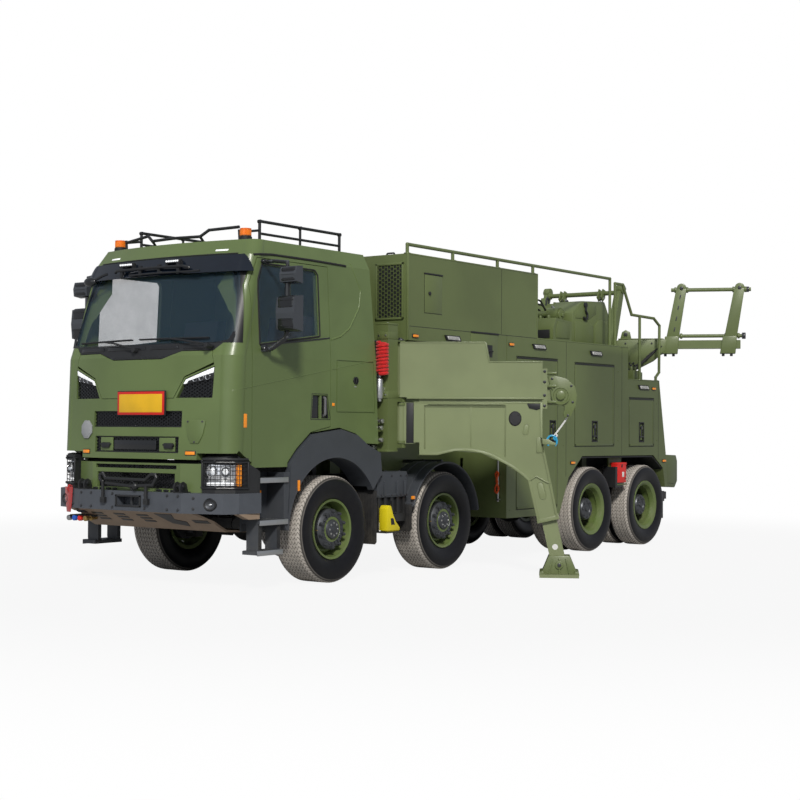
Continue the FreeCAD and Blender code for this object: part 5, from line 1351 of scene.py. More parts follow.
def tread(x0, x1, y0, y1, z):
    """Raised chequer bars on a thin plate."""
    plate = block((x0, y0, z), (x1, y1, z + 0.003), 0.001)
    bar = block((-0.014, -0.0028, 0.0), (0.014, 0.0028, 0.0022), 0.0008, 1)
    left = moved(copied(bar, Matrix.Rotation(math.radians(45), 4, "Z")), shift(x0 + 0.024, y0 + 0.022, z + 0.003))
    right = moved(bar, shift(x0 + 0.046, y0 + 0.044, z + 0.003) @ Matrix.Rotation(math.radians(-45), 4, "Z"))
    nx = int((x1 - x0 - 0.03) / 0.044)
    ny = int((y1 - y0 - 0.03) / 0.044)
    sheet = []
    for start, cut_x, cut_y in ((left, 0, 0), (right, 1, 1)):
        apply(start, "ARRAY", count=max(nx - cut_x, 1), use_relative_offset=False, use_constant_offset=True,
              constant_offset_displace=(0.044, 0, 0))
        apply(start, "ARRAY", count=max(ny - cut_y, 1), use_relative_offset=False, use_constant_offset=True,
              constant_offset_displace=(0, 0.044, 0))
        sheet.append(start)
    return joined([plate] + sheet)


def make_steps():
    """Chequered treads, step lamps, edge strips and the hanging bottom step."""
    plates = [tread(0.748, 1.128, 0.968, 1.190, z) for z in (1.070, 0.670)]
    plates.append(tread(0.826, 1.180, 1.016, 1.196, 0.385))
    fit_both(plates, "step_treads", "chassis", "dark_alloy", "grey_steel")
    lips = [block((0.742, 1.188, z - 0.045), (1.146, 1.199, z + 0.004), 0.003) for z in (1.070, 0.670)]
    lips.append(block((0.820, 1.194, 0.342), (1.185, 1.203, 0.390), 0.003))
    fit_both(lips, "step_lips", "chassis", "alloy", "grey_steel")
    trims = [block((x, 1.166, 0.40), (x + 0.045, 1.176, 0.66), 0.004) for x in (0.830, 1.095)]
    trims += [bolt((x + 0.022, 1.176, z), (0, 1, 0), 0.010, 0.008) for x in (0.830, 1.095) for z in (0.44, 0.62)]
    trims.append(block((1.128, 1.05, 0.70), (1.150, 1.182, 1.04), 0.006))
    fit_both(trims, "step_hangers", "chassis", "black_plastic", "black_plastic")
    lamps = row(block((0.88, 0.962, 0.92), (0.93, 0.972, 0.945), 0.003), 2, (0.10, 0, 0))
    fit_both(lamps, "step_lamps", "chassis", "amber", "amber_lens")


def arc(x, z, r, y, start, end, count):
    """Points on a wheel's arch, from one angle to another."""
    return [(x + r * math.cos(math.radians(start + (end - start) * i / count)), y,
             z + r * math.sin(math.radians(start + (end - start) * i / count))) for i in range(count + 1)]


def make_mudguards():
    """Edge beads, flap, markers and stay bolts of the two front mudguards."""
    tail = [(x, z) for x, y, z in arc(AXLES[1], AXLE_Z, 0.648, 0, 141, 172, 5)]
    tail += [(x, z) for x, y, z in arc(AXLES[1], AXLE_Z, 0.627, 0, 172, 141, 5)]
    for name, side, out, end in (("left", 1, 1.180, 171), ("right", -1, 0.940, 140)):
        fit(slab(tail, "y", side * 0.790, side * out, 0.003), "mudguard_tail_" + name, "chassis", "trim_grey",
            "grey_plastic")
        bead = pipe(arc(AXLES[1], AXLE_Z, 0.640, side * 1.180, 17, end, 18), 0.010, 0.05)
        fit(bead, "mudguard_edge_" + name, "chassis", "trim_grey", "grey_plastic")
    ribs = [pipe(arc(AXLES[1], AXLE_Z, 0.649, y, 20, 140, 14), 0.006, 0.05, 1) for y in (0.90, 1.06)]
    fit_both(ribs, "mudguard_ribs", "chassis", "trim_grey", "grey_plastic")
    flap = slab([(0.80, 0.735), (1.17, 0.735), (1.17, 0.47), (1.15, 0.445), (0.82, 0.445), (0.80, 0.47)], "x",
                AXLES[1] + 0.632, AXLES[1] + 0.640, 0.002)
    ridges = row(block((AXLES[1] + 0.638, 0.83, 0.48), (AXLES[1] + 0.644, 0.838, 0.70), 0.002), 9, (0, 0.038, 0))
    fit_both([flap, ridges], "front_flap", "chassis", "rubber", "black_plastic")
    rear = slab([(0.80, 0.900), (1.19, 0.900), (1.19, 0.370), (1.17, 0.345), (0.82, 0.345), (0.80, 0.370)], "x",
                -0.668, -0.660, 0.002)
    lines = row(block((-0.664, 0.83, 0.38), (-0.656, 0.838, 0.86), 0.002), 10, (0, 0.036, 0))
    fit_both([rear, lines], "cab_flap", "chassis", "rubber", "black_plastic")
    flare = block((0.565, 1.180, 0.935), (0.592, 1.197, 1.040), 0.005)
    fit_both(flare, "flare_marker", "chassis", "amber", "amber_lens")
    marks = block((AXLES[1] + 0.600, 1.168, 0.79), (AXLES[1] + 0.648, 1.190, 0.825), 0.005)
    fit_both(marks, "mudguard_marker", "chassis", "amber", "amber_lens")
    lip = pipe(arc(0.0, AXLE_Z, 0.722, 1.178, 14, 133, 18), 0.009, 0.05)
    fit_both(lip, "front_arch_bead", "chassis", "trim_grey", "grey_plastic")
    stay = [drum((AXLES[1], 0.55, 1.176), (AXLES[1], 1.12, 1.186), 0.020, 0.003, 16)]
    stay += [bolt((AXLES[1], y, 1.196), (0, 0, 1), 0.012) for y in (0.86, 1.10)]
    fit_both(stay, "mudguard_stay", "chassis", "dark_steel", "black_steel")


def make_underbody():
    """Battery box cover, chocks, spring clips, tank straps and pipes along the rails."""
    cover = [block((-1.285, 0.70, 1.056), (-0.710, 1.122, 1.090), 0.010),
             block((-1.290, 1.100, 0.820), (-0.705, 1.124, 1.072), 0.008)]
    cover += [block((x, 1.118, 0.835), (x + 0.030, 1.136, 0.990), 0.004) for x in (-1.255, -1.120, -0.900, -0.770)]
    cover += [block((-1.095, 1.118, 0.835), (-0.905, 1.128, 0.860), 0.003)]
    fit_both(cover, "battery_cover", "chassis", "trim_grey", "grey_plastic")
    heads = [bolt((x, 1.124, z), (0, 1, 0), 0.010, 0.009) for z in (0.845, 1.045)
             for x in (-1.275, -1.17, -1.01, -0.83, -0.72)]
    heads += [bolt((x, y, 1.090), (0, 0, 1), 0.011) for x in (-1.24, -1.0, -0.76) for y in (0.80, 1.05)]
    fit_both(heads, "battery_bolts", "chassis", "dark_steel", "grey_steel")
    wedge = [(-1.075, 0.470), (-1.305, 0.470), (-1.300, 0.500), (-1.235, 0.560), (-1.185, 0.640), (-1.150, 0.730),
             (-1.110, 0.735), (-1.080, 0.700)]
    chock = slab(wedge, "y", 1.128, 1.232, 0.006)
    teeth = row(block((-1.29, 1.133, 0.462), (-1.28, 1.227, 0.474), 0.002), 8, (0.026, 0, 0))
    holes = [slab([(-1.215, 0.530), (-1.150, 0.530), (-1.140, 0.600), (-1.185, 0.600)], "y", 1.231, 1.2335, 0.001)]
    fit_both(moved(joined([chock, teeth]), shift(0.290, 0, 0.010)), "wheel_chocks", "chassis", "yellow", "plate")
    fit_both(moved(joined(holes), shift(0.290, 0, 0.010)), "chock_holes", "chassis", "black_plastic",
             "black_plastic")
    hangers = [block((-1.030, 1.100, 0.455), (-0.770, 1.236, 0.470), 0.003),
               block((-0.790, 1.100, 0.46), (-0.770, 1.128, 0.78), 0.003),
               block((-1.030, 1.100, 0.46), (-1.015, 1.128, 0.78), 0.003),
               block((-0.940, 1.110, 0.66), (-0.915, 1.238, 0.672), 0.003)]
    fit_both(hangers, "chock_holder", "chassis", "black_paint", "black_steel")
    leaves = []
    for x, half, seat in ((0.0, 0.56, 0.595), (AXLES[1], 0.56, 0.595), (AXLES[2], 0.47, 0.610),
                          (AXLES[3], 0.47, 0.610)):
        for level in range(4):
            reach = half * (0.98 - level * 0.16)
            drop = 0.118 * (1 - reach / half) + level * 0.004
            base = seat + 0.088
            leaves.append(slab([(x - reach, 0.712 - drop * 0.8), (x, base - level * 0.019),
                                (x + reach, 0.712 - drop * 0.8), (x + reach, 0.700 - drop * 0.8),
                                (x, base - 0.015 - level * 0.019), (x - reach, 0.700 - drop * 0.8)], "y", 0.339,
                               0.431, 0.002, 1))
        for dx in (-0.085, 0.085):
            leaves.append(pipe([(x + dx, 0.33, seat + 0.01), (x + dx, 0.33, seat + 0.115),
                                (x + dx, 0.44, seat + 0.115), (x + dx, 0.44, seat + 0.01)], 0.011, 0.02))
    fit_both(leaves, "spring_leaves", "chassis", "dark_steel", "black_steel")
    straps = []
    for x in (-2.68, -2.92):
        straps.append(turned_profile([(x - 0.018, 0.1255), (x + 0.018, 0.1255), (x + 0.018, 0.131),
                                      (x - 0.018, 0.131)], (0, 0.600, 0.800), "x", 40))
    straps += [drum((x, 0.60, 0.800), (x + d, 0.60, 0.800), 0.035, 0.006, 20) for x,
               d in ((-2.62, 0.018), (-2.98, -0.018))]
    fit_both(straps, "tank_straps", "chassis", "zinc", "zinc")
    lines = []
    for offset, z in ((0.0, 0.93), (0.014, 0.945), (0.0, 0.89)):
        lines.append(pipe([(1.2, 0.445 + offset, z), (-0.60, 0.445 + offset, z), (-2.5, 0.450 + offset, z + 0.01),
                           (-7.0, 0.445 + offset, z)], 0.006, 0.1, 1))
    fit_both(lines, "rail_lines", "chassis", "black_plastic", "black_plastic")
    marks = joined([drum((x, 0.43, z), (x, 0.442, z), 0.013, 0.002, 6) for x in
                    (0.9, 0.3, -0.4, -1.45, -2.4, -3.3, -4.1, -4.9, -5.7, -6.4) for z in (0.79, 0.95)])
    fit_both(marks, "rail_rivets", "chassis", "dark_steel", "black_steel")


# ---- equipment body ------------------------------------------------------------------------
SIDE_Y = 1.250
LOCKERS = (
    # x front, x rear, z low, z high, handle x, handle z
    (-3.270, -4.210, 0.600, 2.400, -4.100, 1.390),
    (-4.630, -5.650, 1.330, 2.380, -5.140, 1.390),
    (-6.060, -6.770, 1.320, 1.970, -6.415, 1.380),
)


def tee_handle(x, z):
    """Folding T-handle in its sunk tray: tray frame, bar and lock."""
    y = SIDE_Y
    frame_bars = [block((x - 0.074, y - 0.004, z - 0.004), (x - 0.060, y + 0.003, z + 0.264), 0.002),
                  block((x + 0.060, y - 0.004, z - 0.004), (x + 0.074, y + 0.003, z + 0.264), 0.002),
                  block((x - 0.074, y - 0.004, z - 0.004), (x + 0.074, y + 0.003, z + 0.010), 0.002),
                  block((x - 0.074, y - 0.004, z + 0.250), (x + 0.074, y + 0.003, z + 0.264), 0.002)]
    tray = joined(frame_bars + [block((x - 0.066, y - 0.0175, z + 0.002), (x + 0.066, y - 0.0150, z + 0.258),
                                      0.0005)])
    bar = joined([block((x - 0.012, y - 0.014, z + 0.060), (x + 0.012, y + 0.002, z + 0.215), 0.005),
                  drum((x, y - 0.006, z + 0.190), (x, y + 0.005, z + 0.190), 0.028, 0.003),
                  pipe([(x - 0.050, y, z + 0.070), (x + 0.050, y, z + 0.070)], 0.009)])
    return tray, bar


def outlined(x0, x1, z0, z1, y, grow=0.006, depth=0.0014):
    """Thin dark line round a panel, as four strips."""
    a, b = min(x0, x1) - grow, max(x0, x1) + grow
    return joined([block((a, y, z0 - grow), (b, y + depth, z0), 0), block((a, y, z1), (b, y + depth, z1 + grow), 0),
                   block((a, y, z0), (a + grow, y + depth, z1), 0),
                   block((b - grow, y, z0), (b, y + depth, z1), 0)])


def make_lockers():
    """Hinge strips, T-handles and edge folds of the three locker flaps on each side."""
    for index, (x0, x1, z0, z1, hx, hz) in enumerate(LOCKERS):
        body = "flap_%d_left" % (index + 1)
        tray, bar = tee_handle(hx, hz)
        fit_both(tray, "locker_tray_%d" % (index + 1), body, "black_plastic", "black_plastic")
        fit_both(bar, "locker_handle_%d" % (index + 1), body, "gloss_black", "black_steel")
        top = block((x1 + 0.007, SIDE_Y - 0.001, z1 - 0.026), (x0 - 0.007, SIDE_Y + 0.007, z1 - 0.008), 0.003)
        fit_both(top, "locker_hinge_%d" % (index + 1), body, "black_plastic", "black_plastic")
        folds = [block((x0 - 0.030, SIDE_Y - 0.001, z0 + 0.012), (x0 - 0.008, SIDE_Y + 0.003, z1 - 0.046), 0.0015),
                 block((x1 + 0.008, SIDE_Y - 0.001, z0 + 0.012), (x1 + 0.030, SIDE_Y + 0.003, z1 - 0.046), 0.0015),
                 block((x1 + 0.008, SIDE_Y - 0.001, z0 + 0.010), (x0 - 0.008, SIDE_Y + 0.003, z0 + 0.032), 0.0015)]
        fit_both(folds, "locker_folds_%d" % (index + 1), body, "olive", "olive_paint")
        gap = outlined(x0, x1, z0, z1, SIDE_Y, 0.004, 0.0008)
        fit_both(gap, "locker_gap_%d" % (index + 1), "chassis", "black_plastic", "black_plastic")


def work_lamp(x, z):
    """Slanted flush work lamp: black case, white lens and its louvres."""
    long, tall, lean = 0.26, 0.058, 0.030
    outline = [(x + long / 2 + lean, z + tall / 2), (x - long / 2 + lean * 0.2, z + tall / 2),
               (x - long / 2 - lean, z - tall / 2), (x + long / 2 - lean * 0.2, z - tall / 2)]
    inner = [(x + (u - x) * 0.80, z + (v - z) * 0.62) for u, v in outline]
    case = slab(outline, "y", SIDE_Y - 0.002, SIDE_Y + 0.020, 0.006)
    lens = slab(inner, "y", SIDE_Y + 0.016, SIDE_Y + 0.023, 0.002)
    bars = row(block((x - long * 0.34, SIDE_Y + 0.020, z - tall * 0.27),
                     (x - long * 0.34 + 0.006, SIDE_Y + 0.0255, z + tall * 0.27), 0.001, 1), 9,
               (long * 0.082, 0, 0))
    return case, lens, bars


def make_body_side():
    """Work lamps, markers, drip rail, panel seams and the red box of the body sides."""
    cases, lenses, bars = [], [], []
    for x, z in ((-1.94, 2.54), (-3.77, 2.53), (-5.16, 2.51), (-6.46, 2.11)):
        case, lens, louvres = work_lamp(x, z)
        cases.append(case)
        lenses.append(lens)
        bars.append(louvres)
    fit_both(cases + bars, "work_lamp_cases", "chassis", "black_plastic", "black_plastic")
    fit_both(lenses, "work_lamp_lenses", "chassis", "white", "clear_lens")
    lights, bases = [], []
    for x, z in ((-1.24, 2.53), (-3.15, 2.53), (-6.76, 2.10), (-4.58, 1.13), (-7.07, 1.12)):
        lights.append(block((x - 0.045, SIDE_Y + 0.004, z - 0.014), (x + 0.045, SIDE_Y + 0.018, z + 0.014), 0.005))
        bases.append(block((x - 0.054, SIDE_Y - 0.002, z - 0.021), (x + 0.054, SIDE_Y + 0.008, z + 0.021), 0.004))
    fit_both(lights, "side_markers", "chassis", "amber", "amber_lens")
    fit_both(bases, "side_marker_bases", "chassis", "black_plastic", "black_plastic")
    edges = [block((-3.74, SIDE_Y - 0.012, 2.622), (-6.03, SIDE_Y + 0.004, 2.636), 0.004),
             block((-6.03, SIDE_Y - 0.012, 2.202), (-6.93, SIDE_Y + 0.004, 2.216), 0.004)]
    fit_both(edges, "deck_edges", "chassis", "olive", "olive_paint")
    seams = [block((x - 0.0025, SIDE_Y - 0.001, z0), (x + 0.0025, SIDE_Y + 0.0012, z1), 0)
             for x, z0, z1 in ((-4.420, 0.96, 2.62), (-5.860, 1.21, 2.62), (-6.905, 1.13, 2.20))]
    fit_both(seams, "body_seams", "chassis", "black_plastic", "black_plastic")
    screws = [drum((x, SIDE_Y - 0.001, z), (x, SIDE_Y + 0.004, z), 0.008, 0.0015, 12)
              for x, z in ((-3.14, 0.60), (-3.14, 1.10), (-3.14, 1.60), (-3.14, 2.10), (-4.36, 1.35), (-4.36, 1.80),
                           (-4.36, 2.25), (-5.76, 1.40), (-5.76, 1.85), (-5.76, 2.30), (-6.86, 1.4), (-6.86, 1.9))]
    fit_both(screws, "body_screws", "chassis", "olive", "olive_paint")
    box = block((-6.010, 1.140, 0.850), (-5.770, 1.240, 1.110), 0.010)
    lid = block((-6.014, 1.136, 1.080), (-5.766, 1.244, 1.114), 0.007)
    fit_both([box, lid], "extinguisher_box", "chassis", "red", "rope")
    fit_both(block((-5.945, 1.239, 0.925), (-5.895, 1.2425, 0.990), 0.001), "extinguisher_label", "chassis",
             "white", "plate")
    stay = [slab([(-6.080, 1.205), (-5.720, 1.205), (-5.760, 0.830), (-6.030, 0.830)], "y", 1.105, 1.132, 0.004),
            block((-6.020, 1.05, 0.818), (-5.760, 1.240, 0.836), 0.004)]
    fit_both(stay, "extinguisher_stay", "chassis", "olive", "olive_paint")
    # Painted shadow: black sheets inside the rear wheel arches, where the arch interior lies in shade.
    arch = [(-4.495, 0.955), (-4.825, 1.202), (-6.755, 1.192), (-7.040, 1.022), (-7.052, 1.008), (-7.040, 1.006),
            (-6.752, 1.176), (-4.830, 1.186), (-4.505, 0.945)]
    fit_both(slab(arch, "y", 0.640, 1.236, 0), "arch_painted_shadow", "chassis", "black_plastic", "black_plastic")
    wall = slab([(-4.56, 0.93), (-4.835, 1.180), (-6.750, 1.170), (-7.000, 1.020), (-7.000, 0.62), (-4.56, 0.62)],
                "y", 0.520, 0.532, 0)
    fit_both(wall, "arch_wall_painted_shadow", "chassis", "black_plastic", "black_plastic")
    latch = [block((-5.90, 1.238, 1.05), (-5.87, 1.246, 1.09), 0.003),
             drum((-5.98, 1.236, 0.9), (-5.98, 1.245, 0.9), 0.010)]
    fit_both(latch, "extinguisher_latch", "chassis", "black_plastic", "black_plastic")
    pole = [drum((-3.035, 1.150, 0.700), (-3.035, 1.150, 1.300), 0.013, 0.002, 16)]
    pole += [block((-3.064, 1.130, z), (-3.022, 1.170, z + 0.022), 0.003) for z in (0.715, 1.250)]
    fit_both(pole, "strap_pole", "chassis", "zinc", "zinc")
    strap = pipe([(-3.018, 1.125, 0.815), (-3.014, 1.150, 0.800), (-3.016, 1.172, 0.850), (-3.014, 1.140, 0.940),
                  (-3.016, 1.168, 1.030), (-3.014, 1.150, 1.050), (-3.016, 1.126, 1.020), (-3.013, 1.160, 0.930),
                  (-3.016, 1.122, 0.860), (-3.018, 1.125, 0.815)], 0.012, 0.03)
    fit_both(strap, "lashing_strap", "chassis", "orange", "rope")
    pads = [drum((x, 1.215, z - 0.001), (x, 1.215, z + 0.010), 0.036, 0.003) for x,
            z in ((-1.14, 3.40), (-1.99, 3.40), (-2.90, 3.40), (-3.68, 3.40), (-5.59, 2.63), (-5.73, 2.63),
                  (-6.42, 2.21), (-6.89, 2.21))]
    fit_both(pads, "rail_feet", "chassis", "olive", "olive_paint")


def make_tall_box():
    """Seams, hatch, side panel, vents and lift eyes of the tall locker."""
    seam = [block((-2.9425, SIDE_Y - 0.001, 2.64), (-2.9375, SIDE_Y + 0.0012, 3.396), 0),
            block((-1.116, SIDE_Y - 0.001, 2.628), (-3.734, SIDE_Y + 0.0012, 2.633), 0)]
    fit_both(seam, "tall_box_seam", "chassis", "black_plastic", "black_plastic")
    hatch = block((-1.730, SIDE_Y - 0.002, 2.790), (-1.410, SIDE_Y + 0.007, 3.200), 0.004)
    fit_both(hatch, "hatch", "chassis", "olive", "olive_paint")
    fit_both(outlined(-1.730, -1.410, 2.790, 3.200, SIDE_Y, 0.005), "hatch_gap", "chassis", "black_plastic",
             "black_plastic")
    line = block((-1.742, SIDE_Y - 0.002, 3.204), (-1.398, SIDE_Y + 0.012, 3.220), 0.003)
    knob = drum((-1.490, SIDE_Y + 0.004, 3.000), (-1.490, SIDE_Y + 0.022, 3.000), 0.020, 0.004)
    fit_both([line, knob], "hatch_rail", "chassis", "black_plastic", "black_plastic")
    panel = block((-2.850, SIDE_Y - 0.002, 2.312), (-2.310, SIDE_Y + 0.006, 2.618), 0.004)
    fit_both(panel, "small_panel", "chassis", "olive", "olive_paint")
    top = block((-2.870, SIDE_Y - 0.002, 2.622), (-2.305, SIDE_Y + 0.014, 2.640), 0.003)
    tee = joined([drum((-2.68, SIDE_Y + 0.004, 2.43), (-2.68, SIDE_Y + 0.016, 2.43), 0.030, 0.003),
                  pipe([(-2.735, SIDE_Y + 0.018, 2.43), (-2.625, SIDE_Y + 0.018, 2.43)], 0.009),
                  block((-2.74, SIDE_Y + 0.004, 2.36), (-2.62, SIDE_Y + 0.009, 2.50), 0.004)])
    fit_both([top, tee], "small_panel_handle", "chassis", "black_plastic", "black_plastic")
    mesh = hexes(0.845, 1.175, 2.725, 3.285, 0.0265, 0.0095, -1.101, 0.004)
    fit_both(mesh, "vent_mesh", "chassis", "olive", "olive_paint")
    back = block((-1.112, 0.845, 2.725), (-1.1075, 1.175, 3.285), 0)
    fit_both(back, "vent_back", "chassis", "black_plastic", "black_plastic")
    border = [block((-1.112, 0.825, z), (-1.094, 1.195, z + 0.022), 0.003) for z in (2.703, 3.285)]
    border += [block((-1.112, y, 2.703), (-1.094, y + 0.022, 3.307), 0.003) for y in (0.825, 1.173)]
    fit_both(border, "vent_border", "chassis", "olive", "olive_paint")
    corners = []
    for x0, x1 in ((-1.135, -1.106), (-3.744, -3.715)):
        corners.append(block((x0, 1.226, 2.485), (x1, 1.254, 3.404), 0.006))
    corners.append(block((-3.740, 1.230, 3.388), (-1.110, 1.254, 3.406), 0.006))
    fit_both(corners, "tall_box_corners", "chassis", "olive", "olive_paint")
    eyes = [pipe([(x, 0.75, 3.40), (x, 0.75, 3.455), (x, 0.85, 3.455), (x, 0.85, 3.40)], 0.010, 0.03)
            for x in (-1.4, -3.45)]
    fit_both(eyes, "lift_eyes", "chassis", "dark_steel", "black_steel")


# ---- side arms -------------------------------------------------------------------------------
# drawn stowed: s is the way back from the hinge, n the way outwards from it
ARM_OUT = 0.080
ARM_IN = -0.170
LEG_MID = -0.045
LEG_ANGLE = math.radians(12.5)
LEG_LEAN = math.tan(LEG_ANGLE)
LEG_TRAVEL = 0.3
LEG_UP = shift(LEG_TRAVEL * math.sin(LEG_ANGLE), 0, LEG_TRAVEL * math.cos(LEG_ANGLE))


def leg_s(z):
    """How far back the leg's middle lies at a height."""
    return 1.618 - (z - 0.400) * LEG_LEAN


def at_arm(s, n, z):
    return (HINGE.x - s, HINGE.y + n, z)


def arm_slab(points, n0, n1, edge=0.002):
    return slab([(HINGE.x - s, z) for s, z in points], "y", HINGE.y + n0, HINGE.y + n1, edge)


def arm_band(points, width, n0, n1):
    """Flat strip of even width along (s, z) points."""
    inner = along_plan(points, width)
    return arm_slab(list(points) + inner[::-1], n0, n1, 0.0015)


def obround(s, z, long, wide, lean):
    """Outline with round ends, leaning from upright."""
    points = []
    for end in (1, -1):
        for index in range(7):
            a = math.pi * index / 6 + (0 if end > 0 else math.pi)
            u = math.cos(a) * wide / 2
            v = math.sin(a) * wide / 2 + end * (long - wide) / 2
            points.append((s + u * math.cos(lean) - v * math.sin(lean),
                           z + u * math.sin(lean) + v * math.cos(lean)))
    return points


def fit_arm(pieces, name, part, finish, slot):
    """Left piece turned out with its arm, right piece stowed, its leg drawn up."""
    obj = whole(pieces)
    raise_right = LEG_UP if part == "leg" else Matrix.Identity(4)
    other = copied(obj, MIRROR @ raise_right)
    moved(obj, about(HINGE, ARM_TURN))
    fit(obj, name + "_left", part + "_left", finish, slot)
    fit(other, name + "_right", part + "_right", finish, slot)


def make_side_arms():
    """Flanges, plugs, slots and barrel rings of the swinging arms."""
    edges = [arm_slab([(0.0, 2.448), (0.905, 2.448), (0.905, 2.460), (0.0, 2.460)], ARM_IN - 0.006,
                      ARM_OUT + 0.006), arm_slab([(0.940, 2.243), (1.500, 2.243), (1.500, 2.255), (0.940, 2.255)],
                                                 ARM_IN - 0.006, ARM_OUT + 0.006),
             arm_slab([(0.895, 2.455), (0.935, 2.250), (0.948, 2.253), (0.908, 2.459)], ARM_IN - 0.006,
                      ARM_OUT + 0.006), arm_slab([(0.075, 1.858), (1.510, 1.858), (1.510, 1.874), (0.075, 1.874)],
                                                 ARM_IN - 0.016, ARM_OUT + 0.018),
             arm_slab([(0.150, 1.815), (1.500, 1.815), (1.500, 1.829), (0.150, 1.829)], ARM_IN - 0.004,
                      ARM_OUT + 0.004)]
    fit_arm(edges, "boom_edges", "arm", "arm_olive_painted_light", "olive_paint")
    low = [(0.212, 1.267), (0.400, 1.267), (0.590, 1.312), (0.720, 1.310), (0.860, 1.292), (0.980, 1.250),
           (1.090, 1.192), (1.180, 1.145), (1.250, 1.092), (1.305, 1.050), (1.352, 1.007), (1.400, 0.800),
           (1.452, 0.580)]
    band = arm_band(low, -0.026, ARM_OUT - 0.002, ARM_OUT + 0.010)
    rear = arm_band([(1.500, 1.820), (1.502, 1.420), (1.600, 0.960), (1.666, 0.630)], 0.024, ARM_OUT - 0.002,
                    ARM_OUT + 0.010)
    inner_band = arm_band(low, -0.026, ARM_IN - 0.008, ARM_IN + 0.002)
    fit_arm([band, rear, inner_band], "arm_flanges", "arm", "arm_olive_painted_light", "olive_paint")
    frame_line = [(0.262, 1.332), (0.262, 1.788), (1.118, 1.788), (1.118, 1.252)]
    trim = arm_band(frame_line, 0.014, ARM_OUT - 0.024, ARM_OUT - 0.012)
    rib = [arm_slab([(0.300, 1.800), (1.110, 1.800), (1.110, 1.811), (0.300, 1.811)], ARM_OUT - 0.002,
                    ARM_OUT + 0.012), arm_slab([(0.745, 1.345), (0.757, 1.345), (0.757, 1.790), (0.745, 1.790)],
                                               ARM_OUT - 0.024, ARM_OUT - 0.016)]
    fit_arm([trim] + rib, "arm_panel_trim", "arm", "arm_olive_painted_light", "olive_paint")
    plug = turned_profile([(0.0, 0.0), (0.0, 0.078), (0.006, 0.078), (0.014, 0.068), (0.016, 0.0)], (0, 0, 0), "y",
                          36)
    plug = moved(plug, shift(*at_arm(1.215, ARM_OUT - 0.002, 1.655)) @ Matrix.Diagonal((0.86, 1, 1.0, 1)))
    screws = [moved(drum((0, 0, 0), (0, 0.018, 0), 0.008, 0.002, 10), shift(*at_arm(1.215 + u, ARM_OUT, 1.655 + v)))
              for u, v in ((0.035, 0.04), (-0.035, 0.04), (0.035, -0.04), (-0.035, -0.04))]
    corner = arm_slab([(1.340, 1.812), (1.490, 1.812), (1.490, 1.765), (1.440, 1.745), (1.360, 1.765)],
                      ARM_OUT - 0.002, ARM_OUT + 0.008)
    fit_arm([plug] + screws + [corner], "arm_plug", "arm", "black_plastic", "black_plastic")
    rounds = [obround(1.330, 1.545, 0.115, 0.052, -0.15), obround(leg_s(0.905) - 0.01, 0.905, 0.185, 0.066, 0.22)]
    holes = [arm_slab(points, ARM_OUT - 0.001, ARM_OUT + 0.0015, 0.001) for points in rounds]
    cover = arm_slab([(1.135, 1.468), (1.345, 1.468), (1.345, 1.552), (1.135, 1.552)], ARM_OUT - 0.002,
                     ARM_OUT + 0.0005, 0)
    fit_arm(holes + [cover], "arm_slots", "arm", "arm_olive_painted_light", "olive_paint")
    # Painted shadow: a black plate in the gap between the hinge barrel and the lower box, where shade falls.
    gap_shadow = arm_slab([(0.068, 1.392), (0.148, 1.392), (0.148, 1.818), (0.068, 1.818)], 0.044, 0.050, 0.001)
    fit_arm(gap_shadow, "hinge_gap_painted_shadow", "arm", "black_plastic", "black_plastic")
    lips = [pipe([at_arm(s, ARM_OUT + 0.002, z) for s, z in points + points[:1]], 0.005, 0.01, 1)
            for points in rounds]
    crease = arm_band([(1.360, 1.012), (1.440, 1.060), (1.545, 1.000), (1.590, 0.990)], 0.014, ARM_OUT - 0.002,
                      ARM_OUT + 0.012)
    collar = [arm_slab([(1.444, 0.600), (1.672, 0.652), (1.680, 0.610), (1.452, 0.560)], n, n + 0.010)
              for n in (ARM_OUT - 0.001, ARM_IN - 0.009)]
    fit_arm(lips + [crease] + collar, "arm_lips", "arm", "arm_olive_painted_light", "olive_paint")
    rings = [turned_profile([(z - 0.014, 0.0615), (z + 0.014, 0.0615), (z + 0.014, 0.072), (z - 0.014, 0.072)],
                            (HINGE.x, HINGE.y, 0), "z", 36) for z in (1.402, 1.802, 1.888, 2.438)]
    fit_arm(rings, "barrel_rings", "arm", "olive", "olive_paint")
    caps = [drum(at_arm(0, 0, 2.47), at_arm(0, 0, 2.492), 0.055, 0.004),
            drum(at_arm(0, 0, 2.49), at_arm(0, 0, 2.506), 0.028, 0.004, 6)]
    fit_both(caps, "hinge_caps", "chassis", "dark_steel", "black_steel")
    nipples = [drum(at_arm(-0.058, 0.02, z), at_arm(-0.082, 0.026, z), 0.008, 0.002, 8)
               for z in (1.55, 1.68, 2.05, 2.3)]
    fit_arm(nipples, "grease_points", "arm", "brassy", "zinc")


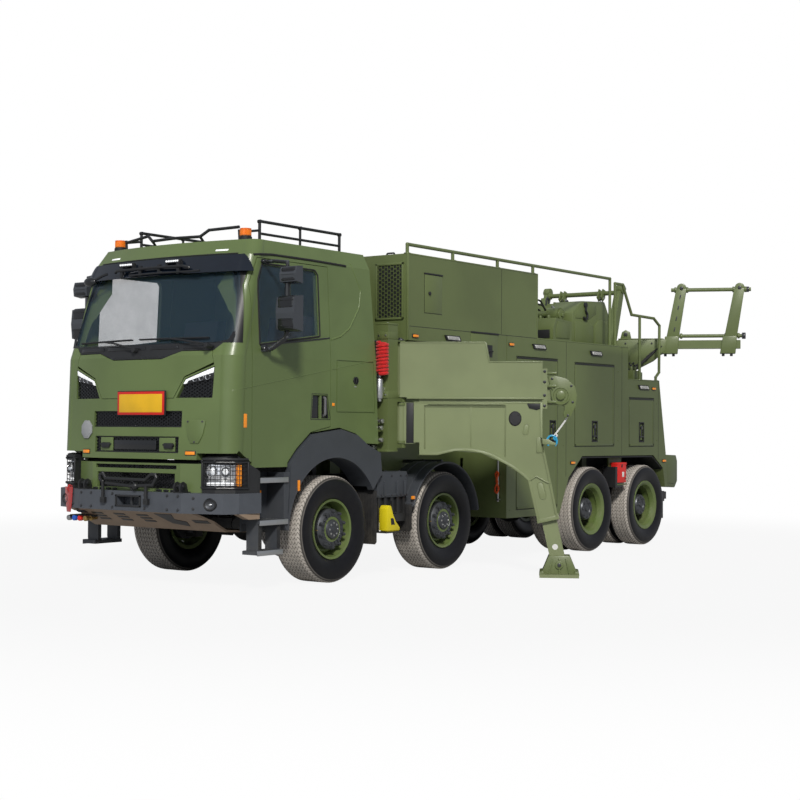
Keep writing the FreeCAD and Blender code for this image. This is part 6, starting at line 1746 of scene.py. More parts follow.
def make_arm_heads():
    """Rope head: bolted plate, forks, sheave cap, fairlead, rope, hook and its lug."""
    parts = [arm_slab([(1.545, z), (1.640, z), (1.655, z + 0.010), (1.640, z + 0.024), (1.545, z + 0.024)],
                      ARM_IN + 0.02, ARM_OUT - 0.02) for z in (2.120, 1.985, 1.820)]
    cheek = [(1.560, 2.100), (1.640, 2.105), (1.750, 2.075), (1.835, 2.000), (1.860, 1.900), (1.845, 1.790),
             (1.800, 1.690), (1.745, 1.665), (1.715, 1.690), (1.735, 1.780), (1.700, 1.800), (1.600, 1.800)]
    parts += [arm_slab(cheek, n, n + 0.012, 0.002) for n in (0.022, -0.124)]
    hub = turned_profile([(0.0, 0.0), (0.0, 0.098), (0.010, 0.098), (0.012, 0.080), (0.004, 0.074), (0.004, 0.050),
                          (0.030, 0.046), (0.036, 0.030), (0.036, 0.0)], (0, 0, 0), "y", 40)
    parts.append(moved(hub, shift(*at_arm(1.690, ARM_OUT - 0.032, 1.900))))
    web = arm_band([(1.560, 2.010), (1.610, 1.985), (1.640, 1.930)], 0.018, 0.030, 0.050)
    web2 = arm_band([(1.560, 1.830), (1.610, 1.840), (1.650, 1.855)], 0.018, 0.030, 0.050)
    fit_arm(parts + [web, web2], "rope_head", "arm", "olive", "olive_paint")
    heads = [bolt(at_arm(1.522, ARM_OUT + 0.005, z), (0, 1, 0), 0.012) for z in (1.79, 1.90, 2.04, 2.15)]
    heads += [bolt(at_arm(s, 0.034, z), (0, 1, 0), 0.010) for s,
              z in ((1.600, 2.075), (1.800, 2.000), (1.815, 1.830), (1.765, 1.690))]
    fit_arm(heads, "rope_head_bolts", "arm", "dark_steel", "grey_steel")
    groove = [drum(at_arm(1.775, n, 1.712), at_arm(1.775, n + 0.02, 1.712), 0.030, 0.003) for n in (-0.08, -0.02)]
    eye = drum(at_arm(1.775, -0.075, 1.712), at_arm(1.775, 0.010, 1.712), 0.018, 0.002)
    fit_arm(groove + [eye], "fairlead", "arm", "zinc", "zinc")
    rope = pipe([at_arm(1.778, -0.032, 1.735), at_arm(1.772, -0.032, 1.700), at_arm(1.735, -0.010, 1.630),
                 at_arm(1.640, 0.100, 1.500)], 0.0095, 0.03)
    eye_loop = pipe([at_arm(1.640, 0.100, 1.502), at_arm(1.655, 0.104, 1.478), at_arm(1.636, 0.108, 1.462),
                     at_arm(1.618, 0.106, 1.478), at_arm(1.640, 0.100, 1.502)], 0.008, 0.02)
    fit_arm([rope, eye_loop], "rope_end", "arm", "white_rope", "zinc")
    ring = []
    for index in range(15):
        a = math.radians(-50 + 20 * index)
        ring.append(at_arm(1.600 + 0.052 * math.cos(a), 0.112, 1.420 + 0.060 * math.sin(a)))
    hook = pipe(ring, 0.0105, 0.02)
    link = pipe([at_arm(1.636, 0.108, 1.470), at_arm(1.650, 0.110, 1.450), at_arm(1.632, 0.112, 1.432),
                 at_arm(1.616, 0.110, 1.450), at_arm(1.636, 0.108, 1.470)], 0.008, 0.02)
    latch = drum(at_arm(1.640, 0.112, 1.455), at_arm(1.655, 0.112, 1.395), 0.007, 0.002, 10)
    fit_arm([hook, link, latch], "hook", "arm", "cyan", "grey_plastic")
    lug = arm_slab([(1.500, 1.445), (1.560, 1.440), (1.640, 1.400), (1.645, 1.380), (1.500, 1.392)],
                   ARM_OUT - 0.020, ARM_OUT + 0.045)
    pad = arm_slab([(1.440, 1.300), (1.525, 1.300), (1.500, 1.460), (1.440, 1.460)], ARM_OUT - 0.002,
                   ARM_OUT + 0.010)
    fit_arm([lug, pad], "hook_lug", "arm", "arm_olive_painted_light", "olive_paint")


def make_legs():
    """Disc, wear strips, foot ribs and pin caps of the support legs."""
    disc = drum(at_arm(leg_s(0.315), LEG_MID + 0.0740, 0.315), at_arm(leg_s(0.315), LEG_MID + 0.0782, 0.315), 0.030,
                0)
    fit_arm(disc, "leg_disc", "leg", "white", "grey_plastic")
    pieces = []
    s = leg_s(0.120)
    pieces.append(arm_slab([(s - 0.190, 0.034), (s + 0.190, 0.034), (s + 0.110, 0.225), (s - 0.110, 0.225)],
                           LEG_MID - 0.120, LEG_MID + 0.120, 0.006))
    for side in (1, -1):
        for offset in (-0.090, 0.0, 0.090):
            n0 = LEG_MID + side * 0.118
            pieces.append(arm_slab([(s + offset * 1.2 - 0.008, 0.034), (s + offset * 1.2 + 0.008, 0.034),
                                    (s + offset * 0.8 + 0.008, 0.200), (s + offset * 0.8 - 0.008, 0.200)], n0,
                                   n0 + side * 0.016))
    for end in (1, -1):
        pieces.append(arm_slab([(s + end * 0.200, 0.004), (s + end * 0.208, 0.030), (s + end * 0.203, 0.062),
                                (s + end * 0.165, 0.070), (s + end * 0.150, 0.034)], LEG_MID - 0.185,
                               LEG_MID + 0.185, 0.003))
    rim = [drum(at_arm(s, LEG_MID + side * 0.118, 0.130), at_arm(s, LEG_MID + side * 0.138, 0.130), 0.042, 0.004)
           for side in (1, -1)]
    fit_arm(pieces + rim, "foot_ribs", "leg", "olive", "olive_paint")
    caps = [drum(at_arm(s, LEG_MID + side * 0.136, 0.130), at_arm(s, LEG_MID + side * 0.150, 0.130), 0.022, 0.003,
                 6) for side in (1, -1)]
    fit_arm(caps, "foot_pin_caps", "leg", "dark_steel", "grey_steel")


# ---- behind the cab --------------------------------------------------------------------------
COIL_POINTS = 10


def coil(x, y, z0, z1, rx, ry, turns, r, way=1):
    """Rope wound round an upright axis."""
    line = []
    steps = turns * COIL_POINTS
    for index in range(steps + 1):
        a = way * 2 * math.pi * index / COIL_POINTS
        line.append((x + rx * math.cos(a), y + ry * math.sin(a), z0 + (z1 - z0) * index / steps))
    return pipe(line, r, 0.012, 1)


def make_cab_rear():
    """Rope bundle, hose fittings, lock cylinder and hoses between cab and body."""
    ropes = [coil(-0.768, 1.172, 2.110, 2.440, 0.048, 0.058, 9, 0.019),
             coil(-0.768, 1.172, 2.125, 2.430, 0.036, 0.046, 9, 0.017, -1)]
    fit_both(ropes, "rope_bundle", "chassis", "red_rope", "rope")
    peg = [drum((-0.840, 1.085, 2.450), (-0.730, 1.085, 2.455), 0.012, 0.002, 16),
           block((-0.840, 1.03, 2.08), (-0.725, 1.14, 2.094), 0.004)]
    peg += [block((-0.846, 1.065, 2.06), (-0.826, 1.105, 2.47), 0.003)]
    fit_both(peg, "rope_peg", "chassis", "dark_steel", "black_steel")
    can = [drum((-0.770, 1.075, 1.780), (-0.770, 1.075, 1.960), 0.040, 0.006), ball((-0.770, 1.075, 1.965), 0.040),
           drum((-0.770, 1.075, 1.975), (-0.770, 1.075, 2.035), 0.016, 0.004),
           drum((-0.770, 1.075, 1.750), (-0.770, 1.075, 1.782), 0.024, 0.003, 6)]
    can.append(block((-0.835, 1.055, 1.84), (-0.800, 1.095, 1.90), 0.004))
    fit_both(moved(joined(can), shift(0, 0.060, 0.075)), "line_filter", "chassis", "alloy", "grey_steel")
    taps = []
    for z, x in ((1.620, -0.775), (1.550, -0.760), (1.425, -0.765)):
        taps += [drum((x, 0.98, z), (x, 1.16, z), 0.016, 0.003, 20),
                 drum((x, 1.08, z), (x, 1.105, z), 0.027, 0.003, 6),
                 drum((x, 1.15, z), (x, 1.185, z), 0.024, 0.004, 20),
                 block((-0.835, 1.00, z - 0.01), (x, 1.03, z + 0.01), 0.003)]
    fit_both(taps, "hose_taps", "chassis", "zinc", "zinc")
    hoses = []
    for index, (y0, z0, y1, z1) in enumerate(((1.01, 1.655, 0.86, 1.10), (1.00, 1.58, 0.80, 1.12),
                                              (1.075, 1.76, 0.92, 1.08), (1.13, 1.655, 1.02, 1.30))):
        x = -0.765 + 0.018 * (index % 2)
        hoses.append(pipe([(x, y0, z0), (x + 0.045, y0 - 0.005, z0 - 0.10),
                           (x + 0.030, (y0 + y1) / 2 + 0.03, (z0 + z1) / 2), (x - 0.02, y1, z1 + 0.06),
                           (x - 0.10, y1 - 0.03, z1)], 0.011, 0.06))
    fit_both(hoses, "cab_hoses", "chassis", "rubber", "black_plastic")
    ram = [drum((-0.790, 0.640, 1.345), (-0.790, 0.860, 1.345), 0.038, 0.005),
           drum((-0.790, 0.855, 1.345), (-0.790, 1.030, 1.345), 0.018, 0.003)]
    ram += [drum((-0.790, 0.88 + 0.028 * k, 1.345), (-0.790, 0.893 + 0.028 * k, 1.345), 0.032, 0.005)
            for k in range(5)]
    ram.append(drum((-0.835, 1.035, 1.345), (-0.765, 1.035, 1.345), 0.026, 0.004))
    ram.append(drum((-0.835, 0.645, 1.345), (-0.765, 0.645, 1.345), 0.026, 0.004))
    fit_both(ram, "lock_ram", "chassis", "alloy", "grey_steel")
    plates = [block((-1.004, 1.040, z), (-0.826, 1.206, z + 0.020), 0.004) for z in (1.300, 2.630)]
    plates += [block((-1.008, 1.060, z), (-0.822, 1.204, z + 0.075), 0.005) for z in (2.480, 1.860)]
    fit_both(plates, "post_plates", "chassis", "olive", "olive_paint")
    studs = [bolt((-0.826, y, z + 0.037), (1, 0, 0), 0.011) for z in (2.480, 1.860) for y in (1.085, 1.175)]
    studs += [bolt((-0.915, 1.13, 2.650), (0, 0, 1), 0.014)]
    fit_both(studs, "post_bolts", "chassis", "zinc", "zinc")
    stack = [drum((-0.915, -0.78, 1.44), (-0.915, -0.78, 2.60), 0.075, 0.01),
             drum((-0.915, -0.78, 2.58), (-0.915, -0.78, 2.92), 0.055, 0.008)]
    fit(stack, "exhaust_stack", "chassis", "dark_steel", "black_steel")
    intake = block((-1.06, 0.10, 1.46), (-0.84, 0.56, 2.36), 0.03, 3)
    slats = row(block((-0.846, 0.14, 1.60), (-0.834, 0.52, 1.615), 0.003), 20, (0, 0, 0.036))
    fit([intake, slats], "air_intake", "chassis", "black_plastic", "black_plastic")


# ---- deck and rear gear ------------------------------------------------------------------------
POSTS = ((0.805, 0.965), (1.588, 1.748))
MAST_LEAN = math.tan(math.radians(19))
MAST_X, MAST_Z = -6.620 - 0.030, 2.330
REAR_LEAN = 0.152


def at_beam(s, x, z):
    """Place on the slewing beam, drawn straight out to the left from its pivot."""
    return (SLEW.x + x, SLEW.y + s, z)


def beam_slab(points, x0, x1, edge=0.003):
    return slab([(SLEW.y + s, z) for s, z in points], "x", SLEW.x + x0, SLEW.x + x1, edge)


def fit_beam(part, name, finish, slot):
    fit(moved(whole(part), about(SLEW, SLEW_TURN)), name, "rear_arm", finish, slot)


def make_rear_arm():
    """Sockets, caps, pins, slots and cheeks of the slewing beam."""
    parts = []
    for foot, top in POSTS:
        parts.append(beam_slab([(foot - 0.105, 2.595), (foot + 0.105, 2.595), (foot + 0.125, 2.835),
                                (foot - 0.065, 2.835)], -0.092, 0.092, 0.010))
        parts.append(drum(at_beam(top, -0.064, 3.500), at_beam(top, 0.064, 3.500), 0.066, 0.006))
        parts.append(beam_slab([(foot - 0.070, 2.700), (foot + 0.105, 2.700), (top + 0.066, 3.490),
                                (top - 0.074, 3.490)], -0.066, 0.066, 0.006))
    for s in (0.880, 1.040, 1.665, 1.825):
        parts.append(drum(at_beam(s - 0.015, 0, 3.480), at_beam(s + 0.015, 0, 3.480), 0.040, 0.004))
    for s in (0.960, 1.560, 1.735):
        parts.append(drum(at_beam(s - 0.015, 0, 2.842), at_beam(s + 0.015, 0, 2.842), 0.038, 0.004))
    cheek = [(-0.06, 2.330), (0.12, 2.310), (0.34, 2.375), (0.58, 2.500), (0.74, 2.640), (0.76, 2.790),
             (0.50, 2.800), (0.10, 2.790), (-0.04, 2.700), (-0.07, 2.550)]
    parts += [beam_slab(cheek, x, x + 0.014, 0.003) for x in (0.080, -0.094)]
    parts += [beam_slab([(0.10, 2.795), (0.72, 2.795), (0.72, 2.808), (0.10, 2.808)], -0.100, 0.100)]
    ears = [beam_slab([(0.120, 2.790), (0.280, 2.790), (0.255, 2.905), (0.200, 2.930), (0.150, 2.900)], x,
                      x + 0.016) for x in (-0.05, 0.034)]
    fit_beam(parts + ears, "beam_details", "olive", "olive_paint")
    dark = [drum(at_beam(1.835, 0, 3.480), at_beam(1.874, 0, 3.480), 0.038, 0.004, 24),
            drum(at_beam(1.780, 0, 2.842), at_beam(1.830, 0, 2.842), 0.044, 0.006, 24)]
    dark += [drum(at_beam(top, 0.062, 3.500), at_beam(top, 0.078, 3.500), 0.026, 0.004, 6) for _, top in POSTS]
    dark += [drum(at_beam(foot + d, 0.03, 2.560), at_beam(foot + d, 0.03, 2.600), 0.020, 0.003, 6) for foot,
             _ in POSTS for d in (-0.06, 0.05)]
    dark += [drum(at_beam(0.200, -0.065, 2.870), at_beam(0.200, 0.065, 2.870), 0.026, 0.003, 20)]
    for z in (2.93, 3.08, 3.23, 3.38):
        t = (z - 2.60) / 0.92
        mid = 0.805 + 0.16 * t
        dark.append(beam_slab([(mid - 0.008, z - 0.030), (mid + 0.008, z - 0.030), (mid + 0.020, z + 0.030),
                               (mid + 0.004, z + 0.030)], 0.0655, 0.0685, 0.001))
    dark += [drum(at_beam(s, 0.094, z), at_beam(s, 0.106, z), 0.013, 0.002, 6) for s, z in
             ((0.02, 2.74), (0.20, 2.74), (0.38, 2.74), (0.56, 2.74), (0.08, 2.42), (0.30, 2.46), (0.50, 2.56))]
    fit_beam(dark, "beam_pins", "dark_steel", "grey_steel")
    hose = [pipe([at_beam(0.10, 0.11, 2.50), at_beam(0.22, 0.15, 2.36), at_beam(0.42, 0.14, 2.47),
                  at_beam(0.55, 0.11, 2.60), at_beam(0.70, 0.085, 2.70)], 0.012, 0.05),
            pipe([at_beam(0.04, 0.10, 2.55), at_beam(0.16, 0.17, 2.33), at_beam(0.36, 0.16, 2.40),
                  at_beam(0.62, 0.10, 2.64)], 0.012, 0.05)]
    fit_beam(hose, "beam_hoses", "rubber", "black_plastic")


CHAIN_R = 0.011
CHAIN_LINK = 0.055


def chain(points):
    """Oval links from point to point, each turned a quarter from the last."""
    links = []
    turn = 0
    for start, end in zip(points[:-1], points[1:]):
        start, end = Vector(start), Vector(end)
        way = (end - start).normalized()
        side = way.cross(Vector((0.3, 1, 0.2))).normalized()
        count = max(1, int((end - start).length / (CHAIN_LINK * 0.72)))
        for index in range(count):
            middle = start + (end - start) * (index + 0.5) / count
            across = side if turn % 2 else way.cross(side)
            turn += 1
            ring = []
            for a in range(8):
                angle = 2 * math.pi * a / 8
                ring.append(middle + way * math.cos(angle) * CHAIN_LINK / 2
                            + across * math.sin(angle) * CHAIN_LINK * 0.30)
            links.append(pipe(ring + [ring[0]], CHAIN_R * 0.75, 0.012, 1))
    return joined(links)


def make_mast():
    """Caps, ears, cross plates, chain and tie of the leaning mast."""
    def at_mast(h, y):
        return (MAST_X - h * MAST_LEAN, y, MAST_Z + h)

    parts = []
    for side in (1, -1):
        y = side * 0.590
        parts.append(drum(at_mast(1.180, y - 0.045), at_mast(1.180, y + 0.045), 0.066, 0.006))
        foot, head = 0.10 * MAST_LEAN, 1.10 * MAST_LEAN
        parts.append(slab([(-6.560 - foot, 2.43), (-6.545 - foot, 2.43), (-6.560 - head, 3.43),
                           (-6.580 - head, 3.43)], "y", y - 0.046, y + 0.046, 0.002))
        parts.append(drum(at_mast(1.130, y - side * 0.060), at_mast(1.130, y - side * 0.035), 0.050, 0.004))
    parts += [slab([(-6.99, 3.52), (-6.93, 3.40), (-6.99, 3.34), (-7.05, 3.40), (-7.06, 3.50)], "y", y, y + 0.018,
                   0.003) for y in (0.27, 0.33, -0.29, -0.35)]
    fit(parts, "mast_details", "mast", "olive", "olive_paint")
    pins = [drum(at_mast(1.180, side * 0.630), at_mast(1.180, side * 0.662), 0.030, 0.004, 6) for side in (1, -1)]
    pins += [drum((-7.0, y, 3.385), (-7.0, y + 0.11, 3.385), 0.014, 0.002, 12) for y in (0.255, -0.365)]
    pins.append(chain([(-7.00, 0.31, 3.37), (-7.02, 0.33, 3.22), (-7.06, 0.36, 3.10)]))
    pins.append(chain([(-7.00, -0.31, 3.37), (-6.95, -0.24, 3.20), (-6.93, -0.20, 3.02)]))
    fit(pins, "mast_chain", "mast", "zinc", "zinc")
    tie = [drum((-7.065, 0.362, 3.095), (-7.10, 0.395, 2.985), 0.024, 0.004, 16),
           drum((-7.10, 0.395, 2.99), (-7.135, 0.425, 2.900), 0.013, 0.002, 12),
           drum((-7.060, 0.360, 3.12), (-7.066, 0.364, 3.09), 0.013, 0.002, 12)]
    fit(tie, "mast_tie", "mast", "olive", "olive_paint")


def make_winch():
    """Chamfer panels, hook, eyes, rope, hood opening, cylinders and hoses on the deck."""
    panels = []
    for side in (1, -1):
        y = side * 0.600
        for points in ([(-5.400, 2.30), (-5.960, 2.30), (-5.960, 2.52), (-5.880, 2.60), (-5.480, 2.60),
                        (-5.400, 2.52)], [(-5.440, 2.68), (-5.700, 2.68), (-5.700, 2.94), (-5.480, 2.94),
                                          (-5.400, 2.86), (-5.400, 2.72)],
                       [(-5.740, 2.68), (-5.960, 2.68), (-5.970, 2.94), (-5.740, 2.94)]):
            panels.append(slab(points, "y", y - side * 0.002, y + side * 0.010, 0.004))
    for y in (-0.40, 0.0, 0.40):
        panels.append(block((-5.346, y - 0.006, 2.24), (-5.336, y + 0.006, 3.05), 0.002))
        panels.append(block((-6.032, y - 0.006, 2.24), (-6.018, y + 0.006, 3.08), 0.002))
    wing = slab([(-5.030, 2.625), (-6.040, 2.625), (-6.040, 3.000), (-5.880, 3.230), (-5.290, 3.200),
                 (-5.040, 3.040)], "y", 0.590, 0.980, 0.012)
    facets = [slab([(-5.080, 2.660), (-5.560, 2.660), (-5.560, 2.880), (-5.480, 2.930), (-5.080, 2.930)], "y",
                   0.975, 0.990, 0.005), slab([(-5.600, 2.660), (-6.000, 2.660), (-6.000, 2.980), (-5.700, 2.980),
                                               (-5.600, 2.900)], "y", 0.975, 0.990, 0.005),
              slab([(-5.100, 2.970), (-5.440, 2.970), (-5.640, 3.060), (-5.640, 3.190), (-5.310, 3.175),
                    (-5.100, 3.040)], "y", 0.975, 0.988, 0.005)]
    panels += [wing] + facets
    panels += [block((-5.88, side * 0.430 - 0.012, 3.185), (-5.50, side * 0.430 + 0.012, 3.225), 0.005)
               for side in (1, -1)]
    fit(panels, "winch_panels", "chassis", "olive", "olive_paint")
    fixings = [pipe([(x, y, 3.19), (x, y, 3.25), (x - 0.03, y, 3.285), (x - 0.06, y, 3.25), (x - 0.06, y, 3.19)],
                    0.011, 0.03) for x in (-5.42, -5.94) for y in (0.36, -0.36)]
    fixings += [bolt((x, side * 0.608, z), (0, side, 0), 0.011) for side in (1, -1) for x in (-5.38, -5.70, -5.99)
                for z in (2.26, 2.64, 2.97)]
    fit(fixings, "winch_fixings", "chassis", "dark_steel", "grey_steel")
    hook = pipe([(-5.34, 1.004, 3.125), (-5.34, 1.004, 3.075), (-5.38, 1.004, 3.035), (-5.38, 1.004, 2.985),
                 (-5.33, 1.004, 2.960), (-5.29, 1.004, 2.990)], 0.015, 0.02)
    shank = drum((-5.34, 0.984, 3.150), (-5.34, 1.014, 3.150), 0.035, 0.004)
    fit([hook, shank], "winch_hook", "chassis", "black_paint", "black_steel")
    wraps = row(turned_profile([(-0.4, 0.092), (-0.392, 0.0965), (-0.384, 0.092)], (-5.690, 0.0, 3.100), "y", 32),
                49, (0, 0.0163, 0))
    flange = [drum((-5.690, y, 3.10), (-5.690, y + 0.012, 3.10), 0.110, 0.003, 40) for y in (-0.418, 0.406)]
    fit([wraps] + flange, "winch_rope", "chassis", "zinc", "zinc")
    lips = [block((-4.868, 0.795, z), (-4.852, 1.045, z + 0.012), 0.003) for z in (2.668, 2.860)]
    lips += [block((-4.868, y, 2.668), (-4.852, y + 0.010, 2.872), 0.003) for y in (0.792, 1.038)]
    lips += [slab([(-4.384, 2.64), (-4.376, 2.64), (-4.376, 2.788), (-4.452, 2.930), (-4.462, 2.926),
                   (-4.386, 2.786)], "y", 0.752, 1.088, 0.002),
             slab([(-4.46, 2.68), (-4.78, 2.68), (-4.80, 2.87), (-4.50, 2.89), (-4.46, 2.80)], "y", 1.078, 1.088,
                  0.004)]
    fit(lips, "hood_edges", "chassis", "olive", "olive_paint")
    dark = [block((-4.862, 0.804, 2.684), (-4.8015, 1.036, 2.856), 0.002),
            slab([(-4.376, 2.675), (-4.368, 2.675), (-4.368, 2.780), (-4.376, 2.780)], "y", 0.80, 1.04, 0.001)]
    fit(dark, "hood_mouth", "chassis", "black_plastic", "black_plastic")
    gear = [drum((-4.900, 0.876, 3.000), (-4.900, 0.905, 3.000), 0.070, 0.005),
            drum((-4.900, 0.90, 3.000), (-4.900, 0.925, 3.000), 0.030, 0.004, 6),
            drum((-4.30, 0.62, 2.985), (-4.86, 0.72, 3.010), 0.040, 0.006),
            drum((-4.14, 0.60, 2.978), (-4.32, 0.62, 2.986), 0.022, 0.003),
            block((-4.20, 0.56, 2.63), (-4.12, 0.66, 3.00), 0.006),
            drum((-4.16, 0.54, 2.975), (-4.16, 0.68, 2.975), 0.034, 0.004)]
    gear += [drum((-4.48, y, 2.905), (-4.48, y, 2.965), 0.020, 0.004, 12) for y in (0.84, 0.96)]
    fit(gear, "feeder_gear", "chassis", "olive", "olive_paint")
    rope = pipe([(-4.90, 0.80, 3.085), (-5.20, 0.60, 3.13), (-5.55, 0.36, 3.19)], 0.010, 0.05)
    fit(rope, "feeder_rope", "chassis", "zinc", "zinc")
    hoses = []
    for y, rise in ((0.70, 0.10), (0.67, 0.16), (0.64, 0.05)):
        hoses.append(pipe([(-4.24, y - 0.05, 3.01), (-4.40, y, 3.04 + rise), (-4.75, y + 0.01, 3.02 + rise),
                           (-5.05, y, 2.90), (-5.16, y - 0.02, 2.66), (-5.18, y - 0.02, 2.24)], 0.012, 0.08))
    for k, y in enumerate((0.16, 0.24, 0.32, 0.42)):
        hoses.append(pipe([(-6.03, y, 2.60 + 0.05 * k), (-6.18, y + 0.02, 2.72 + 0.04 * k),
                           (-6.42, y + 0.06, 2.52 + 0.05 * k), (-6.62, y + 0.04, 2.34), (-6.78, y, 2.24)], 0.013,
                          0.08))
    for k, y in enumerate((0.46, 0.38)):
        hoses.append(pipe([(-6.05, y, 2.95), (-6.20, y + 0.06, 3.10 - 0.1 * k), (-6.30, y + 0.08, 2.86),
                           (-6.26, y + 0.05, 2.50), (-6.34, y, 2.23)], 0.012, 0.08))
    fit(hoses, "deck_hoses", "chassis", "rubber", "black_plastic")
    bank = [block((-6.72, 0.72, 2.205), (-6.50, 1.08, 2.345), 0.008),
            block((-6.885, 0.70, 2.205), (-6.76, 1.02, 2.330), 0.008)]
    bank += [drum((-6.60 + d, y, 2.34), (-6.60 + d, y, 2.40), 0.022, 0.003, 12) for d in (-0.05, 0.05)
             for y in (0.78, 0.90, 1.02)]
    bank += [block((-6.40, -1.05, 2.205), (-6.15, -0.70, 2.42), 0.01),
             drum((-6.29, -0.80, 2.42), (-6.29, -0.80, 2.50), 0.05, 0.006)]
    fit(bank, "valve_bank", "chassis", "olive", "olive_paint")
    knobs = [drum((-6.60 + d, y, 2.395), (-6.60 + d, y, 2.425), 0.014, 0.003, 8) for d in (-0.05, 0.05)
             for y in (0.78, 0.90, 1.02)]
    knobs += [pipe([(-6.82, 0.75 + 0.06 * k, 2.325), (-6.81, 0.75 + 0.06 * k, 2.40),
                    (-6.79, 0.75 + 0.06 * k, 2.45)], 0.006, 0.02) for k in range(4)]
    knobs += [ball((-6.79, 0.75 + 0.06 * k, 2.455), 0.014, rings=8) for k in range(4)]
    fit(knobs, "valve_knobs", "chassis", "black_plastic", "black_plastic")


def make_tail():
    """Tail boxes, lamps, reflectors, flaps and plate behind the last wheels."""
    wing = slab([(-7.120, 1.205), (-7.560, 1.190), (-7.600, 1.110), (-7.600, 0.830), (-7.520, 0.740),
                 (-7.150, 0.770)], "y", 0.830, 1.195, 0.010)
    edge = [slab([(-7.16, 1.15), (-7.54, 1.135), (-7.555, 1.10), (-7.555, 0.85), (-7.50, 0.79), (-7.17, 0.82)], "y",
                 1.190, 1.204, 0.004)]
    hinge = row(drum((-7.165, 1.205, 0.80), (-7.165, 1.205, 0.88), 0.016, 0.003, 16), 4, (0, 0, 0.10))
    fit_both([wing] + edge + [hinge], "tail_box", "chassis", "olive", "olive_paint")
    stay = [block((-7.24, 0.90, 0.69), (-7.16, 1.10, 0.78), 0.006),
            block((-7.30, 0.86, 0.68), (-7.20, 0.90, 0.80), 0.004)]
    fit_both(stay, "tail_box_stay", "chassis", "black_paint", "black_steel")
    lens = block((-7.296, 0.815, 0.600), (-7.284, 1.005, 0.680), 0.006)
    fit_both(lens, "tail_lamp_red", "chassis", "red_lens", "amber_lens")
    amber = block((-7.296, 1.010, 0.600), (-7.284, 1.165, 0.680), 0.006)
    fit_both(amber, "tail_lamp_amber", "chassis", "amber", "amber_lens")
    clear = block((-7.237, 0.52, 0.605), (-7.226, 0.66, 0.670), 0.005)
    fit_both(clear, "reverse_lamp", "chassis", "clear_lens", "clear_lens")
    plate = block((-7.237, 0.12, 0.560), (-7.229, 0.46, 0.640), 0.004)
    fit(plate, "rear_plate", "chassis", "plate_grey", "grey_plastic")
    flap = slab([(0.650, 0.600), (1.195, 0.600), (1.195, 0.345), (1.170, 0.325), (0.675, 0.325), (0.650, 0.345)],
                "x", -7.164, -7.150, 0.003)
    fit_both(flap, "rear_flap", "chassis", "rubber", "black_plastic")
    jaw = [drum((-7.350, 0, 0.545), (-7.350, 0, 0.735), 0.0165, 0.003),
           drum((-7.350, 0, 0.735), (-7.350, 0, 0.752), 0.034, 0.004)]
    fit(jaw, "jaw_pin", "chassis", "zinc", "zinc")
    ring = [block((-7.31, -0.105, 0.56), (-7.30, 0.105, 0.70), 0.003),
            block((-7.155, -0.14, 0.54), (-7.145, 0.14, 0.72), 0.003)]
    fit(ring, "jaw_plate", "chassis", "black_paint", "black_steel")
    doors = [block((-7.010, y, 1.330), (-6.98, y + 0.580, 2.08), 0.006) for y in (-0.600, 0.020)]
    for door in doors:
        for vertex in door.data.vertices:
            vertex.co.x -= (2.210 - vertex.co.z) * REAR_LEAN - 0.040
    fit(doors, "rear_panels", "chassis", "olive", "olive_paint")


# ---- add-on ------------------------------------------------------------------------------
class TruckColours(bpy.types.PropertyGroup):
    """Paint colours of the truck."""
    olive: bpy.props.FloatVectorProperty(name="Body paint", description="Olive of the cab and body", size=3,
                                         subtype="COLOR", default=OLIVE, min=0, max=1)
    cab: bpy.props.FloatVectorProperty(name="Cab paint", description="Olive of the cab", size=3, subtype="COLOR",
                                       default=CAB_OLIVE, min=0, max=1)
    rims: bpy.props.FloatVectorProperty(name="Rim paint", description="Green of the wheel rims", size=3,
                                        subtype="COLOR", default=RIM_GREEN, min=0, max=1)
    chocks: bpy.props.FloatVectorProperty(name="Chock yellow", description="Yellow of the wheel chocks", size=3,
                                          subtype="COLOR", default=(0.75, 0.62, 0.01), min=0, max=1)


class TruckStage(bpy.types.PropertyGroup):
    """Light of the stage."""
    sky: bpy.props.FloatProperty(name="Sky", description="Strength of the surroundings", default=0.37, min=0)
    key: bpy.props.FloatProperty(name="Key", description="Strength of the main lamp", default=2.60, min=0)
    fill: bpy.props.FloatProperty(name="Fill", description="Strength of the lamp from ahead", default=0.35, min=0)


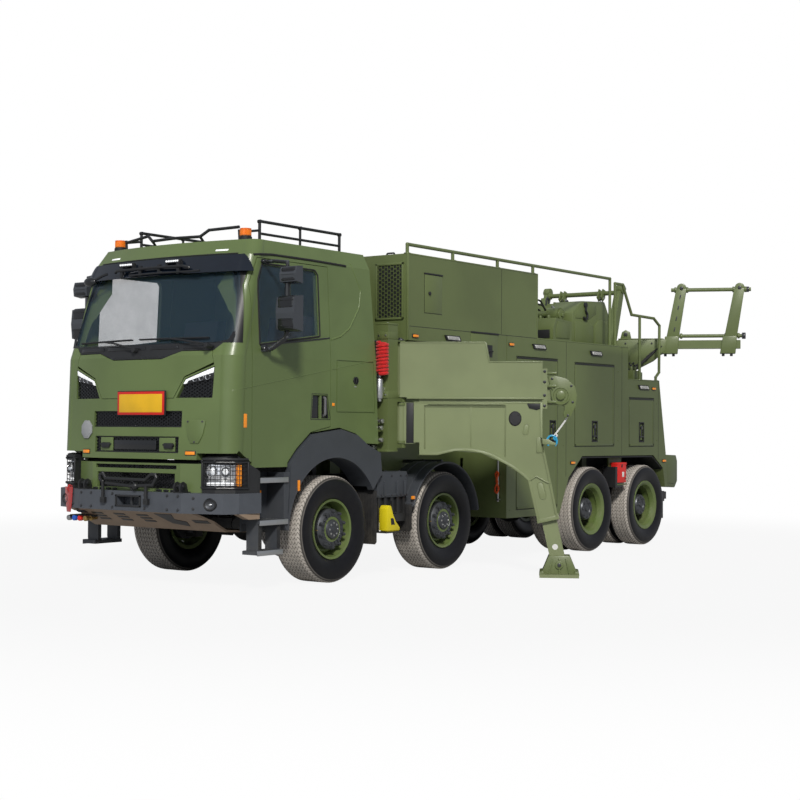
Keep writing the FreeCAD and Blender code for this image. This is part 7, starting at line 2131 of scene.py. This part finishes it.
def step(idname, label, words, *jobs):
    """Operator class that runs some jobs in order."""
    def execute(self, context):
        for job in jobs:
            job()
        return {"FINISHED"}
    name = "TRUCK_OT_" + idname
    return type(name, (bpy.types.Operator,), {"__doc__": words, "bl_idname": "truck." + idname, "bl_label": label,
                                              "bl_options": {"REGISTER", "UNDO"}, "execute": execute})
STEPS = [
    step("stage", "Stage and camera", "Floor, surroundings, lamps and camera", make_stage, make_camera),
    step("finishes", "Finishes of the frame", "Give each node of the frame its finish", make_finishes,
         finish_nodes),
    step("wheels", "Tyres and hubs", "Treads, hub covers, nuts and rim lips", make_tyres, make_hubs),
    step("cab_front", "Cab front", "Grilles, lamps, screen trim and plates", make_grilles, make_front_lamps,
         make_screen_trim, make_plates),
    step("cab_sides", "Cab sides", "Door details, mirrors and roof fittings", make_door_details, make_side_lines,
         make_mirrors, make_roof),
    step("front_end", "Front end", "Headlamps, bumper fittings and steps", make_headlamps, make_bumper_trim,
         make_steps),
    step("underbody", "Underbody", "Mudguards, battery cover, chocks and springs", make_mudguards, make_underbody),
    step("body_side", "Body sides", "Locker flaps, lamps, markers and seams", make_lockers, make_body_side,
         make_tall_box),
    step("side_arms", "Side arms", "Flanges, plugs, rope heads, hooks and feet of the side arms", make_side_arms,
         make_arm_heads, make_legs),
    step("cab_rear", "Behind the cab", "Rope bundle, couplings, hoses and stack", make_cab_rear),
    step("deck_gear", "Deck gear", "Winch, mast, slewing beam and hoses", make_winch, make_mast, make_rear_arm),
    step("tail", "Tail", "Tail boxes, lamps, flaps and plate", make_tail),
]


class TruckPanel(bpy.types.Panel):
    """Lists the settings and every step."""
    bl_label = "Recovery truck"
    bl_idname = "VIEW3D_PT_recovery_truck"
    bl_space_type = "VIEW_3D"
    bl_region_type = "UI"
    bl_category = "Recovery truck"

    def draw(self, context):
        for group in (context.scene.truck_colours, context.scene.truck_stage):
            for key in group.bl_rna.properties.keys():
                if key not in ("rna_type", "name"):
                    self.layout.prop(group, key)
        for operator in STEPS:
            self.layout.operator(operator.bl_idname)


def register():
    for cls in (TruckColours, TruckStage, *STEPS, TruckPanel):
        bpy.utils.register_class(cls)
    bpy.types.Scene.truck_colours = bpy.props.PointerProperty(type=TruckColours)
    bpy.types.Scene.truck_stage = bpy.props.PointerProperty(type=TruckStage)


def unregister():
    del bpy.types.Scene.truck_stage
    del bpy.types.Scene.truck_colours
    for cls in reversed((TruckColours, TruckStage, *STEPS, TruckPanel)):
        bpy.utils.unregister_class(cls)


def main():
    register()
    for operator in STEPS:
        getattr(bpy.ops.truck, operator.bl_idname.split(".")[1])()
    clear()


if __name__ == "__main__":
    main()
